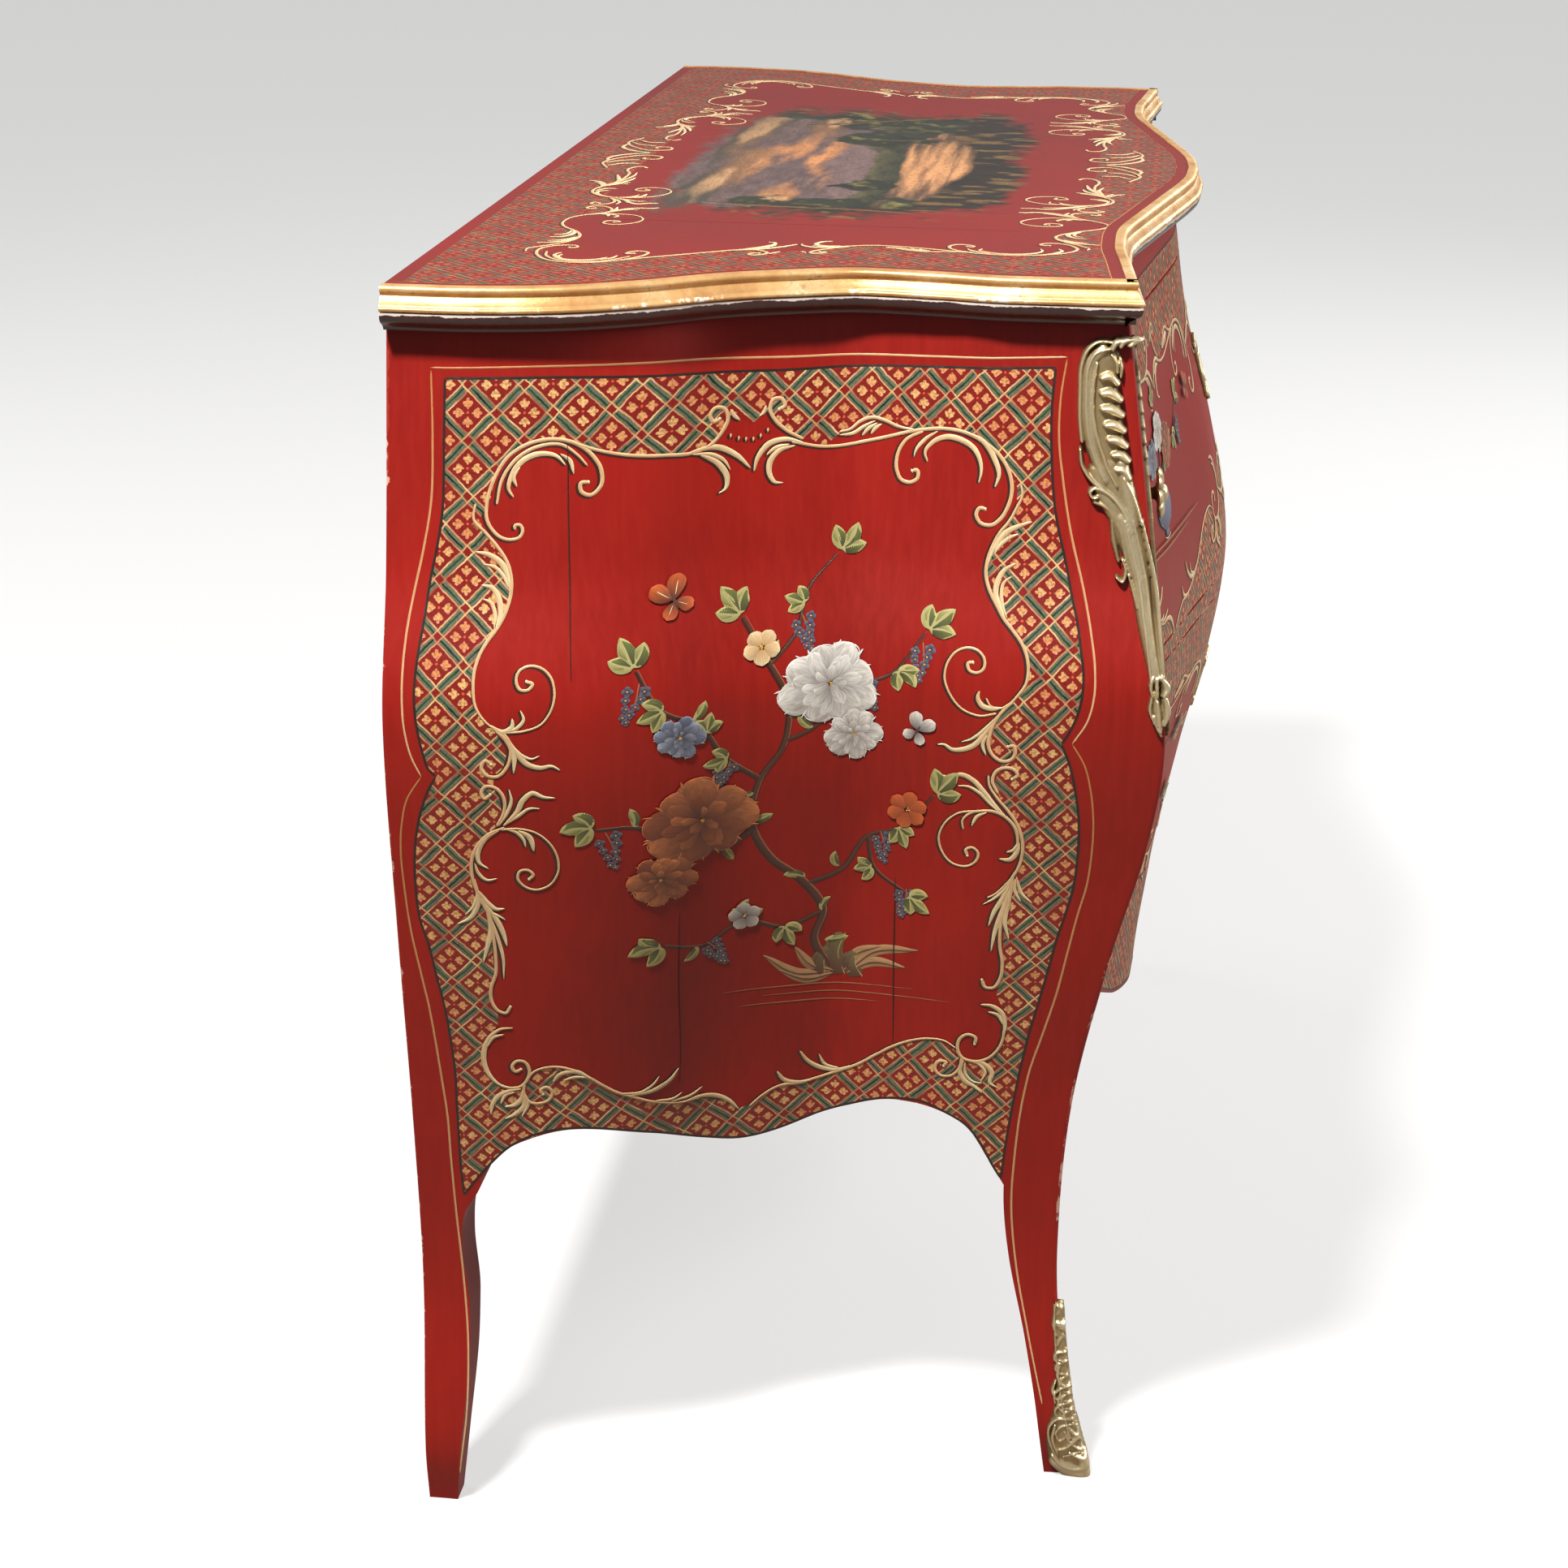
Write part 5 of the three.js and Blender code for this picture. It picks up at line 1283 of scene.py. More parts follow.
    (FEATHER, [(806, 1356), (831, 1352), (840, 1345)]),
    (LEAF, [(681, 1333), (689, 1324), (707, 1320), (730, 1329)]),
    (FEATHER, [(694, 1331), (707, 1327), (724, 1327)]),
    (LEAF, [(642, 1341), (627, 1344), (614, 1350), (607, 1360), (605, 1373)]),
    (FEATHER, [(635, 1345), (623, 1349), (617, 1360)]),
    (LEAF, [(645, 1342), (642, 1354), (634, 1361), (622, 1363)]),
    (LEAF, [(646, 1346), (645, 1363), (635, 1372), (622, 1378)]),
    (FEATHER, [(648, 1348), (650, 1361), (643, 1375)]),
    (STEM, [(923, 1362), (944, 1345), (963, 1336), (982, 1334), (1003, 1328), (1032, 1319), (1058, 1310),
            (1079, 1299), (1099, 1289), (1120, 1282), (1144, 1279), (1164, 1282), (1178, 1291)]),
    (LEAF, [(957, 1319), (965, 1329), (982, 1333), (1004, 1328)]),
    (LEAF, [(985, 1294), (995, 1306), (1010, 1314), (1032, 1317), (1050, 1312)]),
    (FEATHER, [(1009, 1298), (1016, 1310), (1036, 1316)]),
    (CURL, [(1237, 1268), (1236, 1278), (1229, 1293), (1216, 1304), (1199, 1307), (1185, 1302), (1180, 1291),
            (1183, 1279), (1192, 1274), (1202, 1278), (1201, 1286)]),
    (LEAF, [(1208, 1237), (1222, 1239), (1233, 1246), (1238, 1260), (1237, 1276)]),
    (FEATHER, [(1217, 1246), (1229, 1250), (1236, 1262)]),
    (CURL, [(1185, 1303), (1181, 1317), (1170, 1325), (1157, 1323), (1152, 1315), (1157, 1307), (1166, 1308),
            (1163, 1313)]),
    (LEAF, [(1187, 1305), (1183, 1321), (1190, 1332), (1199, 1337), (1210, 1346)]),
    (FEATHER, [(1189, 1308), (1190, 1323), (1199, 1332), (1210, 1334)]),
    (FEATHER, [(1192, 1306), (1205, 1310), (1214, 1321), (1208, 1332)]),
    (LEAF, [(1194, 1306), (1212, 1310), (1222, 1321), (1220, 1334), (1228, 1339)]),
]
CENTRE_MARKS = [(900, 537), (910, 540), (919, 541), (928, 541), (937, 537), (946, 530)]

# Fine gold lines that follow the panel on the posts and run down the legs
GOLD_LINES = [
    [(530, 453), (695, 451), (832, 445), (960, 440), (1120, 438), (1315, 440)],
    [(531, 456), (533, 540), (531, 620), (521, 681), (512, 722), (502, 773), (497, 813), (495, 864),
     (498, 900), (507, 934), (519, 957)],
    [(519, 957), (501, 986), (495, 1015), (494, 1053), (498, 1091), (505, 1139), (519, 1200), (528, 1237),
     (537, 1285), (545, 1333), (551, 1371), (556, 1430), (563, 1500), (572, 1580), (577, 1660), (575, 1740),
     (567, 1815)],
    [(1315, 442), (1307, 491), (1305, 542), (1310, 593), (1320, 659), (1335, 726), (1344, 778), (1349, 822),
     (1348, 860), (1340, 889), (1321, 917)],
    [(1321, 917), (1336, 943), (1344, 976), (1347, 1008), (1345, 1052), (1338, 1095), (1329, 1123),
     (1316, 1171), (1300, 1230), (1285, 1273), (1268, 1321), (1257, 1371), (1250, 1425), (1246, 1480),
     (1252, 1560), (1266, 1640), (1284, 1730)],
]
CRACKS = [
    [(699, 545), (700, 640), (702, 760), (703, 840)],
    [(838, 1125), (837, 1210), (839, 1300), (838, 1335)],
    [(1103, 1080), (1101, 1180), (1100, 1285)],
]

CREAM = srgb(222, 176, 128)
CREAM_PALE = srgb(238, 206, 158)
GOLD_THREAD = srgb(186, 118, 60)
CRACK_PAINT = srgb(36, 6, 6)


def edge_line(work, points, gap, width=OUTLINE_WIDTH):
    """A flat dark line round the painting, with a point every gap."""
    work.stroke(points, (width,) * 3, OUTLINE_PAINT, cast=False, dome=0, glow=0, gap=gap)


def gold_line(work, points, gap):
    """A thin gold line, a little wider at its middle."""
    work.stroke(points, GOLD_WIDTHS, GOLD_THREAD, CREAM, cast=False, dome=0.1 * MM, gap=gap)


def border_stroke(work, points, kind):
    """A cream stroke of the border. Leaves and feathers grow paler toward their tip."""
    work.stroke(points, np.array(kind) * MM, CREAM, CREAM_PALE if kind in (LEAF, FEATHER) else CREAM)


def lay_scrolls(work, strokes, mirror=False):
    """Lays strokes, with a bud at the end of each curl and ring, and if asked their mirror image."""
    for kind, points in strokes:
        for way in ((1, 1), (-1, 1)) if mirror else ((1, 1),):
            border_stroke(work, points * way, kind)
            if kind in (CURL, RING):
                work.dot(points[-1] * way, BUD, CREAM_PALE, cast=False)


def lay_crest(work, strokes, side, way, height):
    """Strokes in mm from a foot at a height on the middle line, mirrored by side and by way."""
    for kind, points in strokes:
        border_stroke(work, np.array(points, float) * MM * (side, way) + (0, height), kind)


def over_apron(at, margin):
    """Lifts (depth, z) points of the side panel that lie lower than a margin over its lower edge."""
    inside = (at[:, 0] > REAR_POST_DEPTH) & (at[:, 0] < POST_BACK)
    z = np.where(inside, np.maximum(at[:, 1], side_apron(at[:, 0]) + margin), at[:, 1])
    return np.stack([at[:, 0], z], -1)


def lattice_band(name, side):
    """The band between two loops seen from the field's middle: at every angle, from the inner reach to
    the outer reach. The pattern reads depth and height off the UV map, so that it follows the surface."""
    middle = side_at([FIELD_MIDDLE])[0]
    loops = []
    for pixels in (LATTICE_INNER, LATTICE_OUTER):
        away = over_apron(smooth_steps(side_at(pixels + pixels[:1]), 3 * MM)[:-1], 0.6 * MM) - middle
        angle = np.arctan2(away[:, 1], away[:, 0])
        order = np.argsort(angle)
        loops.append((angle[order], np.linalg.norm(away, axis=1)[order]))
    angles = np.unique(np.concatenate([span(-math.pi, math.pi, 900)[:-1], loops[1][0]]))
    near, far = (np.interp(angles, angle, reach, period=2 * math.pi) for angle, reach in loops)
    share = span(0, 1, 14)[None, :]
    reach = near[:, None] * (1 - share) + far[:, None] * share
    depth = middle[0] + np.cos(angles)[:, None] * reach
    z = middle[1] + np.sin(angles)[:, None] * reach
    inside = (depth > REAR_POST_DEPTH) & (depth < POST_BACK)
    z = np.where(inside, np.maximum(z, side_apron(depth) + 0.3 * MM), z)
    points = side_ground(side)(depth, z, 0.09 * MM)
    faces = grid_faces(len(angles), share.size, close_rows=True)
    if side < 0:
        faces = faces[:, ::-1]
    mesh_piece(f"side_lattice_{name}", points, faces, ("lattice",), "carcass",
               strip=np.stack([depth, z], -1), sharp=SMOOTH)


def side_scrollwork(name, side):
    """The side's outlines, gold lines, scrolls, small marks and cracks, as strokes on its surface."""
    work = Brushwork(side_ground(side))
    edge = over_apron(side_at(LATTICE_OUTER + LATTICE_OUTER[:1]), 1.1 * MM)
    for first, last in zip(LATTICE_CORNERS[:-1], LATTICE_CORNERS[1:]):
        edge_line(work, edge[first:last + 1], 2 * MM)
    for line in GOLD_LINES:
        gold_line(work, side_at(line), 3 * MM)
    lay_scrolls(work, [(kind, side_at(pixels)) for kind, pixels in SCROLLS])
    for mark in side_at(CENTRE_MARKS):
        work.stroke([mark + (0, 1.6 * MM), mark - (0, 1.6 * MM)], (1.6 * MM, 1.3 * MM, 0.4 * MM), CREAM)
    for line in CRACKS:
        work.stroke(side_at(line), (0.3 * MM, 0.7 * MM, 0.3 * MM), CRACK_PAINT, cast=False, dome=0, glow=0)
    work.build(f"side_scrollwork_{name}", "carcass")


# The same border on the front and the top: the side's scrolls, laid out again
FRONT_MARGIN = 432 * MM
FRONT_CREST = 836 * MM
FRONT_OFFSET = -454 * MM
UPPER_SHIFT = 285 * MM
LOWER_SHIFT = -272 * MM
TOP_STRETCH = 1.12
TOP_SWEEP_REACH = 380 * MM


def in_rows(pixels, low, high, left=0, right=FRAME_PIXELS):
    """Whether pixels lie, on average, between two rows and two columns of the photograph."""
    x, y = np.mean(pixels, axis=0)
    return low <= y < high and left <= x < right


def placed_strokes(rows, columns, move):
    """The side's strokes in a part of the photograph, moved by a function of (depth, z)."""
    found = [(widths, side_at(pixels)) for widths, pixels in SCROLLS if in_rows(pixels, *rows, *columns)]
    return [(widths, move(points[:, 0], points[:, 1])) for widths, points in found]


def on_front(shift):
    """Moves the side's (depth, z) to the left half of the front, raised by a shift."""
    return lambda depth, z: np.stack([depth + FRONT_OFFSET, z + shift], -1)


def inner_part(rows, columns, move):
    """The part of the lattice's inner edge in some rows and columns, moved by a function of (depth, z)."""
    points = [pixel for pixel in LATTICE_INNER if in_rows([pixel], *rows, *columns)]
    at = side_at(points)
    return move(at[:, 0], at[:, 1])


ALL, LEFT = (0, FRAME_PIXELS), (0, 760)
CREST_ROWS, LOW_ROWS = (0, 660), (1236, FRAME_PIXELS)
UPPER_ROWS = (660, 958)


def mirrored(loop):
    """A loop mirrored in x = 0 and run through the other way."""
    return loop[::-1] * (-1, 1)


def front_loops():
    """The inner edge of the lattice round each drawer's field, clockwise from the lower left."""
    upper = [inner_part((584, 909), (0, 700), on_front(0)), inner_part((0, 584), ALL, on_front(0))]
    low = inner_part((1258, FRAME_PIXELS), ALL, on_front(UPPER_SHIFT))
    first = np.concatenate([upper[0], upper[1], mirrored(upper[1]), mirrored(upper[0]), mirrored(low), low])
    crest = inner_part((0, 640), ALL, on_front(LOWER_SHIFT))
    crest = crest[crest[:, 1] > 470 * MM]
    side = inner_part((1000, 1258), (0, 700), on_front(0))
    side = side[side[:, 1] < 462 * MM]
    low = inner_part((1258, FRAME_PIXELS), ALL, on_front(0))
    second = np.concatenate([side, crest, mirrored(crest), mirrored(side), mirrored(low), low])
    return first, second


def loop_distance(loop, a, b):
    """Distance from points (a, b) to a closed loop, positive inside it."""
    loop = np.concatenate([loop, loop[:1]])
    fine = smooth_steps(loop, 2 * MM)
    flat = np.stack([a.ravel(), b.ravel()], -1)
    result = []
    for part in np.array_split(flat, max(len(flat) // 4000, 1)):
        away = np.hypot(part[:, :1] - fine[:, 0], part[:, 1:] - fine[:, 1]).min(axis=1)
        x0, y0, x1, y1 = loop[:-1, 0], loop[:-1, 1], loop[1:, 0], loop[1:, 1]
        crosses = (y0 > part[:, 1:]) != (y1 > part[:, 1:])
        rise = np.where(y1 == y0, 1, y1 - y0)
        at = x0 + (part[:, 1:] - y0) * (x1 - x0) / rise
        inside = (crosses & (part[:, :1] < at)).sum(axis=1) % 2
        result.append(np.where(inside == 1, away, -away))
    return np.concatenate(result).reshape(a.shape)


def smooth_steps(points, gap):
    """Points every gap along straight lines between the given ones."""
    step = np.linalg.norm(np.diff(points, axis=0), axis=1)
    place = np.concatenate([[0], np.cumsum(step)])
    at = span(0, place[-1], int(place[-1] / gap) + 2)
    return np.stack([np.interp(at, place, points[:, 0]), np.interp(at, place, points[:, 1])], -1)


FRONT_LOOPS = front_loops()


def front_band(x, z):
    """Distance inside the lattice of the front, positive within it: the least of those to the margin,
    the crest line, the apron's edge and the nearer of the two fields."""
    outer = np.minimum(FRONT_MARGIN - np.abs(x), np.minimum(FRONT_CREST - z, z - front_apron(x) - 3 * MM))
    inside = np.maximum(*(loop_distance(loop, x, z) for loop in FRONT_LOOPS))
    return np.minimum(outer, -inside)


def on_top(depth, z):
    """Moves the side's (depth, z) to the left half of the top, turned so that its crest lies along the
    left edge and its flanks along the back and the front. Near that edge it follows the plan's sweep."""
    inward = 832 * MM - z
    depth = depth * 1.02 + 4 * MM + 26 * MM * (depth / WAIST_DEPTH) ** 2
    sweep = SIDE_SWEEP * side_plan(depth / TOP_DEPTH) * np.clip(1 - inward / TOP_SWEEP_REACH, 0, 1)
    return np.stack([-566 * MM + inward * TOP_STRETCH + sweep, depth], -1)


def top_loop():
    """The inner edge of the lattice on the top: parts of the side's for the left half, then mirrored."""
    parts = [inner_part((584, 1236), (0, 760), on_top), inner_part((0, 584), ALL, on_top),
             inner_part((584, 1236), (1100, FRAME_PIXELS), on_top)]
    half = np.concatenate(parts)
    return np.concatenate([half, mirrored(half)])


TOP_LOOP = top_loop()
TOP_EDGE = inset(OUTLINE, MOULDING + 9 * MM)


def top_band(x, depth):
    """Distance inside the lattice of the top, positive within it: the least of those to the rim, to a
    line near the back and to the field."""
    outer = np.minimum(loop_distance(TOP_EDGE, x, depth), depth - 10 * MM)
    return np.minimum(outer, -loop_distance(TOP_LOOP, x, depth))


# Painted figures, in millimetres from an origin
BARK, BARK_PALE = srgb(74, 36, 22), srgb(150, 96, 66)
POLLEN = srgb(204, 156, 62)
WHITE, SLATE = srgb(228, 220, 204), srgb(64, 66, 78)
RUSSET, EMBER, UMBER = srgb(150, 66, 32), srgb(198, 92, 42), srgb(82, 44, 30)
INDIGO, SKY = srgb(44, 56, 78), srgb(120, 134, 156)


def turned(points, angle, at, size):
    """Points in units of size, turned by an angle in degrees and moved to a place."""
    c, s = math.cos(math.radians(angle)), math.sin(math.radians(angle))
    points = np.array(points, float) * size
    return np.stack([points[:, 0] * c - points[:, 1] * s, points[:, 0] * s + points[:, 1] * c], -1) + at


class Figures:
    """Draws flowers, leaves and small scenes with a Brushwork, in mm from an origin on its ground."""
    def __init__(self, work, origin, flip=1, seed=5):
        self.work, self.origin, self.flip = work, np.array(origin), flip
        self.rng = np.random.default_rng(seed)

    def line(self, points, widths, root, tip=None, cast=False, glow=0.2, dome=0.12 * MM, gap=1.3 * MM):
        """A stroke through points in mm from the origin, mirrored if the figures are."""
        at = self.origin + np.array(points, float) * (self.flip, 1) * MM
        self.work.stroke(at, np.array(widths) * MM, root, tip, cast=cast, glow=glow, dome=dome, gap=gap)

    def branch(self, points, width):
        """A dark stroke that tapers to its end, and a thin pale one along its lit side."""
        points = np.array(points, float)
        self.line(points, (width, width * 0.75, width * 0.35), BARK, cast=True)
        self.line(points + (0.25 * width, 0.2 * width), (width * 0.3, width * 0.25, 0.3), BARK_PALE)

    def spot(self, at, radius, root, tip=None, glow=0.3):
        """A round spot: a stroke as long as it is wide, with rounded ends."""
        at = np.array(at, float)
        self.line([at - (radius, 0), at + (radius, 0)], (2 * radius,) * 3, root, tip, glow=glow)

    def leaf(self, at, angle, length, tones=((46, 60, 38), (104, 112, 54), (178, 172, 110)), fan=(0,)):
        """A leaf of one or more lobes: a dark blade, a lit half, a pale edge and a vein on each."""
        dark, lit, edge = (srgb(*tone) for tone in tones)
        for lobe in sorted(fan, key=abs, reverse=True):
            reach = length * (1 - 0.004 * abs(lobe)) * self.rng.uniform(0.88, 1.1)
            wide = length * (0.42 if len(fan) == 1 else 0.5)
            bend = 0.1 * self.rng.uniform(-1, 1.4)
            place = lambda points: turned(points, angle + lobe, at, reach)
            self.line(place([(0, 0), (0.3, bend), (0.7, bend), (1, 0)]), (wide * 0.3, wide, 0.6), edge)
            self.line(place([(0.04, -0.02), (0.3, bend - 0.03), (0.7, bend - 0.03), (0.93, -0.02)]),
                      (wide * 0.3, wide * 0.9, 0.5), dark, lit)
            self.line(place([(0.25, bend + 0.06), (0.55, bend + 0.12), (0.92, 0.03)]),
                      (0.4, wide * 0.42, 0.4), lit, edge)
            self.line(place([(0, 0), (0.45, bend), (0.9, 0)]), (0.8, 0.6, 0.3), edge)

    def leaves(self, table, fan=(-46, 0, 46)):
        """Leaves from rows of x, y, angle and length."""
        for x, y, angle, length in table:
            self.leaf((x, y), angle, length, fan=fan)

    def bloom(self, at, size, tones, rings=((1.0, 8), (0.8, 7), (0.6, 6), (0.38, 5)), squash=1.0):
        """A full flower: rings of broad cupped petals that grow paler toward their lips."""
        at = np.array(at, float)
        dark, middle, pale = (np.array(tone) for tone in tones)
        for ring, (reach, count) in enumerate(rings):
            turn = self.rng.uniform(0, 360)
            for k in range(count):
                way = turn + 360 * k / count + self.rng.uniform(-10, 10)
                long = size * reach * self.rng.uniform(0.86, 1.1)
                wide = 5.0 * size * reach / count * self.rng.uniform(0.85, 1.15)
                place = lambda points: turned(points, way, (0, 0), long) * (1, squash) + at
                share = self.rng.uniform(0.1, 0.75)
                tone = tuple(middle * (1 - share) + pale * share)
                root = tuple(dark * (1 - 0.1 * ring) + middle * 0.1 * ring)
                half = 0.42 * wide / long
                self.line(place([(0.1, 0), (0.55, 0.03), (0.97, 0)]), (wide * 0.35, wide, wide * 0.95), root,
                          tone, glow=0.16, dome=0.3 * MM)
                for aside in (-0.5, -0.17, 0.17, 0.5):
                    vein = [(0.35, aside * half), (0.7, aside * half * 1.6), (0.97, aside * half * 1.9)]
                    self.line(place(vein), (0.3, wide * 0.1, 0.4), root, tuple(pale), glow=0.1)
                lip = [(0.8, -half), (0.93, -half * 0.6), (0.97, 0), (0.93, half * 0.6), (0.8, half)]
                self.line(place(lip), (0.2, 0.9, 0.2), tuple(pale), glow=0.1)
        for _ in range(12):
            self.spot(at + self.rng.normal(0, size * 0.07, 2), 0.9, POLLEN)

    def blossom(self, at, size, tones, petals=5):
        """A small open flower with round petals and a dotted eye."""
        turn = self.rng.uniform(0, 360)
        for k in range(petals):
            way = turn + 360 * k / petals
            wide = 4.2 * size / petals
            self.line(turned([(0.12, 0), (0.6, 0), (0.98, 0)], way, at, size), (wide * 0.5, wide, wide),
                      tones[0], tones[1], glow=0.2)
            self.line(turned([(0.3, 0), (0.7, 0.02)], way, at, size), (0.3, 0.7, 0.3), tones[2])
        for _ in range(5 if size > 6 else 1):
            self.spot(np.array(at) + self.rng.normal(0, 0.08 * size, 2), 0.7, POLLEN)

    def spray(self, at, angle, length, tones):
        """A drooping spray: a thin stem with small four-petalled flowers to each side of it."""
        stem = turned([(0, 0), (0.5, 0.08), (1, 0)], angle, at, length)
        self.line(stem, (1.0, 0.8, 0.5), BARK_PALE)
        for k in range(9):
            t = 0.16 + 0.1 * k
            aside = (-1) ** k * length * 0.2 * (1.15 - t)
            place = turned([(t * length, aside + self.rng.uniform(-0.6, 0.6))], angle, at, 1)[0]
            self.blossom(place, self.rng.uniform(2.9, 3.6) * (1.25 - 0.5 * t), tones, 4)

    def butterfly(self, at, angle, size, tones):
        """Four broad strokes out from the middle as wings, a mark on each, a body and two feelers."""
        for way, reach, wide in ((58, 1.0, 0.62), (122, 1.0, 0.62), (-48, 0.72, 0.5), (-132, 0.72, 0.5)):
            self.line(turned([(0.06, 0), (0.5, 0.04), (1, 0)], way + angle, at, size * reach),
                      (0.6, size * wide, size * wide * 0.7), tones[0], tones[1], glow=0.3)
            self.line(turned([(0.15, 0), (0.55, 0.02), (0.8, 0)], way + angle, at, size * reach),
                      (0.3, size * wide * 0.4, 0.6), tones[2])
        self.line(turned([(-0.02, -0.42), (0, 0), (0.02, 0.36)], angle, at, size), (0.6, 1.8, 1.0), UMBER)
        for lean in (-0.24, 0.24):
            self.line(turned([(0, 0.34), (lean * 0.5, 0.6), (lean, 0.74)], angle, at, size), (0.4, 0.4, 0.7),
                      tones[1])

    def rock(self, at, size):
        """A pitted garden rock with blades of grass and lines of ground."""
        for way, long in ((156, 2.1), (168, 1.6), (22, 2.3), (10, 1.8), (38, 1.5), (138, 1.5)):
            blade = turned([(0.1, 0), (0.5, 0.16), (1, 0.04)], way, at, long * size)
            self.line(blade, (0.9, size * 0.3, 0.3), srgb(176, 134, 92))
            self.line(blade - (0, 0.3), (0.6, size * 0.24, 0.2), UMBER, srgb(104, 82, 54))
        for dx, dy, long, wide, lean in ((-0.5, 0.0, 0.9, 0.5, 78), (0.0, 0.0, 1.3, 0.6, 92),
                                         (0.5, -0.05, 0.8, 0.5, 104), (0.15, 0.2, 0.6, 0.4, 60)):
            foot = np.array(at) + (dx * size, dy * size)
            body = turned([(0, 0), (0.5, 0.12), (1, -0.06)], lean, foot, long * size)
            self.line(body, (wide * size, wide * size * 0.9, wide * size * 0.4), UMBER, srgb(112, 104, 66))
            self.line(body + (wide * size * 0.22, 0), (1.0, 1.8, 0.5), srgb(166, 150, 84))
            self.line(body - (wide * size * 0.24, 0), (0.8, 1.2, 0.4), srgb(40, 38, 28))
        for drop, left, right in ((0.25, -3.0, 2.0), (0.5, -2.0, 3.0), (0.75, -2.6, 1.1)):
            self.line([(at[0] + left * size, at[1] - drop * size), (at[0], at[1] - drop * size - 0.6),
                       (at[0] + right * size, at[1] - drop * size)], (0.4, 1.2, 0.3), srgb(152, 84, 44))

    def jar(self, at, size):
        """A round-bellied jar: foot, belly and neck are broad upright strokes, with bands across."""
        x, y = at
        for low, high, widths in ((0.0, 0.16, (0.5, 0.44, 0.4)), (0.1, 0.84, (0.4, 0.98, 0.5)),
                                  (0.78, 1.04, (0.4, 0.3, 0.5))):
            self.line([(x, y + share * size) for share in (low, (low + high) / 2, high)],
                      np.array(widths) * size, srgb(52, 66, 92), srgb(112, 126, 150), cast=True, glow=0.4,
                      dome=0.4 * MM)
        for share, wide in ((0.02, 0.44), (0.26, 0.74), (0.7, 0.76), (0.8, 0.42), (1.0, 0.46)):
            half = wide * size / 2
            self.line([(x - half, y + share * size), (x, y + (share - 0.05) * size),
                       (x + half, y + share * size)], (0.9, 1.3, 0.9), CREAM_PALE)
        for aside, reach in ((0, 0.17), (-0.27, 0.1), (0.27, 0.1)):
            self.blossom((x + aside * size, y + 0.47 * size), reach * size, CREAM_BLOOM)


WHITE_BLOOM = (srgb(104, 100, 100), srgb(206, 200, 188), srgb(244, 240, 228))
RUSSET_BLOOM = (srgb(46, 22, 18), srgb(124, 54, 30), srgb(214, 132, 78))
BLUE_BLOOM = (srgb(26, 32, 46), srgb(70, 86, 112), srgb(170, 182, 196))
BUDS = (srgb(44, 48, 62), srgb(92, 98, 118), srgb(176, 184, 196))
CREAM_BLOOM = (srgb(190, 150, 100), CREAM_PALE, srgb(244, 230, 200))

# The picture on the side: branches by width, and rows of x, y, angle and length
SIDE_ORIGIN = (236 * MM, 548 * MM)
UPPER_ORIGIN, LOWER_ORIGIN = (0, 700 * MM), (0, 425 * MM)
GROUND_LINE = srgb(160, 96, 52)
SIDE_BRANCHES = [
    (5.0, [(40, -150), (30, -126), (36, -104), (22, -78), (2, -58), (-9, -30), (-4, 0), (12, 26), (14, 56),
           (0, 84), (-16, 112)]),
    (3.0, [(24, -82), (48, -72), (66, -46), (88, -38), (110, -12)]),
    (3.0, [(-7, -34), (-26, -46), (-52, -42), (-78, -20), (-104, -18)]),
    (2.6, [(-3, 2), (-24, 20), (-40, 46), (-62, 60), (-78, 88)]),
    (2.6, [(12, 28), (30, 36), (50, 60), (80, 72), (102, 100)]),
    (2.2, [(2, 80), (18, 100), (24, 126), (42, 148)]),
    (2.4, [(35, -104), (10, -114), (-16, -106), (-44, -120), (-66, -114)]),
    (2.0, [(66, -46), (70, -70), (92, -88)]),
]
SIDE_LEAVES = [
    (-18, 114, 125, 21), (44, 150, 60, 19), (22, 118, 160, 15), (104, 102, 40, 21), (84, 74, -40, 17),
    (-80, 90, 115, 21), (-62, 60, 200, 17), (-36, 40, 80, 15), (112, -10, 50, 21), (86, -38, -70, 17),
    (-106, -16, 185, 21), (-56, -44, -105, 18), (-68, -114, 190, 20), (-16, -106, 80, 16),
    (94, -90, -40, 18), (68, -70, 190, 14), (10, -114, -70, 16), (-24, 20, 190, 15)]
SIDE_BLADES = [
    (14, 44, 20, 15), (-10, -30, 20, 15), (-28, -46, -60, 14), (24, -76, 170, 15), (46, -70, 100, 14),
    (36, -128, 10, 16), (-8, -8, 165, 13), (30, 36, 130, 14), (0, 84, 60, 14), (-44, 50, 60, 14),
    (56, 64, 110, 13), (-80, -20, 100, 14), (34, -104, 60, 12), (-46, -120, 230, 14)]
SIDE_SPRAYS = [
    (20, 112, -75, 25), (100, 94, -95, 26), (-76, 80, -110, 27), (-98, -20, -80, 29), (74, -42, -85, 24),
    (-40, -118, -60, 22), (-22, 18, -120, 21), (62, 66, -70, 20), (92, -84, -100, 22), (-48, 50, -95, 20)]


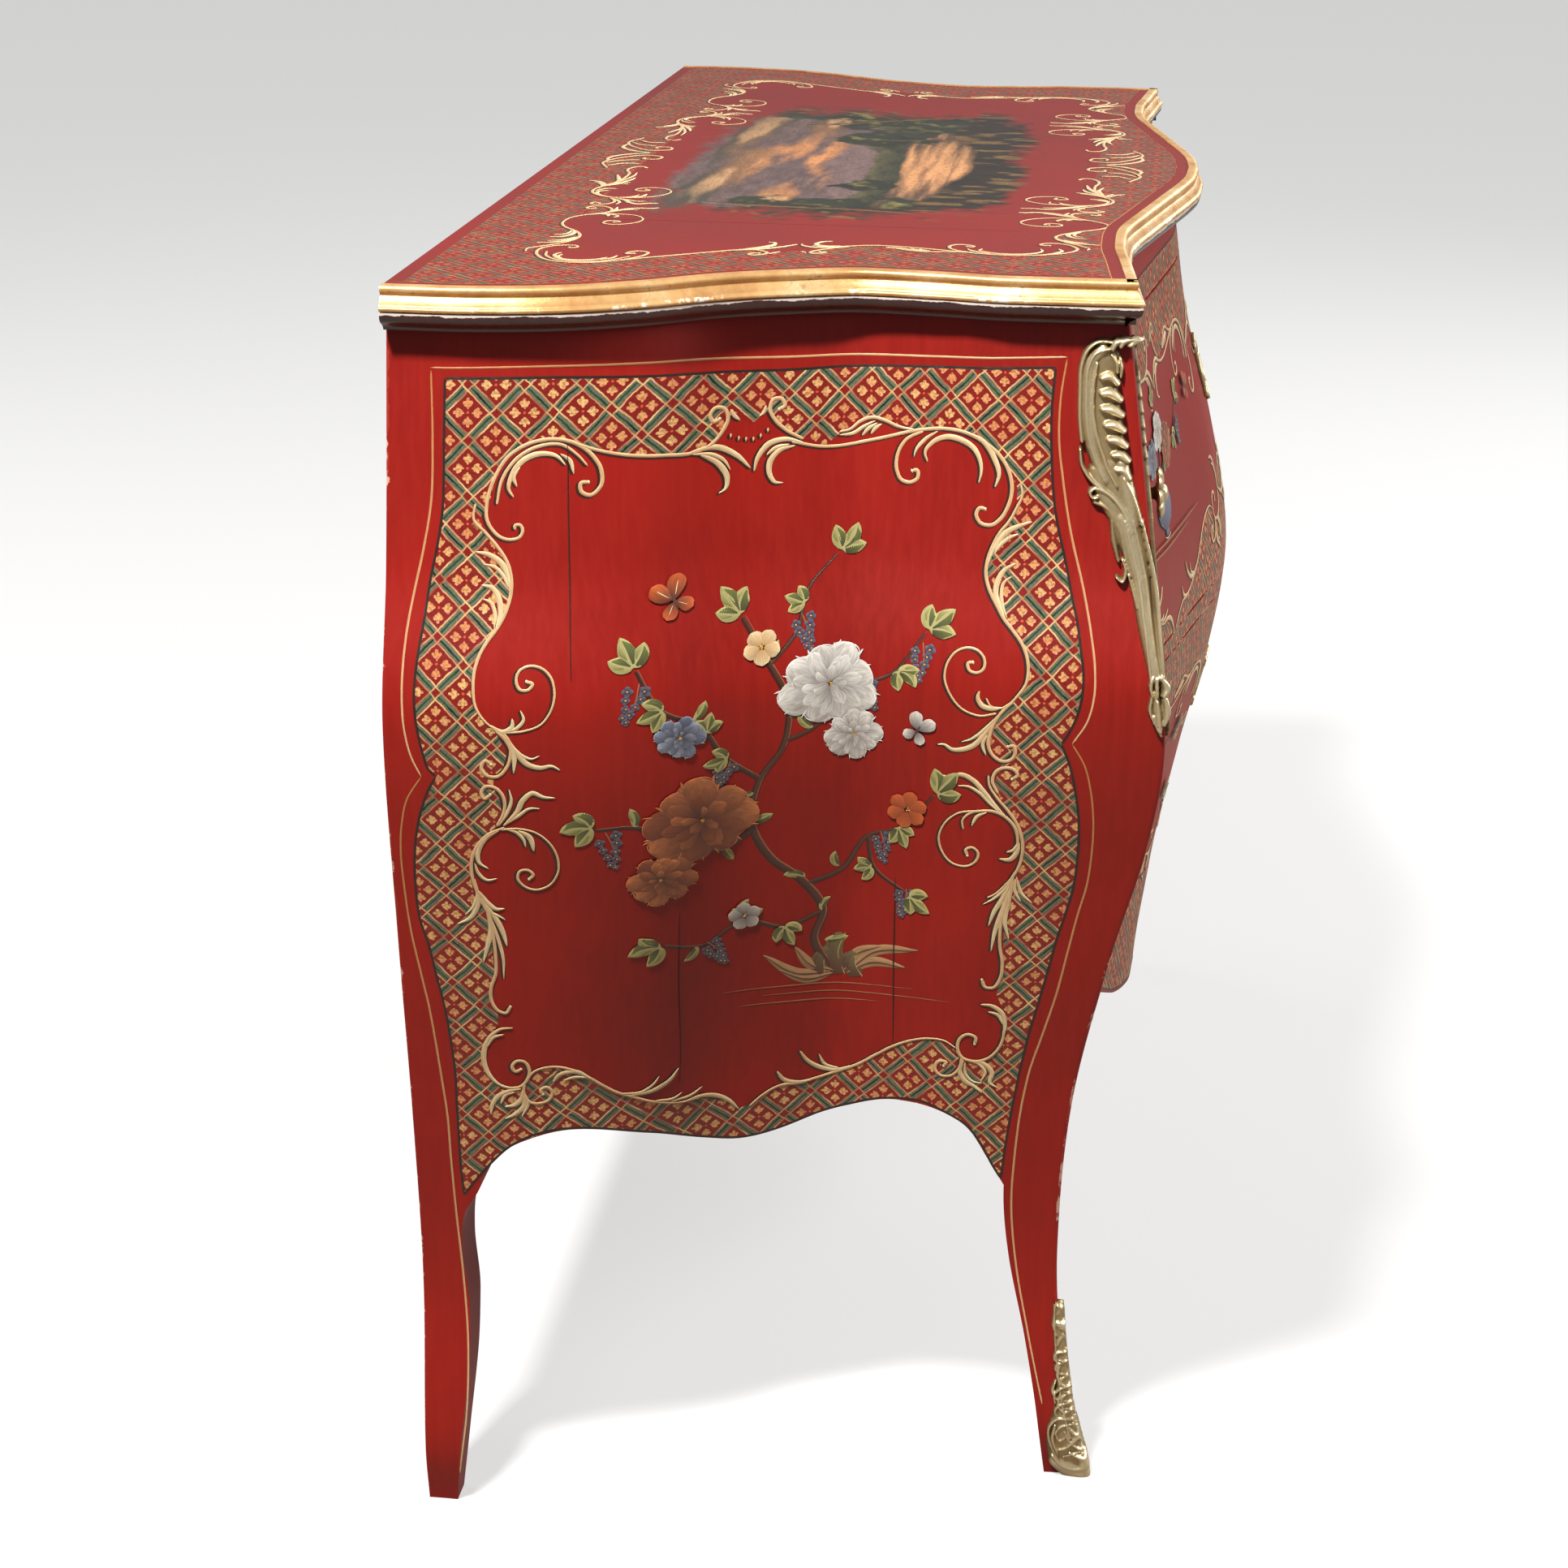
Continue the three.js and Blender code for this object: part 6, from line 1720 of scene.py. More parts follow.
def side_picture(name, side):
    """A flowering tree over a garden rock, with butterflies, on the side's red field."""
    work = Brushwork(side_ground(side), shade=(-0.9 * MM, -0.6 * MM), next_coat=0.0005 * MM)
    draw = Figures(work, SIDE_ORIGIN)
    draw.rock((46, -156), 26)
    for wide, points in SIDE_BRANCHES:
        draw.branch(points, wide)
    draw.leaves(SIDE_BLADES, fan=(0,))
    for x, y, angle, length in SIDE_SPRAYS:
        draw.spray((x, y), angle, length, BUDS)
    draw.leaves(SIDE_LEAVES)
    draw.bloom((56, 30), 20, WHITE_BLOOM, squash=0.9)
    draw.bloom((40, 66), 33, WHITE_BLOOM, squash=0.88)
    draw.bloom((-66, -62), 22, RUSSET_BLOOM, squash=0.9)
    draw.bloom((-40, -22), 36, RUSSET_BLOOM, squash=0.88)
    draw.bloom((-52, 40), 15, BLUE_BLOOM)
    draw.blossom((-4, 92), 12, CREAM_BLOOM)
    draw.blossom((92, -24), 14, (RUSSET, EMBER, CREAM_PALE), 6)
    draw.blossom((-16, -102), 11, WHITE_BLOOM)
    draw.butterfly((-58, 128), 24, 17, (UMBER, EMBER, CREAM_PALE))
    draw.butterfly((98, 34), -30, 14, (SLATE, WHITE, SKY))
    work.build(f"side_picture_{name}", "carcass")


def holds(drawer):
    """A function of (x, z): whether a place on the front is on that drawer."""
    low, high, _ = DRAWERS[drawer]
    return lambda x, z: (np.abs(x) < DRAWER_HALF) & (z > low) & (z < high)


def of_carcass(x, z):
    """Whether a place on the front is on the frame: on the apron or a rail, or beside the openings."""
    rails = (z < APRON_TOP) | ((z > DIVIDER[0]) & (z < DIVIDER[1])) | (z > RAIL_LOW)
    return (rails & (np.abs(x) < OPENING)) | (np.abs(x) > OPENING)


def front_painting():
    """The front's border, outlines and pictures, cut where the drawers part from the frame."""
    work = Brushwork(front_ground, next_coat=0.0012 * MM)
    edge = FRONT_MARGIN
    rim = [[(-edge, front_apron(-edge) + 4 * MM), (-edge, 500 * MM), (-edge, FRONT_CREST)],
           [(-edge, FRONT_CREST), (0, FRONT_CREST), (edge, FRONT_CREST)],
           [(edge, FRONT_CREST), (edge, 500 * MM), (edge, front_apron(edge) + 4 * MM)]]
    for line in rim:
        edge_line(work, line, 4 * MM)
    for way in (-1, 1):
        z = span(60 * MM, 842 * MM, 60)
        inner = OPENING + LEG_DRAW_WIDTH * leg_share(z / BODY_HEIGHT) + 6 * MM
        gold_line(work, np.stack([way * inner, z], -1), 4 * MM)
    hem = span(-edge, edge, 60)
    edge_line(work, np.stack([hem, front_apron(hem) + 3 * MM], -1), 4 * MM, width=1.6 * MM)
    upper = placed_strokes(CREST_ROWS, ALL, on_front(0)) + placed_strokes(UPPER_ROWS, LEFT, on_front(0))
    upper += placed_strokes(LOW_ROWS, ALL, on_front(UPPER_SHIFT))
    lower = placed_strokes(CREST_ROWS, ALL, on_front(LOWER_SHIFT))
    lower += placed_strokes((1000, 1236), LEFT, on_front(0)) + placed_strokes(LOW_ROWS, ALL, on_front(0))
    lay_scrolls(work, upper + lower, mirror=True)
    for loop in FRONT_LOOPS:
        centre = loop[np.abs(loop[:, 0]) < 90 * MM]
        for way, start in ((1, centre[centre[:, 1].argmax()]), (-1, centre[centre[:, 1].argmin()])):
            near = centre[(centre[:, 0] < 0) & (np.abs(centre[:, 1] - start[1]) < 30 * MM)]
            p = near[near[:, 0].argmax()]
            for side in (-1, 1):
                reach = -p[0] / MM + 2
                lay_crest(work, [(LEAF, [(reach, 0), (reach * 0.6, 9), (reach * 0.25, 7), (0, -6)]),
                                 (FEATHER, [(0, -4), (8, -14), (20, -16), (27, -9)]),
                                 (FEATHER, [(0, -5), (4, -18), (12, -27)]),
                                 (CURL, [(reach * 0.6, 8), (16, 18), (6, 22), (2, 15)])], side, way, p[1])
    draw = Figures(work, UPPER_ORIGIN, seed=11)
    draw.jar((-244, -54), 44)
    for points in ([(-244, -12), (-264, 4), (-296, 12), (-326, 36)],
                   [(-244, -12), (-220, 6), (-188, 10), (-158, 30)], [(-244, -12), (-240, 16), (-250, 44)]):
        draw.branch(points, 2.4)
    draw.leaves([(-326, 36, 150, 18), (-158, 30, 40, 18), (-250, 44, 100, 17), (-296, 12, 230, 15),
                 (-188, 10, -60, 15), (-230, 0, -30, 14), (-262, 4, 210, 14), (-206, 10, 80, 14)])
    draw.bloom((-270, 8), 17, BLUE_BLOOM, squash=0.9)
    draw.bloom((-216, 8), 18, RUSSET_BLOOM, squash=0.9)
    draw.bloom((-243, 24), 17, WHITE_BLOOM, squash=0.9)
    draw.spray((-310, 22), 250, 20, BUDS)
    draw.spray((-172, 18), -80, 20, BUDS)
    for left, right, drop in ((-350, -140, -54), (-330, -180, -59), (130, 352, -54), (160, 320, -60)):
        draw.line([(left, drop), ((left + right) / 2, drop - 2), (right, drop)], (0.5, 1.8, 0.5), GROUND_LINE)
    draw.rock((214, -52), 12)
    draw.branch([(214, -44), (206, -22), (226, 0), (262, 8), (300, 30), (334, 34)], 3.4)
    draw.branch([(212, -20), (186, -6), (160, 18), (132, 22)], 2.4)
    draw.branch([(230, 2), (232, 28), (250, 44)], 2)
    draw.leaves([(336, 34, 30, 18), (132, 22, 170, 18), (252, 46, 80, 16), (186, -6, 240, 14),
                 (264, 8, -50, 15), (300, 30, 110, 14), (160, 18, 100, 13)])
    draw.bloom((278, 16), 20, WHITE_BLOOM, squash=0.9)
    draw.bloom((176, 6), 17, RUSSET_BLOOM, squash=0.9)
    draw.spray((326, 34), -80, 20, BUDS)
    draw.blossom((236, 34), 9, CREAM_BLOOM)
    draw.butterfly((112, 44), 20, 13, (INDIGO, SKY, CREAM_PALE))
    draw.butterfly((-118, 30), -24, 13, (UMBER, EMBER, CREAM_PALE))
    for way, first, second in ((-1, RUSSET_BLOOM, BLUE_BLOOM), (1, WHITE_BLOOM, RUSSET_BLOOM)):
        draw = Figures(work, LOWER_ORIGIN, flip=way, seed=20 + way)
        draw.branch([(86, -34), (130, -44), (176, -22), (224, -18), (270, 8), (330, 10)], 3.4)
        draw.branch([(150, -36), (166, -4), (150, 22), (120, 30)], 2.2)
        draw.branch([(226, -18), (232, 12), (220, 36)], 2)
        draw.leaves([(86, -34, 170, 18), (120, 30, 160, 18), (220, 38, 100, 16), (332, 10, 10, 20),
                     (270, 8, -70, 16), (176, -22, -90, 15), (240, 10, 20, 13), (130, -44, -80, 13)])
        draw.bloom((190, -8), 20, first, squash=0.9)
        draw.bloom((292, 6), 16, second, squash=0.9)
        draw.spray((160, 10), -60, 20, BUDS)
        draw.spray((250, 0), -100, 20, BUDS)
        draw.blossom((126, -40), 9, CREAM_BLOOM)
        draw.butterfly((266, 44), 15 * way, 12, (SLATE, WHITE, SKY))
    work.build("front_painting_carcass", "carcass", of_carcass)
    for drawer in DRAWERS:
        work.build(f"front_painting_{drawer}", f"{drawer}_drawer", holds(drawer))


PICTURE_MIDDLE, PICTURE_HALF = (0.0, 236 * MM), (326 * MM, 146 * MM)


def rough(u, v, scale, seed, octaves=4):
    """Layered noise near -1..1: octaves of random grid values, blended by 3t^2 - 2t^3 between them."""
    total = np.zeros(np.broadcast(u, v).shape)
    for octave in range(octaves):
        values = np.random.default_rng(seed + octave).uniform(-1, 1, (64, 64))
        a, b = u * scale * 2 ** octave + 32, v * scale * 2 ** octave + 32
        i, j = np.floor(a).astype(int), np.floor(b).astype(int)
        s, t = (a - i) ** 2 * (3 - 2 * (a - i)), (b - j) ** 2 * (3 - 2 * (b - j))
        corner = lambda di, dj: values[(i + di) % 64, (j + dj) % 64]
        near = corner(0, 0) * (1 - s) + corner(1, 0) * s
        far = corner(0, 1) * (1 - s) + corner(1, 1) * s
        total += (near * (1 - t) + far * t) / 2 ** octave
    return total / 1.3


def make_top_picture():
    """The picture on the top: u from -1 to 1 across, v from the sky at -1 to the near ground at 1. Each
    form is laid over the last where its own mask, a soft step of a formula in u and v, is 1."""
    u, v = span(-1, 1, 380)[None, :], span(-1, 1, 166)[:, None]
    u, v = np.broadcast_arrays(u, v)
    step = lambda value, soft: np.clip(value / soft + 0.5, 0, 1)
    paint = np.zeros(u.shape + (3,))

    def lay(mask, colour, vary=0.25, grain=None):
        """Blends in a colour by its mask, darker and paler by a grain."""
        grain = rough(u, v * 2, 14, 90) if grain is None else grain
        tone = np.array(colour) * np.clip(1 + vary * grain, 0.3, 1.8)[..., None]
        paint[:] = paint + (tone - paint) * mask[..., None]

    drift = rough(u * 0.6 + 0.5 * v, v * 1.6 - 0.3 * u, 3.2, 11)
    glow = np.exp(-((u + 0.2 + 0.3 * v) / 0.62) ** 2 - ((v + 0.22) / 0.42) ** 2)
    lay(np.ones(u.shape), srgb(66, 60, 50), 0.3, drift)
    lay(np.clip(glow * 1.1 + 0.3 * drift - 0.15, 0, 1), srgb(206, 136, 84), 0.25)
    lay(step(drift - 0.35, 0.3) * np.clip(glow * 1.5, 0, 1) * (v < 0.3), srgb(232, 186, 132), 0.15)
    lay(step(-drift - 0.2, 0.4) * (v < 0), srgb(96, 76, 72), 0.3)
    ridge = -0.06 + 0.2 * rough(u, 0 * v, 1.6, 21, 5)
    lay(step(v - ridge, 0.04), srgb(112, 88, 84), 0.2)
    ridge = 0.08 + 0.16 * rough(u, 0 * v, 2.3, 31, 5)
    lay(step(v - ridge, 0.03), srgb(76, 70, 46), 0.45)
    lay(step(v - ridge - 0.08, 0.1) * 0.8, srgb(40, 42, 28), 0.5)
    shore = 0.24 + 0.05 * rough(u, 0 * v, 3, 41)
    ripple = rough(u * 1.5, v * 12, 3, 51)
    lay(step(v - shore, 0.03), srgb(92, 68, 50), 0.3, ripple)
    lay(step(v - shore, 0.03) * np.clip(1.3 * np.exp(-((u + 0.12) / 0.4) ** 2) + 0.5 * ripple - 0.3, 0, 1),
        srgb(196, 138, 90), 0.3, ripple)
    for left, reach, high, tilt, seed in ((-0.95, 0.36, 0.95, 0.1, 61), (0.9, 0.46, 1.1, -0.25, 71),
                                          (0.34, 0.14, 0.36, 0.0, 81), (-0.42, 0.1, 0.26, 0.0, 91)):
        leaves = rough(u, v * 0.5, 9, seed, 5)
        crown = 1 - ((u - left - tilt * v) / reach) ** 2 - ((v - 0.1) / high) ** 2 + 0.75 * leaves
        lay(step(crown - 0.35, 0.16), srgb(36, 38, 26), 0.6, leaves)
        lit = rough(u + 0.016, v * 0.5 + 0.02, 9, seed, 5) - leaves
        lay(step(crown - 0.5, 0.2) * np.clip(lit * 2.4 - 0.2, 0, 0.8), srgb(128, 116, 60), 0.3)
    bank = 0.6 + 0.1 * rough(u, 0 * v, 2.2, 101, 5) - 0.3 * np.abs(u) ** 2
    tufts = rough(u * 6, v * 1.2 + 0.5 * u, 5, 111)
    lay(step(v - bank, 0.05), srgb(42, 33, 24), 0.5, tufts)
    lay(step(v - bank, 0.05) * step(tufts - 0.3, 0.25) * 0.7, srgb(122, 92, 50), 0.3)
    for foot, head, wide in (((-0.86, 0.7), (-0.7, -0.62), 0.02), ((0.86, 0.72), (0.6, -0.5), 0.02),
                             ((0.7, 0.1), (0.96, -0.4), 0.012), ((-0.76, 0.0), (-0.98, -0.4), 0.012),
                             ((0.34, 0.56), (0.37, 0.1), 0.01)):
        share = np.clip((v - foot[1]) / (head[1] - foot[1]), 0, 1)
        stem = foot[0] + (head[0] - foot[0]) * share + 0.025 * np.sin(5 * share)
        lay(step(wide * (1.2 - share) - np.abs(u - stem), 0.01) * (share > 0) * (share < 1), srgb(48, 30, 20),
            0.4)
        lay(step(wide * 0.3 - np.abs(u - stem + wide * 0.4), 0.008) * (share > 0) * (share < 1) * 0.7,
            srgb(140, 100, 60), 0.2)
    edge = (np.abs(u) ** 6 + np.abs(v) ** 6) ** (1 / 6)
    veil = step(0.87 - edge + 0.09 * rough(u, v, 5, 121) + 0.06 * rough(u * 4, v, 14, 131), 0.11)
    x, depth = PICTURE_MIDDLE[0] + u * PICTURE_HALF[0], PICTURE_MIDDLE[1] + v * PICTURE_HALF[1]
    mesh_piece("top_picture", top_ground(x, depth, 0.06 * MM), grid_faces(*u.shape)[:, ::-1], ("oils",),
               "carcass", values={"paint": paint.reshape(-1, 3), "veil": veil.ravel()},
               sharp=SMOOTH)


# Strokes in mm from the foot of the crest
TOP_CREST = [
    (CURL, [(86, 2), (56, -6), (30, 4), (14, 20), (20, 34), (34, 32), (34, 22), (26, 22)]),
    (LEAF, [(52, -4), (30, -6), (12, 4), (0, 22)]),
    (FEATHER, [(60, -4), (44, 8), (40, 20)]),
    (FEATHER, [(74, 0), (60, 12), (60, 24)]),
]


def top_painting():
    """The scrolls of the top's border, with a crest at the middle of its back and of its front."""
    work = Brushwork(top_ground, next_coat=0.0004 * MM)
    work.stroke(smooth_steps(TOP_EDGE, 6 * MM), (1.2 * MM,) * 3, GOLD_THREAD, cast=False, dome=0.05 * MM,
                gap=4 * MM)
    strokes = placed_strokes(CREST_ROWS, ALL, on_top) + placed_strokes((660, 1236), ALL, on_top)
    lay_scrolls(work, strokes, mirror=True)
    for depth, way in ((46 * MM, 1), (452 * MM, -1)):
        for side in (-1, 1):
            lay_crest(work, TOP_CREST, side, way, depth)
    work.build("top_painting", "carcass", lambda x, depth: loop_distance(TOP_EDGE, x, depth) > -0.6 * MM)


# Cast pieces
MOUNT_TOP = BODY_HEIGHT - 8 * MM
MOUNT_LENGTH = 259 * MM
MOUNT_SEAT = 0.2 * MM
SABOT_HEIGHT = 140 * MM


def arris_ground(side):
    """The body round a front arris as (across, z, lift) to points: across is negative on the side face
    and positive on the front face, and the lift turns from one face's direction to the other's."""
    def place(across, z, lift):
        reach, wide = corner_depth(z), corner_x(z)
        depth, x = reach + np.minimum(across, 0), wide - np.maximum(across, 0)
        on_side = across < 0
        along = (side_x(depth + STEP, z) - side_x(depth - STEP, z)) / (2 * STEP)
        aside = (front_depth(x + STEP, z) - front_depth(x - STEP, z)) / (2 * STEP)
        turn = np.clip(0.5 + across / (12 * MM), 0, 1)
        turn = turn * turn * (3 - 2 * turn)
        out = np.stack([(1 - turn) - aside * turn, turn - along * (1 - turn)], -1)
        out /= np.linalg.norm(out, axis=-1, keepdims=True)
        base_x = np.where(on_side, side_x(depth, z), x)
        base_depth = np.where(on_side, depth, front_depth(x, z))
        return stack(side * (base_x + out[..., 0] * lift), base_depth + out[..., 1] * lift, z)
    return place


def cast_relief(across, up, ribs, holes=()):
    """Height of a casting over its ground: each rib is a half ellipse swept along a smooth line, and
    falls on below the ground past its edge. A hole is taken out with straight walls."""
    height = np.full(across.shape, -2 * MM)
    for crest, widths, points in ribs:
        line = smooth_line(np.array(points), 0.7 * MM)
        half = np.interp(span(0, 1, len(line)), span(0, 1, len(widths)), widths) * 0.5 * MM
        margin = half.max() + 2 * MM
        near = (np.abs(across - line[:, 0].mean()) < np.ptp(line[:, 0]) + margin)
        near &= (up > line[:, 1].min() - margin) & (up < line[:, 1].max() + margin)
        away = np.hypot(across[near][:, None] - line[:, 0], up[near][:, None] - line[:, 1])
        level = crest * MM * np.sqrt(np.maximum(1 - (away / half) ** 2, 0)) - np.maximum(away - half, 0) * 1.8
        height[near] = np.maximum(height[near], level.max(axis=1))
    for radius, points in holes:
        line = smooth_line(np.array(points), 0.4 * MM)
        away = np.hypot(across[..., None] - line[:, 0], up[..., None] - line[:, 1]).min(axis=-1)
        height = np.minimum(height, (away - radius) * 4)
    return height


def casting(name, ground, across, up, height, body, node):
    """The part of a relief that stands over its ground, as one mesh over a grid."""
    across, up = np.broadcast_arrays(across, up)
    faces = grid_faces(*across.shape)
    faces = faces[(height.ravel()[faces] > -0.1 * MM).any(axis=1)]
    used, faces = np.unique(faces, return_inverse=True)
    points = ground(across, up, np.maximum(height, -0.6 * MM) + MOUNT_SEAT).reshape(-1, 3)[used]
    tall = np.clip(height.ravel()[used] / np.percentile(height[height > 0], 97), 0, 1)
    mesh_piece(name, points, faces.reshape(-1, 4), ("brass",), body, [node],
               values={"relief": tall}, sharp=SMOOTH)


def mount_at(pixels):
    """Pixels of the photograph beside the front arris, as (across, z) of the arris ground."""
    at = side_at(pixels)
    return np.stack([at[:, 0] - corner_depth(at[:, 1]), at[:, 1]], -1)


# Ribs of the corner mount: crest in mm, widths in mm, pixels of the photograph
MOUNT_RIBS = [
    (3.4, (18, 26, 20), [(1363, 440), (1357, 470), (1358, 510), (1363, 550), (1374, 590)]),
    (4.0, (20, 20, 13), [(1367, 575), (1376, 610), (1386, 650), (1394, 680)]),
    (5.2, (8, 10.5, 8), [(1360, 428), (1345, 444), (1341, 480), (1342, 520), (1348, 556), (1362, 590)]),
    (4.4, (9, 13, 9), [(1350, 578), (1357, 600), (1368, 622), (1382, 650)]),
    (6.0, (2.6, 3.2, 3.0), [(1376, 421), (1353, 420), (1340, 430), (1333, 448), (1331, 480), (1331, 520),
                            (1333, 542)]),
    (6.4, (2.6, 3.2, 2.1), [(1369, 428), (1350, 434), (1342, 449), (1339, 480), (1340, 520), (1344, 547),
                            (1351, 568), (1361, 590)]),
    (6.6, (2.4, 3.2, 2.3), [(1352, 446), (1348, 470), (1347, 505), (1351, 532), (1358, 556), (1366, 578),
                            (1376, 597)]),
    (5.8, (2.4, 4.4, 3.0), [(1331, 552), (1334, 573), (1346, 591), (1360, 602), (1374, 613), (1386, 628),
                            (1396, 654)]),
    (7.2, (4.6, 7.0, 4.4), [(1358, 464), (1367, 462), (1377, 471)]),
    (7.6, (5.0, 7.8, 5.0), [(1358, 483), (1368, 483), (1380, 491)]),
    (7.8, (5.0, 8.0, 5.0), [(1359, 502), (1369, 503), (1382, 510)]),
    (7.8, (5.0, 8.0, 5.0), [(1363, 522), (1372, 522), (1384, 529)]),
    (7.6, (4.8, 7.6, 4.8), [(1367, 540), (1376, 541), (1387, 548)]),
    (7.2, (4.4, 7.0, 4.4), [(1372, 559), (1380, 559), (1390, 566)]),
    (6.8, (4.0, 6.2, 3.6), [(1376, 577), (1384, 578), (1392, 588)]),
    (8.0, (3.9, 5.2, 3.9), [(1371, 428), (1376, 420), (1383, 418)]),
    (8.2, (3.4, 4.7, 3.4), [(1381, 425), (1386, 418), (1392, 416)]),
    (8.2, (2.9, 4.2, 3.1), [(1390, 424), (1395, 417), (1400, 418)]),
    (5.6, (2.6, 3.6, 2.1), [(1370, 436), (1376, 446), (1377, 458)]),
    (5.0, (1.8, 2.9, 1.6), [(1380, 440), (1382, 452), (1381, 464)]),
    (5.0, (9, 11, 9), [(1382, 570), (1389, 605), (1397, 645)]),
    (6.2, (3.1, 2.9, 2.3), [(1352, 611), (1346, 611), (1343, 605), (1348, 600), (1357, 602), (1367, 608),
                            (1378, 620), (1387, 636), (1393, 656)]),
    (4.6, (3.9, 3.4, 2.6), [(1349, 617), (1360, 622), (1372, 634), (1380, 652), (1386, 680), (1393, 708)]),
    (6.6, (2.1, 2.6, 2.1), [(1385, 588), (1394, 604), (1402, 626), (1407, 645)]),
    (4.2, (2.6, 4.2, 2.6), [(1370, 640), (1372, 662), (1378, 690)]),
    (5.4, (2.1, 3.1, 2.6), [(1383, 688), (1387, 704), (1382, 715), (1376, 710)]),
    (5.2, (1.8, 3.1, 1.8), [(1390, 706), (1396, 726), (1401, 748)]),
    (5.2, (18, 16, 12), [(1387, 640), (1396, 672), (1405, 712)]),
    (5.0, (13, 11, 8), [(1403, 700), (1412, 770), (1423, 834)]),
    (6.4, (2.6, 2.9, 2.3), [(1386, 640), (1395, 675), (1404, 718), (1409, 760), (1414, 800), (1418, 838)]),
    (5.6, (2.1, 2.3, 1.8), [(1397, 640), (1405, 675), (1412, 712), (1417, 760), (1422, 800), (1427, 834)]),
    (5.6, (2.3, 2.3, 1.8), [(1407, 640), (1415, 683), (1421, 726), (1426, 786), (1430, 832)]),
    (6.4, (2.1, 3.6, 2.1), [(1421, 832), (1418, 846), (1420, 856)]),
    (6.4, (2.1, 3.6, 2.1), [(1428, 832), (1433, 846), (1431, 856)]),
    (6.8, (2.1, 3.1, 1.6), [(1425, 834), (1425, 846), (1426, 856)]),
    (4.6, (4, 7, 3), [(1424, 852), (1425, 874), (1429, 896)]),
    (6.2, (2.1, 3.1, 1.6), [(1419, 858), (1417, 874), (1422, 890)]),
    (6.4, (2.1, 3.1, 1.6), [(1432, 858), (1434, 874), (1432, 892)]),
    (6.8, (1.8, 3.6, 1.8), [(1426, 862), (1427, 878), (1429, 900)]),
    (5.6, (1.8, 2.6, 1.3), [(1422, 880), (1425, 894), (1430, 906)]),
]
SABOT_RIBS = [
    (4.6, (2.0, 3.4, 2.0), [(1303, 1596), (1306, 1600)]),
    (4.4, (1.8, 2.4, 1.8), [(1301, 1607), (1304, 1611)]),
    (4.0, (1.8, 2.2, 1.8), [(1305, 1612), (1307, 1618)]),
    (5.4, (3.4, 5.6, 3.4), [(1302, 1627), (1306, 1634)]),
    (5.0, (1.4, 1.6, 1.4), [(1308, 1598), (1312, 1640), (1318, 1700), (1328, 1770)]),
    (4.4, (1.6, 2.6, 1.4), [(1305, 1642), (1309, 1648), (1312, 1656)]),
    (4.8, (1.6, 2.4, 1.2), [(1311, 1664), (1302, 1664), (1299, 1672), (1304, 1678)]),
    (4.8, (1.4, 2.2, 1.2), [(1313, 1674), (1306, 1676), (1300, 1684), (1306, 1691)]),
    (4.4, (1.4, 2.6, 1.4), [(1313, 1690), (1306, 1698), (1308, 1706)]),
    (5.2, (1.4, 2.4, 1.4), [(1316, 1704), (1306, 1708), (1299, 1716), (1300, 1726)]),
    (4.8, (1.4, 2.0, 1.2), [(1316, 1712), (1309, 1717), (1307, 1726)]),
    (5.2, (1.4, 2.4, 1.4), [(1318, 1724), (1308, 1727), (1300, 1735), (1303, 1745)]),
    (5.0, (1.4, 2.0, 1.2), [(1319, 1733), (1311, 1738), (1309, 1747)]),
    (5.6, (1.6, 2.2, 1.6), [(1318, 1746), (1304, 1745), (1294, 1753), (1292, 1768), (1297, 1783),
                            (1304, 1796)]),
    (5.2, (1.4, 2.2, 1.4), [(1318, 1752), (1307, 1755), (1301, 1763), (1305, 1772), (1312, 1769)]),
    (5.6, (1.6, 2.8, 1.6), [(1324, 1756), (1322, 1768), (1314, 1780), (1304, 1783)]),
    (5.4, (1.6, 2.4, 1.4), [(1330, 1762), (1330, 1776), (1322, 1788), (1310, 1791)]),
    (3.0, (4, 7, 6), [(1305, 1607), (1306, 1630), (1309, 1660)]),
    (3.0, (6, 10, 13), [(1309, 1655), (1310, 1700), (1311, 1738)]),
    (3.2, (14, 22, 24), [(1310, 1738), (1311, 1762), (1316, 1800)]),
    (2.6, (10, 14, 14), [(1302, 1752), (1301, 1776), (1304, 1800)]),
    (5.0, (12, 20, 18), [(1302, 1800), (1316, 1806), (1330, 1812)]),
    (5.8, (3, 5, 4), [(1297, 1790), (1306, 1800), (1320, 1806), (1334, 1806)]),
    (6.4, (2, 4.4, 3.4), [(1318, 1786), (1328, 1794), (1335, 1806)]),
    (5.0, (1.6, 3.2, 1.4), [(1300, 1700), (1297, 1712), (1302, 1722)]),
    (4.6, (1.6, 2.8, 1.4), [(1310, 1620), (1312, 1632), (1311, 1644)]),
    (4.8, (1.6, 2.8, 1.4), [(1314, 1680), (1318, 1694), (1316, 1706)]),
    (5.0, (1.6, 2.8, 1.4), [(1320, 1716), (1325, 1730), (1322, 1742)]),
    (5.6, (2.2, 3.4, 1.8), [(1300, 1752), (1297, 1770), (1303, 1788)]),
]


def make_corner_casting(name, side, kind, ribs, low, high, wide, front_share, front_rise):
    """A casting round an arris: its ribs on the side face, and again on the front face, mirrored and
    with their height shared by front_rise."""
    across = span(-wide, wide * front_share, int(wide * (1 + front_share) / (0.6 * MM)))[None, :]
    up = span(low, high, int((high - low) / (0.7 * MM)))[:, None]
    across, up = np.broadcast_arrays(across, up)
    placed = [(crest, widths, mount_at(pixels)) for crest, widths, pixels in ribs]
    mirrored = [(crest * front_rise, widths, points * (-front_share, 1)) for crest, widths, points in placed]
    height = cast_relief(across, up, placed + mirrored)
    casting(f"{kind}_{name}", arris_ground(side), across, up, height, "carcass", f"{kind}_{name}")


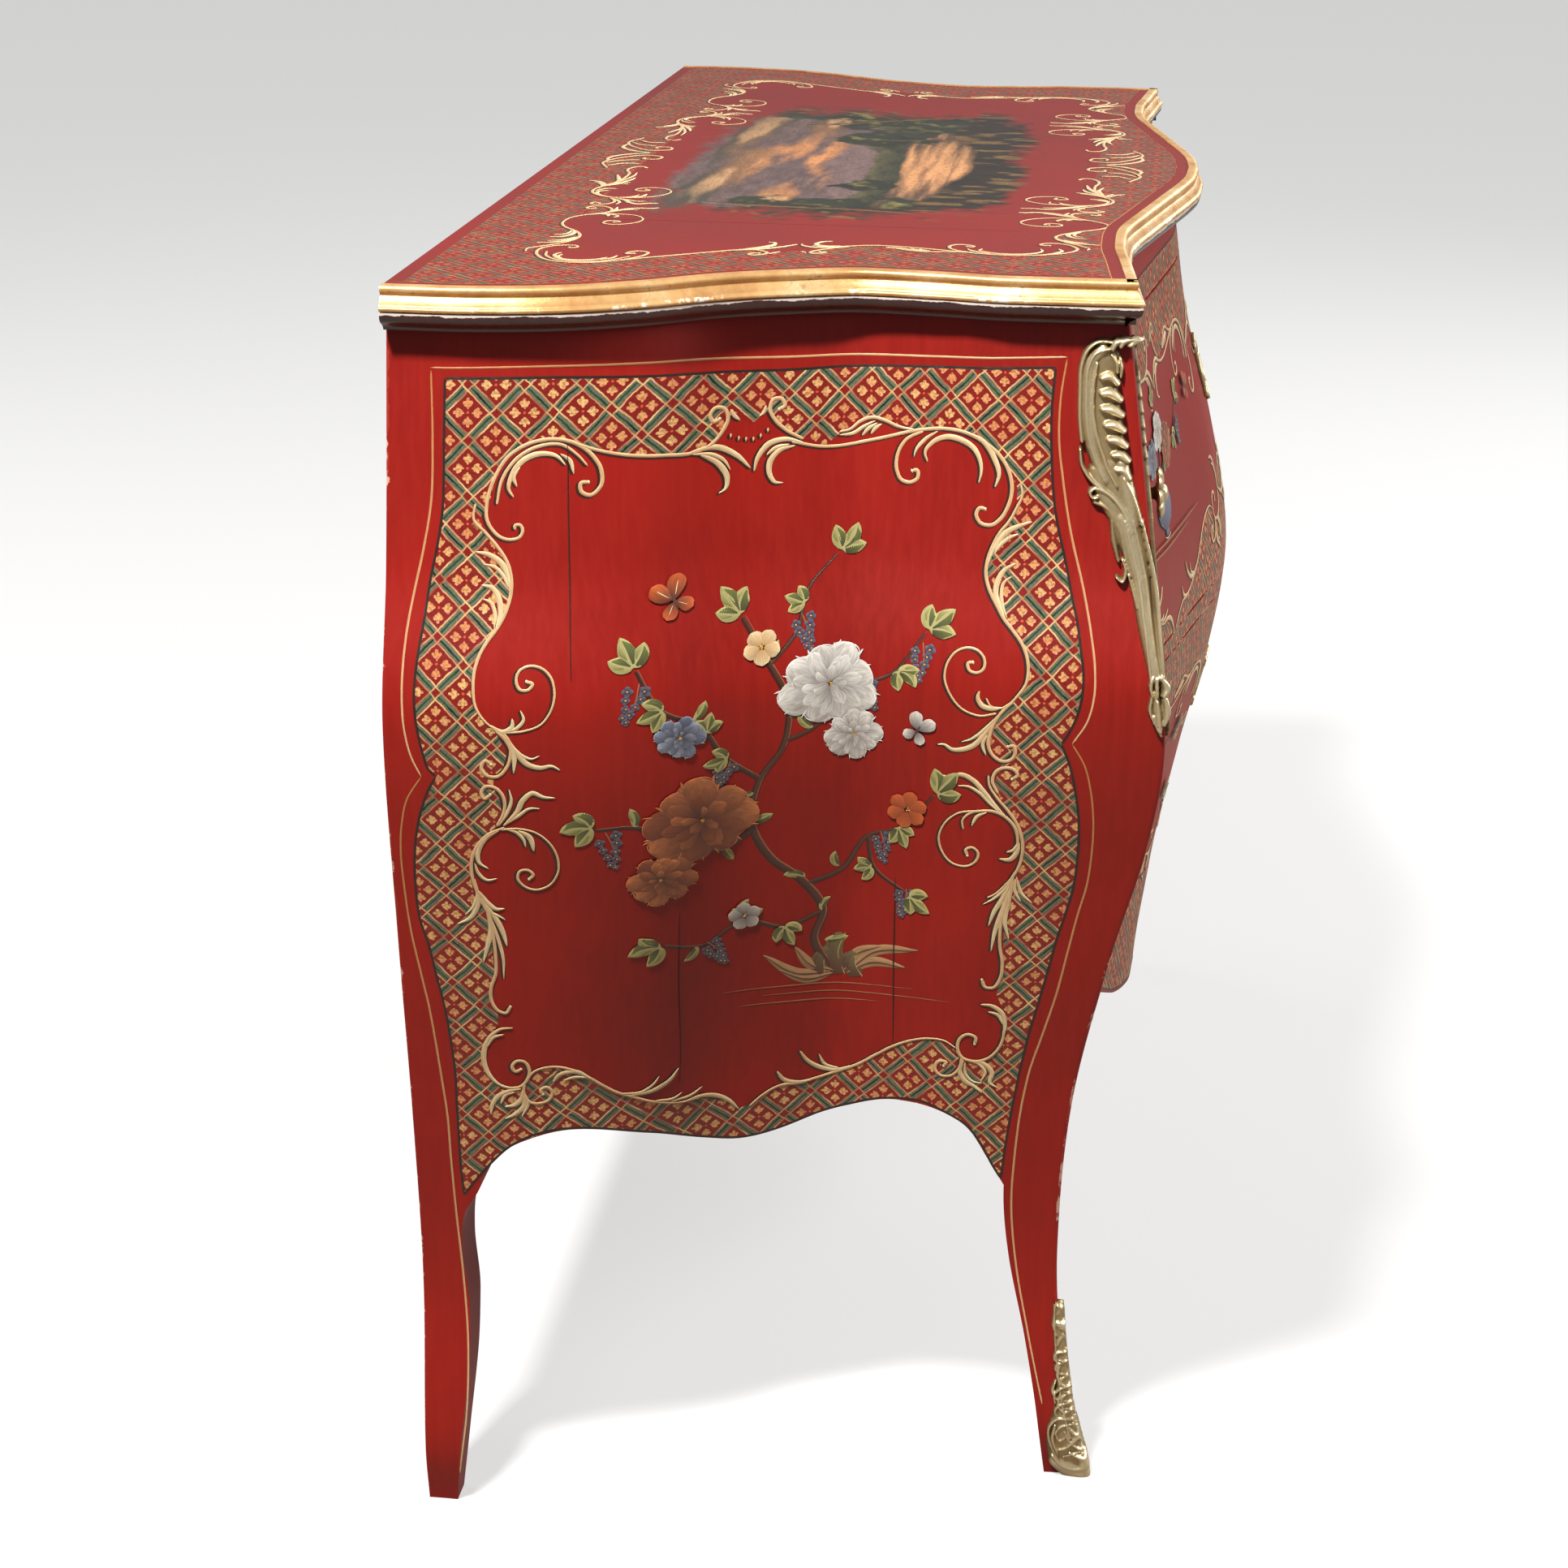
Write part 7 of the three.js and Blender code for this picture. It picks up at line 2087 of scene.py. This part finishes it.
# Reach over the side face, share of it and of the ribs' height on the front face
MOUNT_REACH, MOUNT_FRONT_SHARE, MOUNT_FRONT_RISE = 42 * MM, 0.76, 0.4
SABOT_REACH = 24 * MM
KNOB_STEPS = 96
PETAL_NOTCH = 0.09
KNOB_PLACE = 340 * MM
KNOB_RADIUS = 18.5 * MM
KNOB_STAND = 11.5 * MM + 0.95 * MM
KNOB_SHARES = {"lower": 0.46, "upper": 0.53}
KNOB_STUD = (2 * MM, -42 * MM)
# Radius as a share of the rosette's, height over the disc in mm, and how far the petals shape it
KNOB_PROFILE = [
    (0.02, 7, 0), (0.13, 6.9, 0), (0.24, 6.2, 0), (0.31, 4.9, 0), (0.34, 3.4, 0), (0.36, 3, 0.2),
    (0.42, 3.7, 0.6), (0.55, 4.3, 1), (0.7, 4.2, 1), (0.84, 3.4, 1), (0.94, 2.4, 1), (1, 1.5, 1),
    (0.98, 0.7, 1), (0.9, 0.1, 1), (0.6, -0.6, 0.3), (0.35, -1.4, 0), (0.26, -2.4, 0), (0.227, -3.4, 0),
    (0.22, -6, 0), (0.24, -8.6, 0), (0.36, -9.1, 0), (0.38, -10, 0), (0.38, -11.4, 0), (0.11, -11.5, 0)]


def make_knob(drawer, name, side):
    """A rosette of eight petals on a turned neck: r = R share (1 - notch p), p = 1 - |cos 4t|."""
    low, high, _ = DRAWERS[drawer]
    z = low + (high - low) * KNOB_SHARES[drawer]
    x = side * KNOB_PLACE
    foot = front_ground(np.array(x), np.array(z), np.array(0.0))
    axis = front_ground(np.array(x), np.array(z), np.array(1.0)) - foot
    turn = span(0, 2 * math.pi, KNOB_STEPS + 1)[:-1][None, :]
    share, rise, shaped = np.array(KNOB_PROFILE).T[..., None]
    petal = 1 - np.abs(np.cos(4 * turn))
    radius = KNOB_RADIUS * share * (1 - PETAL_NOTCH * petal * shaped)
    rise = rise * MM - 1.5 * MM * petal * shaped * (rise > 0.5) * np.sqrt(np.maximum(petal, 0))
    radius = np.concatenate([radius, np.full((2, KNOB_STEPS), KNOB_STUD[0])])
    rise = np.concatenate([rise, np.full((1, KNOB_STEPS), rise[-1, 0]),
                           np.full((1, KNOB_STEPS), KNOB_STUD[1])])
    across = np.cross(axis, (0, 0, 1.0))
    across /= np.linalg.norm(across)
    upward = np.cross(across, axis)
    points = foot + radius[..., None] * (np.cos(turn)[..., None] * across + np.sin(turn)[..., None] * upward)
    points = points + (rise + KNOB_STAND)[..., None] * axis
    relief = np.clip((rise / MM + 1) / 7 + 0.35 - petal * 0.45 * (rise > 0), 0, 1)
    node = f"{drawer}_knob_{name}"
    loft(node, points, f"{drawer}_drawer", node, "brass", {"relief": relief})


ESCUTCHEON_HALF = (17 * MM, 27 * MM)
ESCUTCHEON_SHARE = 0.62
# Ribs of one half of the keyhole plate, in mm from its middle
PLATE_RIBS = [
    (1.6, (16, 24, 16), [(0, -14), (0, 0), (0, 14)]),
    (1.5, (12, 20, 12), [(-4, -8), (-4, 0), (-4, 8)]),
    (2.8, (1.6, 2.2, 1.6), [(-3, 25), (-9, 21), (-13, 13), (-12, 4), (-14.5, -3), (-13, -12), (-8, -20),
                            (-2, -25)]),
    (3.0, (1.4, 2.6, 1.2), [(-12, 12), (-15.5, 15), (-15.5, 19), (-12, 20), (-10, 17)]),
    (3.0, (1.4, 2.6, 1.2), [(-11, -13), (-15, -15), (-15.5, -19), (-12, -21), (-9.5, -18)]),
    (3.0, (1.6, 3.2, 1.4), [(-1, 15), (-3, 21), (0, 26)]),
    (3.0, (1.6, 3.2, 1.4), [(-1, -14), (-3, -20), (0, -26)]),
    (2.9, (1.2, 1.6, 1.2), [(0, 10), (-5, 8), (-7, 0), (-5, -9), (0, -12)]),
]


def make_escutcheon(drawer):
    """The keyhole plate: half of its ribs and their mirror image, with the keyhole taken out."""
    low, high, _ = DRAWERS[drawer]
    middle = low + (high - low) * ESCUTCHEON_SHARE
    wide, tall = ESCUTCHEON_HALF
    across, up = np.broadcast_arrays(span(-wide, wide, 90)[None, :], span(-tall, tall, 140)[:, None])
    ribs = []
    for crest, widths, points in PLATE_RIBS:
        for mirror in (1, -1):
            ribs.append((crest, widths, np.array(points, float) * MM * (mirror, 1)))
    keyhole = [(2.3 * MM, [(0, 1 * MM), (0, 1.4 * MM)]), (1.1 * MM, [(0, 0), (0, -7 * MM)])]
    height = cast_relief(across, up, ribs, keyhole)
    place = lambda a, z, lift: front_ground(a, z + middle, lift)
    node = f"{drawer}_escutcheon"
    casting(node, place, across, up, height, f"{drawer}_drawer", node)


# Floor, light and camera
GLOSSY_SHARE = 0.27
FLOOR_SIZE = 60
FLOOR_DIM, FLOOR_PALE = (0.15, 0.1, 0.06), (0.3, 0.295, 0.29)
FLOOR_GLOW, GLOW_STRENGTH = (0.98, 0.98, 0.97), 0.62
ROOM_DIM, ROOM_PALE = (0.08, 0.08, 0.09), (0.66, 0.66, 0.655)
# Name, place, point it faces, size in metres and power in watts
LAMPS = [("key_lamp", (-2.1, 0.7, 3.6), (-0.4, 0, 0.5), 0.35, 225),
         ("fill_lamp", (-3.0, -1.2, 3.0), (-0.4, 0, 0.5), 1.6, 8),
         ("front_lamp", (0.6, -3.8, 2.4), (0, 0, 0.5), 1.6, 150),
         ("far_lamp", (3.2, -1.8, 2.6), (0.3, 0, 0.5), 1.6, 60),
         ("back_lamp", (1.4, 3.6, 2.2), (0, 0, 0.5), 1.6, 55)]


def seen_by(shader):
    """How much of the pale backdrop a ray sees: all of it from the camera, a share in a reflection."""
    camera = shader.add("ShaderNodeLightPath", "Is Camera Ray")
    glossy = shader.add("ShaderNodeLightPath", "Is Glossy Ray")
    through = shader.add("ShaderNodeLightPath", "Is Transmission Ray")
    return camera + glossy * GLOSSY_SHARE + through


def make_stage():
    """A floor and a backdrop that are pale to the camera, show by a share in reflections, and are a dim
    room to every other ray."""
    bpy.ops.mesh.primitive_plane_add(size=FLOOR_SIZE, location=(0, 0, 0))
    floor = bpy.context.object
    floor.name = "floor"
    made = bpy.data.materials.new("pale_floor")
    made.use_nodes = True
    shader = Shader(made.node_tree)
    seen = seen_by(shader)
    principled = made.node_tree.nodes["Principled BSDF"]
    plug(made.node_tree, principled.inputs["Base Color"], shader.mix(seen, FLOOR_DIM, FLOOR_PALE))
    principled.inputs["Roughness"].default_value = 0.7
    principled.inputs["Specular IOR Level"].default_value = 0.0
    principled.inputs["Emission Color"].default_value = (*FLOOR_GLOW, 1)
    plug(made.node_tree, principled.inputs["Emission Strength"], seen * GLOW_STRENGTH)
    floor.data.materials.append(made)
    floor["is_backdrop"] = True
    world = bpy.data.worlds.new("studio")
    bpy.context.scene.world = world
    world.use_nodes = True
    shader = Shader(world.node_tree)
    background = world.node_tree.nodes["Background"]
    seen = seen_by(shader)
    plug(world.node_tree, background.inputs["Color"], shader.mix(seen, ROOM_DIM, ROOM_PALE))
    background.inputs["Strength"].default_value = 1.0
    for lamp in LAMPS:
        add_lamp(*lamp)
    bpy.context.scene.view_settings.view_transform = "Standard"


def dress_nodes():
    """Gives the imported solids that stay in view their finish."""
    slots = {entry["node"]: entry["material_slot"] for entry in frame["record"]["subparts"]}
    finish = {"red_lacquer": "red", "dark_lacquer": "maroon", "gilt_wood": "gilt", "cast_brass": "brass",
              "carcass_wood": "timber", "iron": "iron"}
    for name, node in frame["nodes"].items():
        look = finish[slots[name]]
        if look == "timber" and ("_side_" in name or "runner" in name or "kicker" in name):
            look = "timber_deep"
        if name.startswith("back_board"):
            look = "timber_tall"
        node.data.materials.clear()
        node.data.materials.append(FINISHES[look])


make_stage()
add_camera()
dress_nodes()
for name, side in SIDES:
    side_panel(name, side)
    front_post(name, side)
    rear_post(name, side)
    lattice_band(name, side)
    side_scrollwork(name, side)
    side_picture(name, side)
    make_corner_casting(name, side, "corner_mount", MOUNT_RIBS, MOUNT_TOP - MOUNT_LENGTH, MOUNT_TOP,
                        MOUNT_REACH, MOUNT_FRONT_SHARE, MOUNT_FRONT_RISE)
    make_corner_casting(name, side, "foot_mount", SABOT_RIBS, 0, SABOT_HEIGHT, SABOT_REACH, 1, 1)
    for drawer in DRAWERS:
        make_knob(drawer, name, side)
make_front()
for drawer in DRAWERS:
    make_escutcheon(drawer)
make_top()
front_painting()
top_painting()
make_top_picture()
make_moulding("gilt_moulding", GILT_PROFILE, GILT_LOW, TOP, "gilt",
              lambda shares: np.where(shares[:, 0] > 0.85, 1.0, 0.3))
# The edge value climbs to 1.75 at the lower moulding's top, so that its white chips join into a pale line
# along the bead: partly worn gesso, partly a painted highlight
make_moulding("lower_moulding", LOWER_PROFILE, BODY_HEIGHT, GILT_LOW - 0.3 * MM, "maroon",
              lambda shares: np.interp(shares[:, 1], [0.62, 0.84, 1], [0.3, 1.0, 1.75]))

visual_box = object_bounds()
{"cad": [list(corner) for corner in cad_box], "visual": [list(corner) for corner in visual_box]}
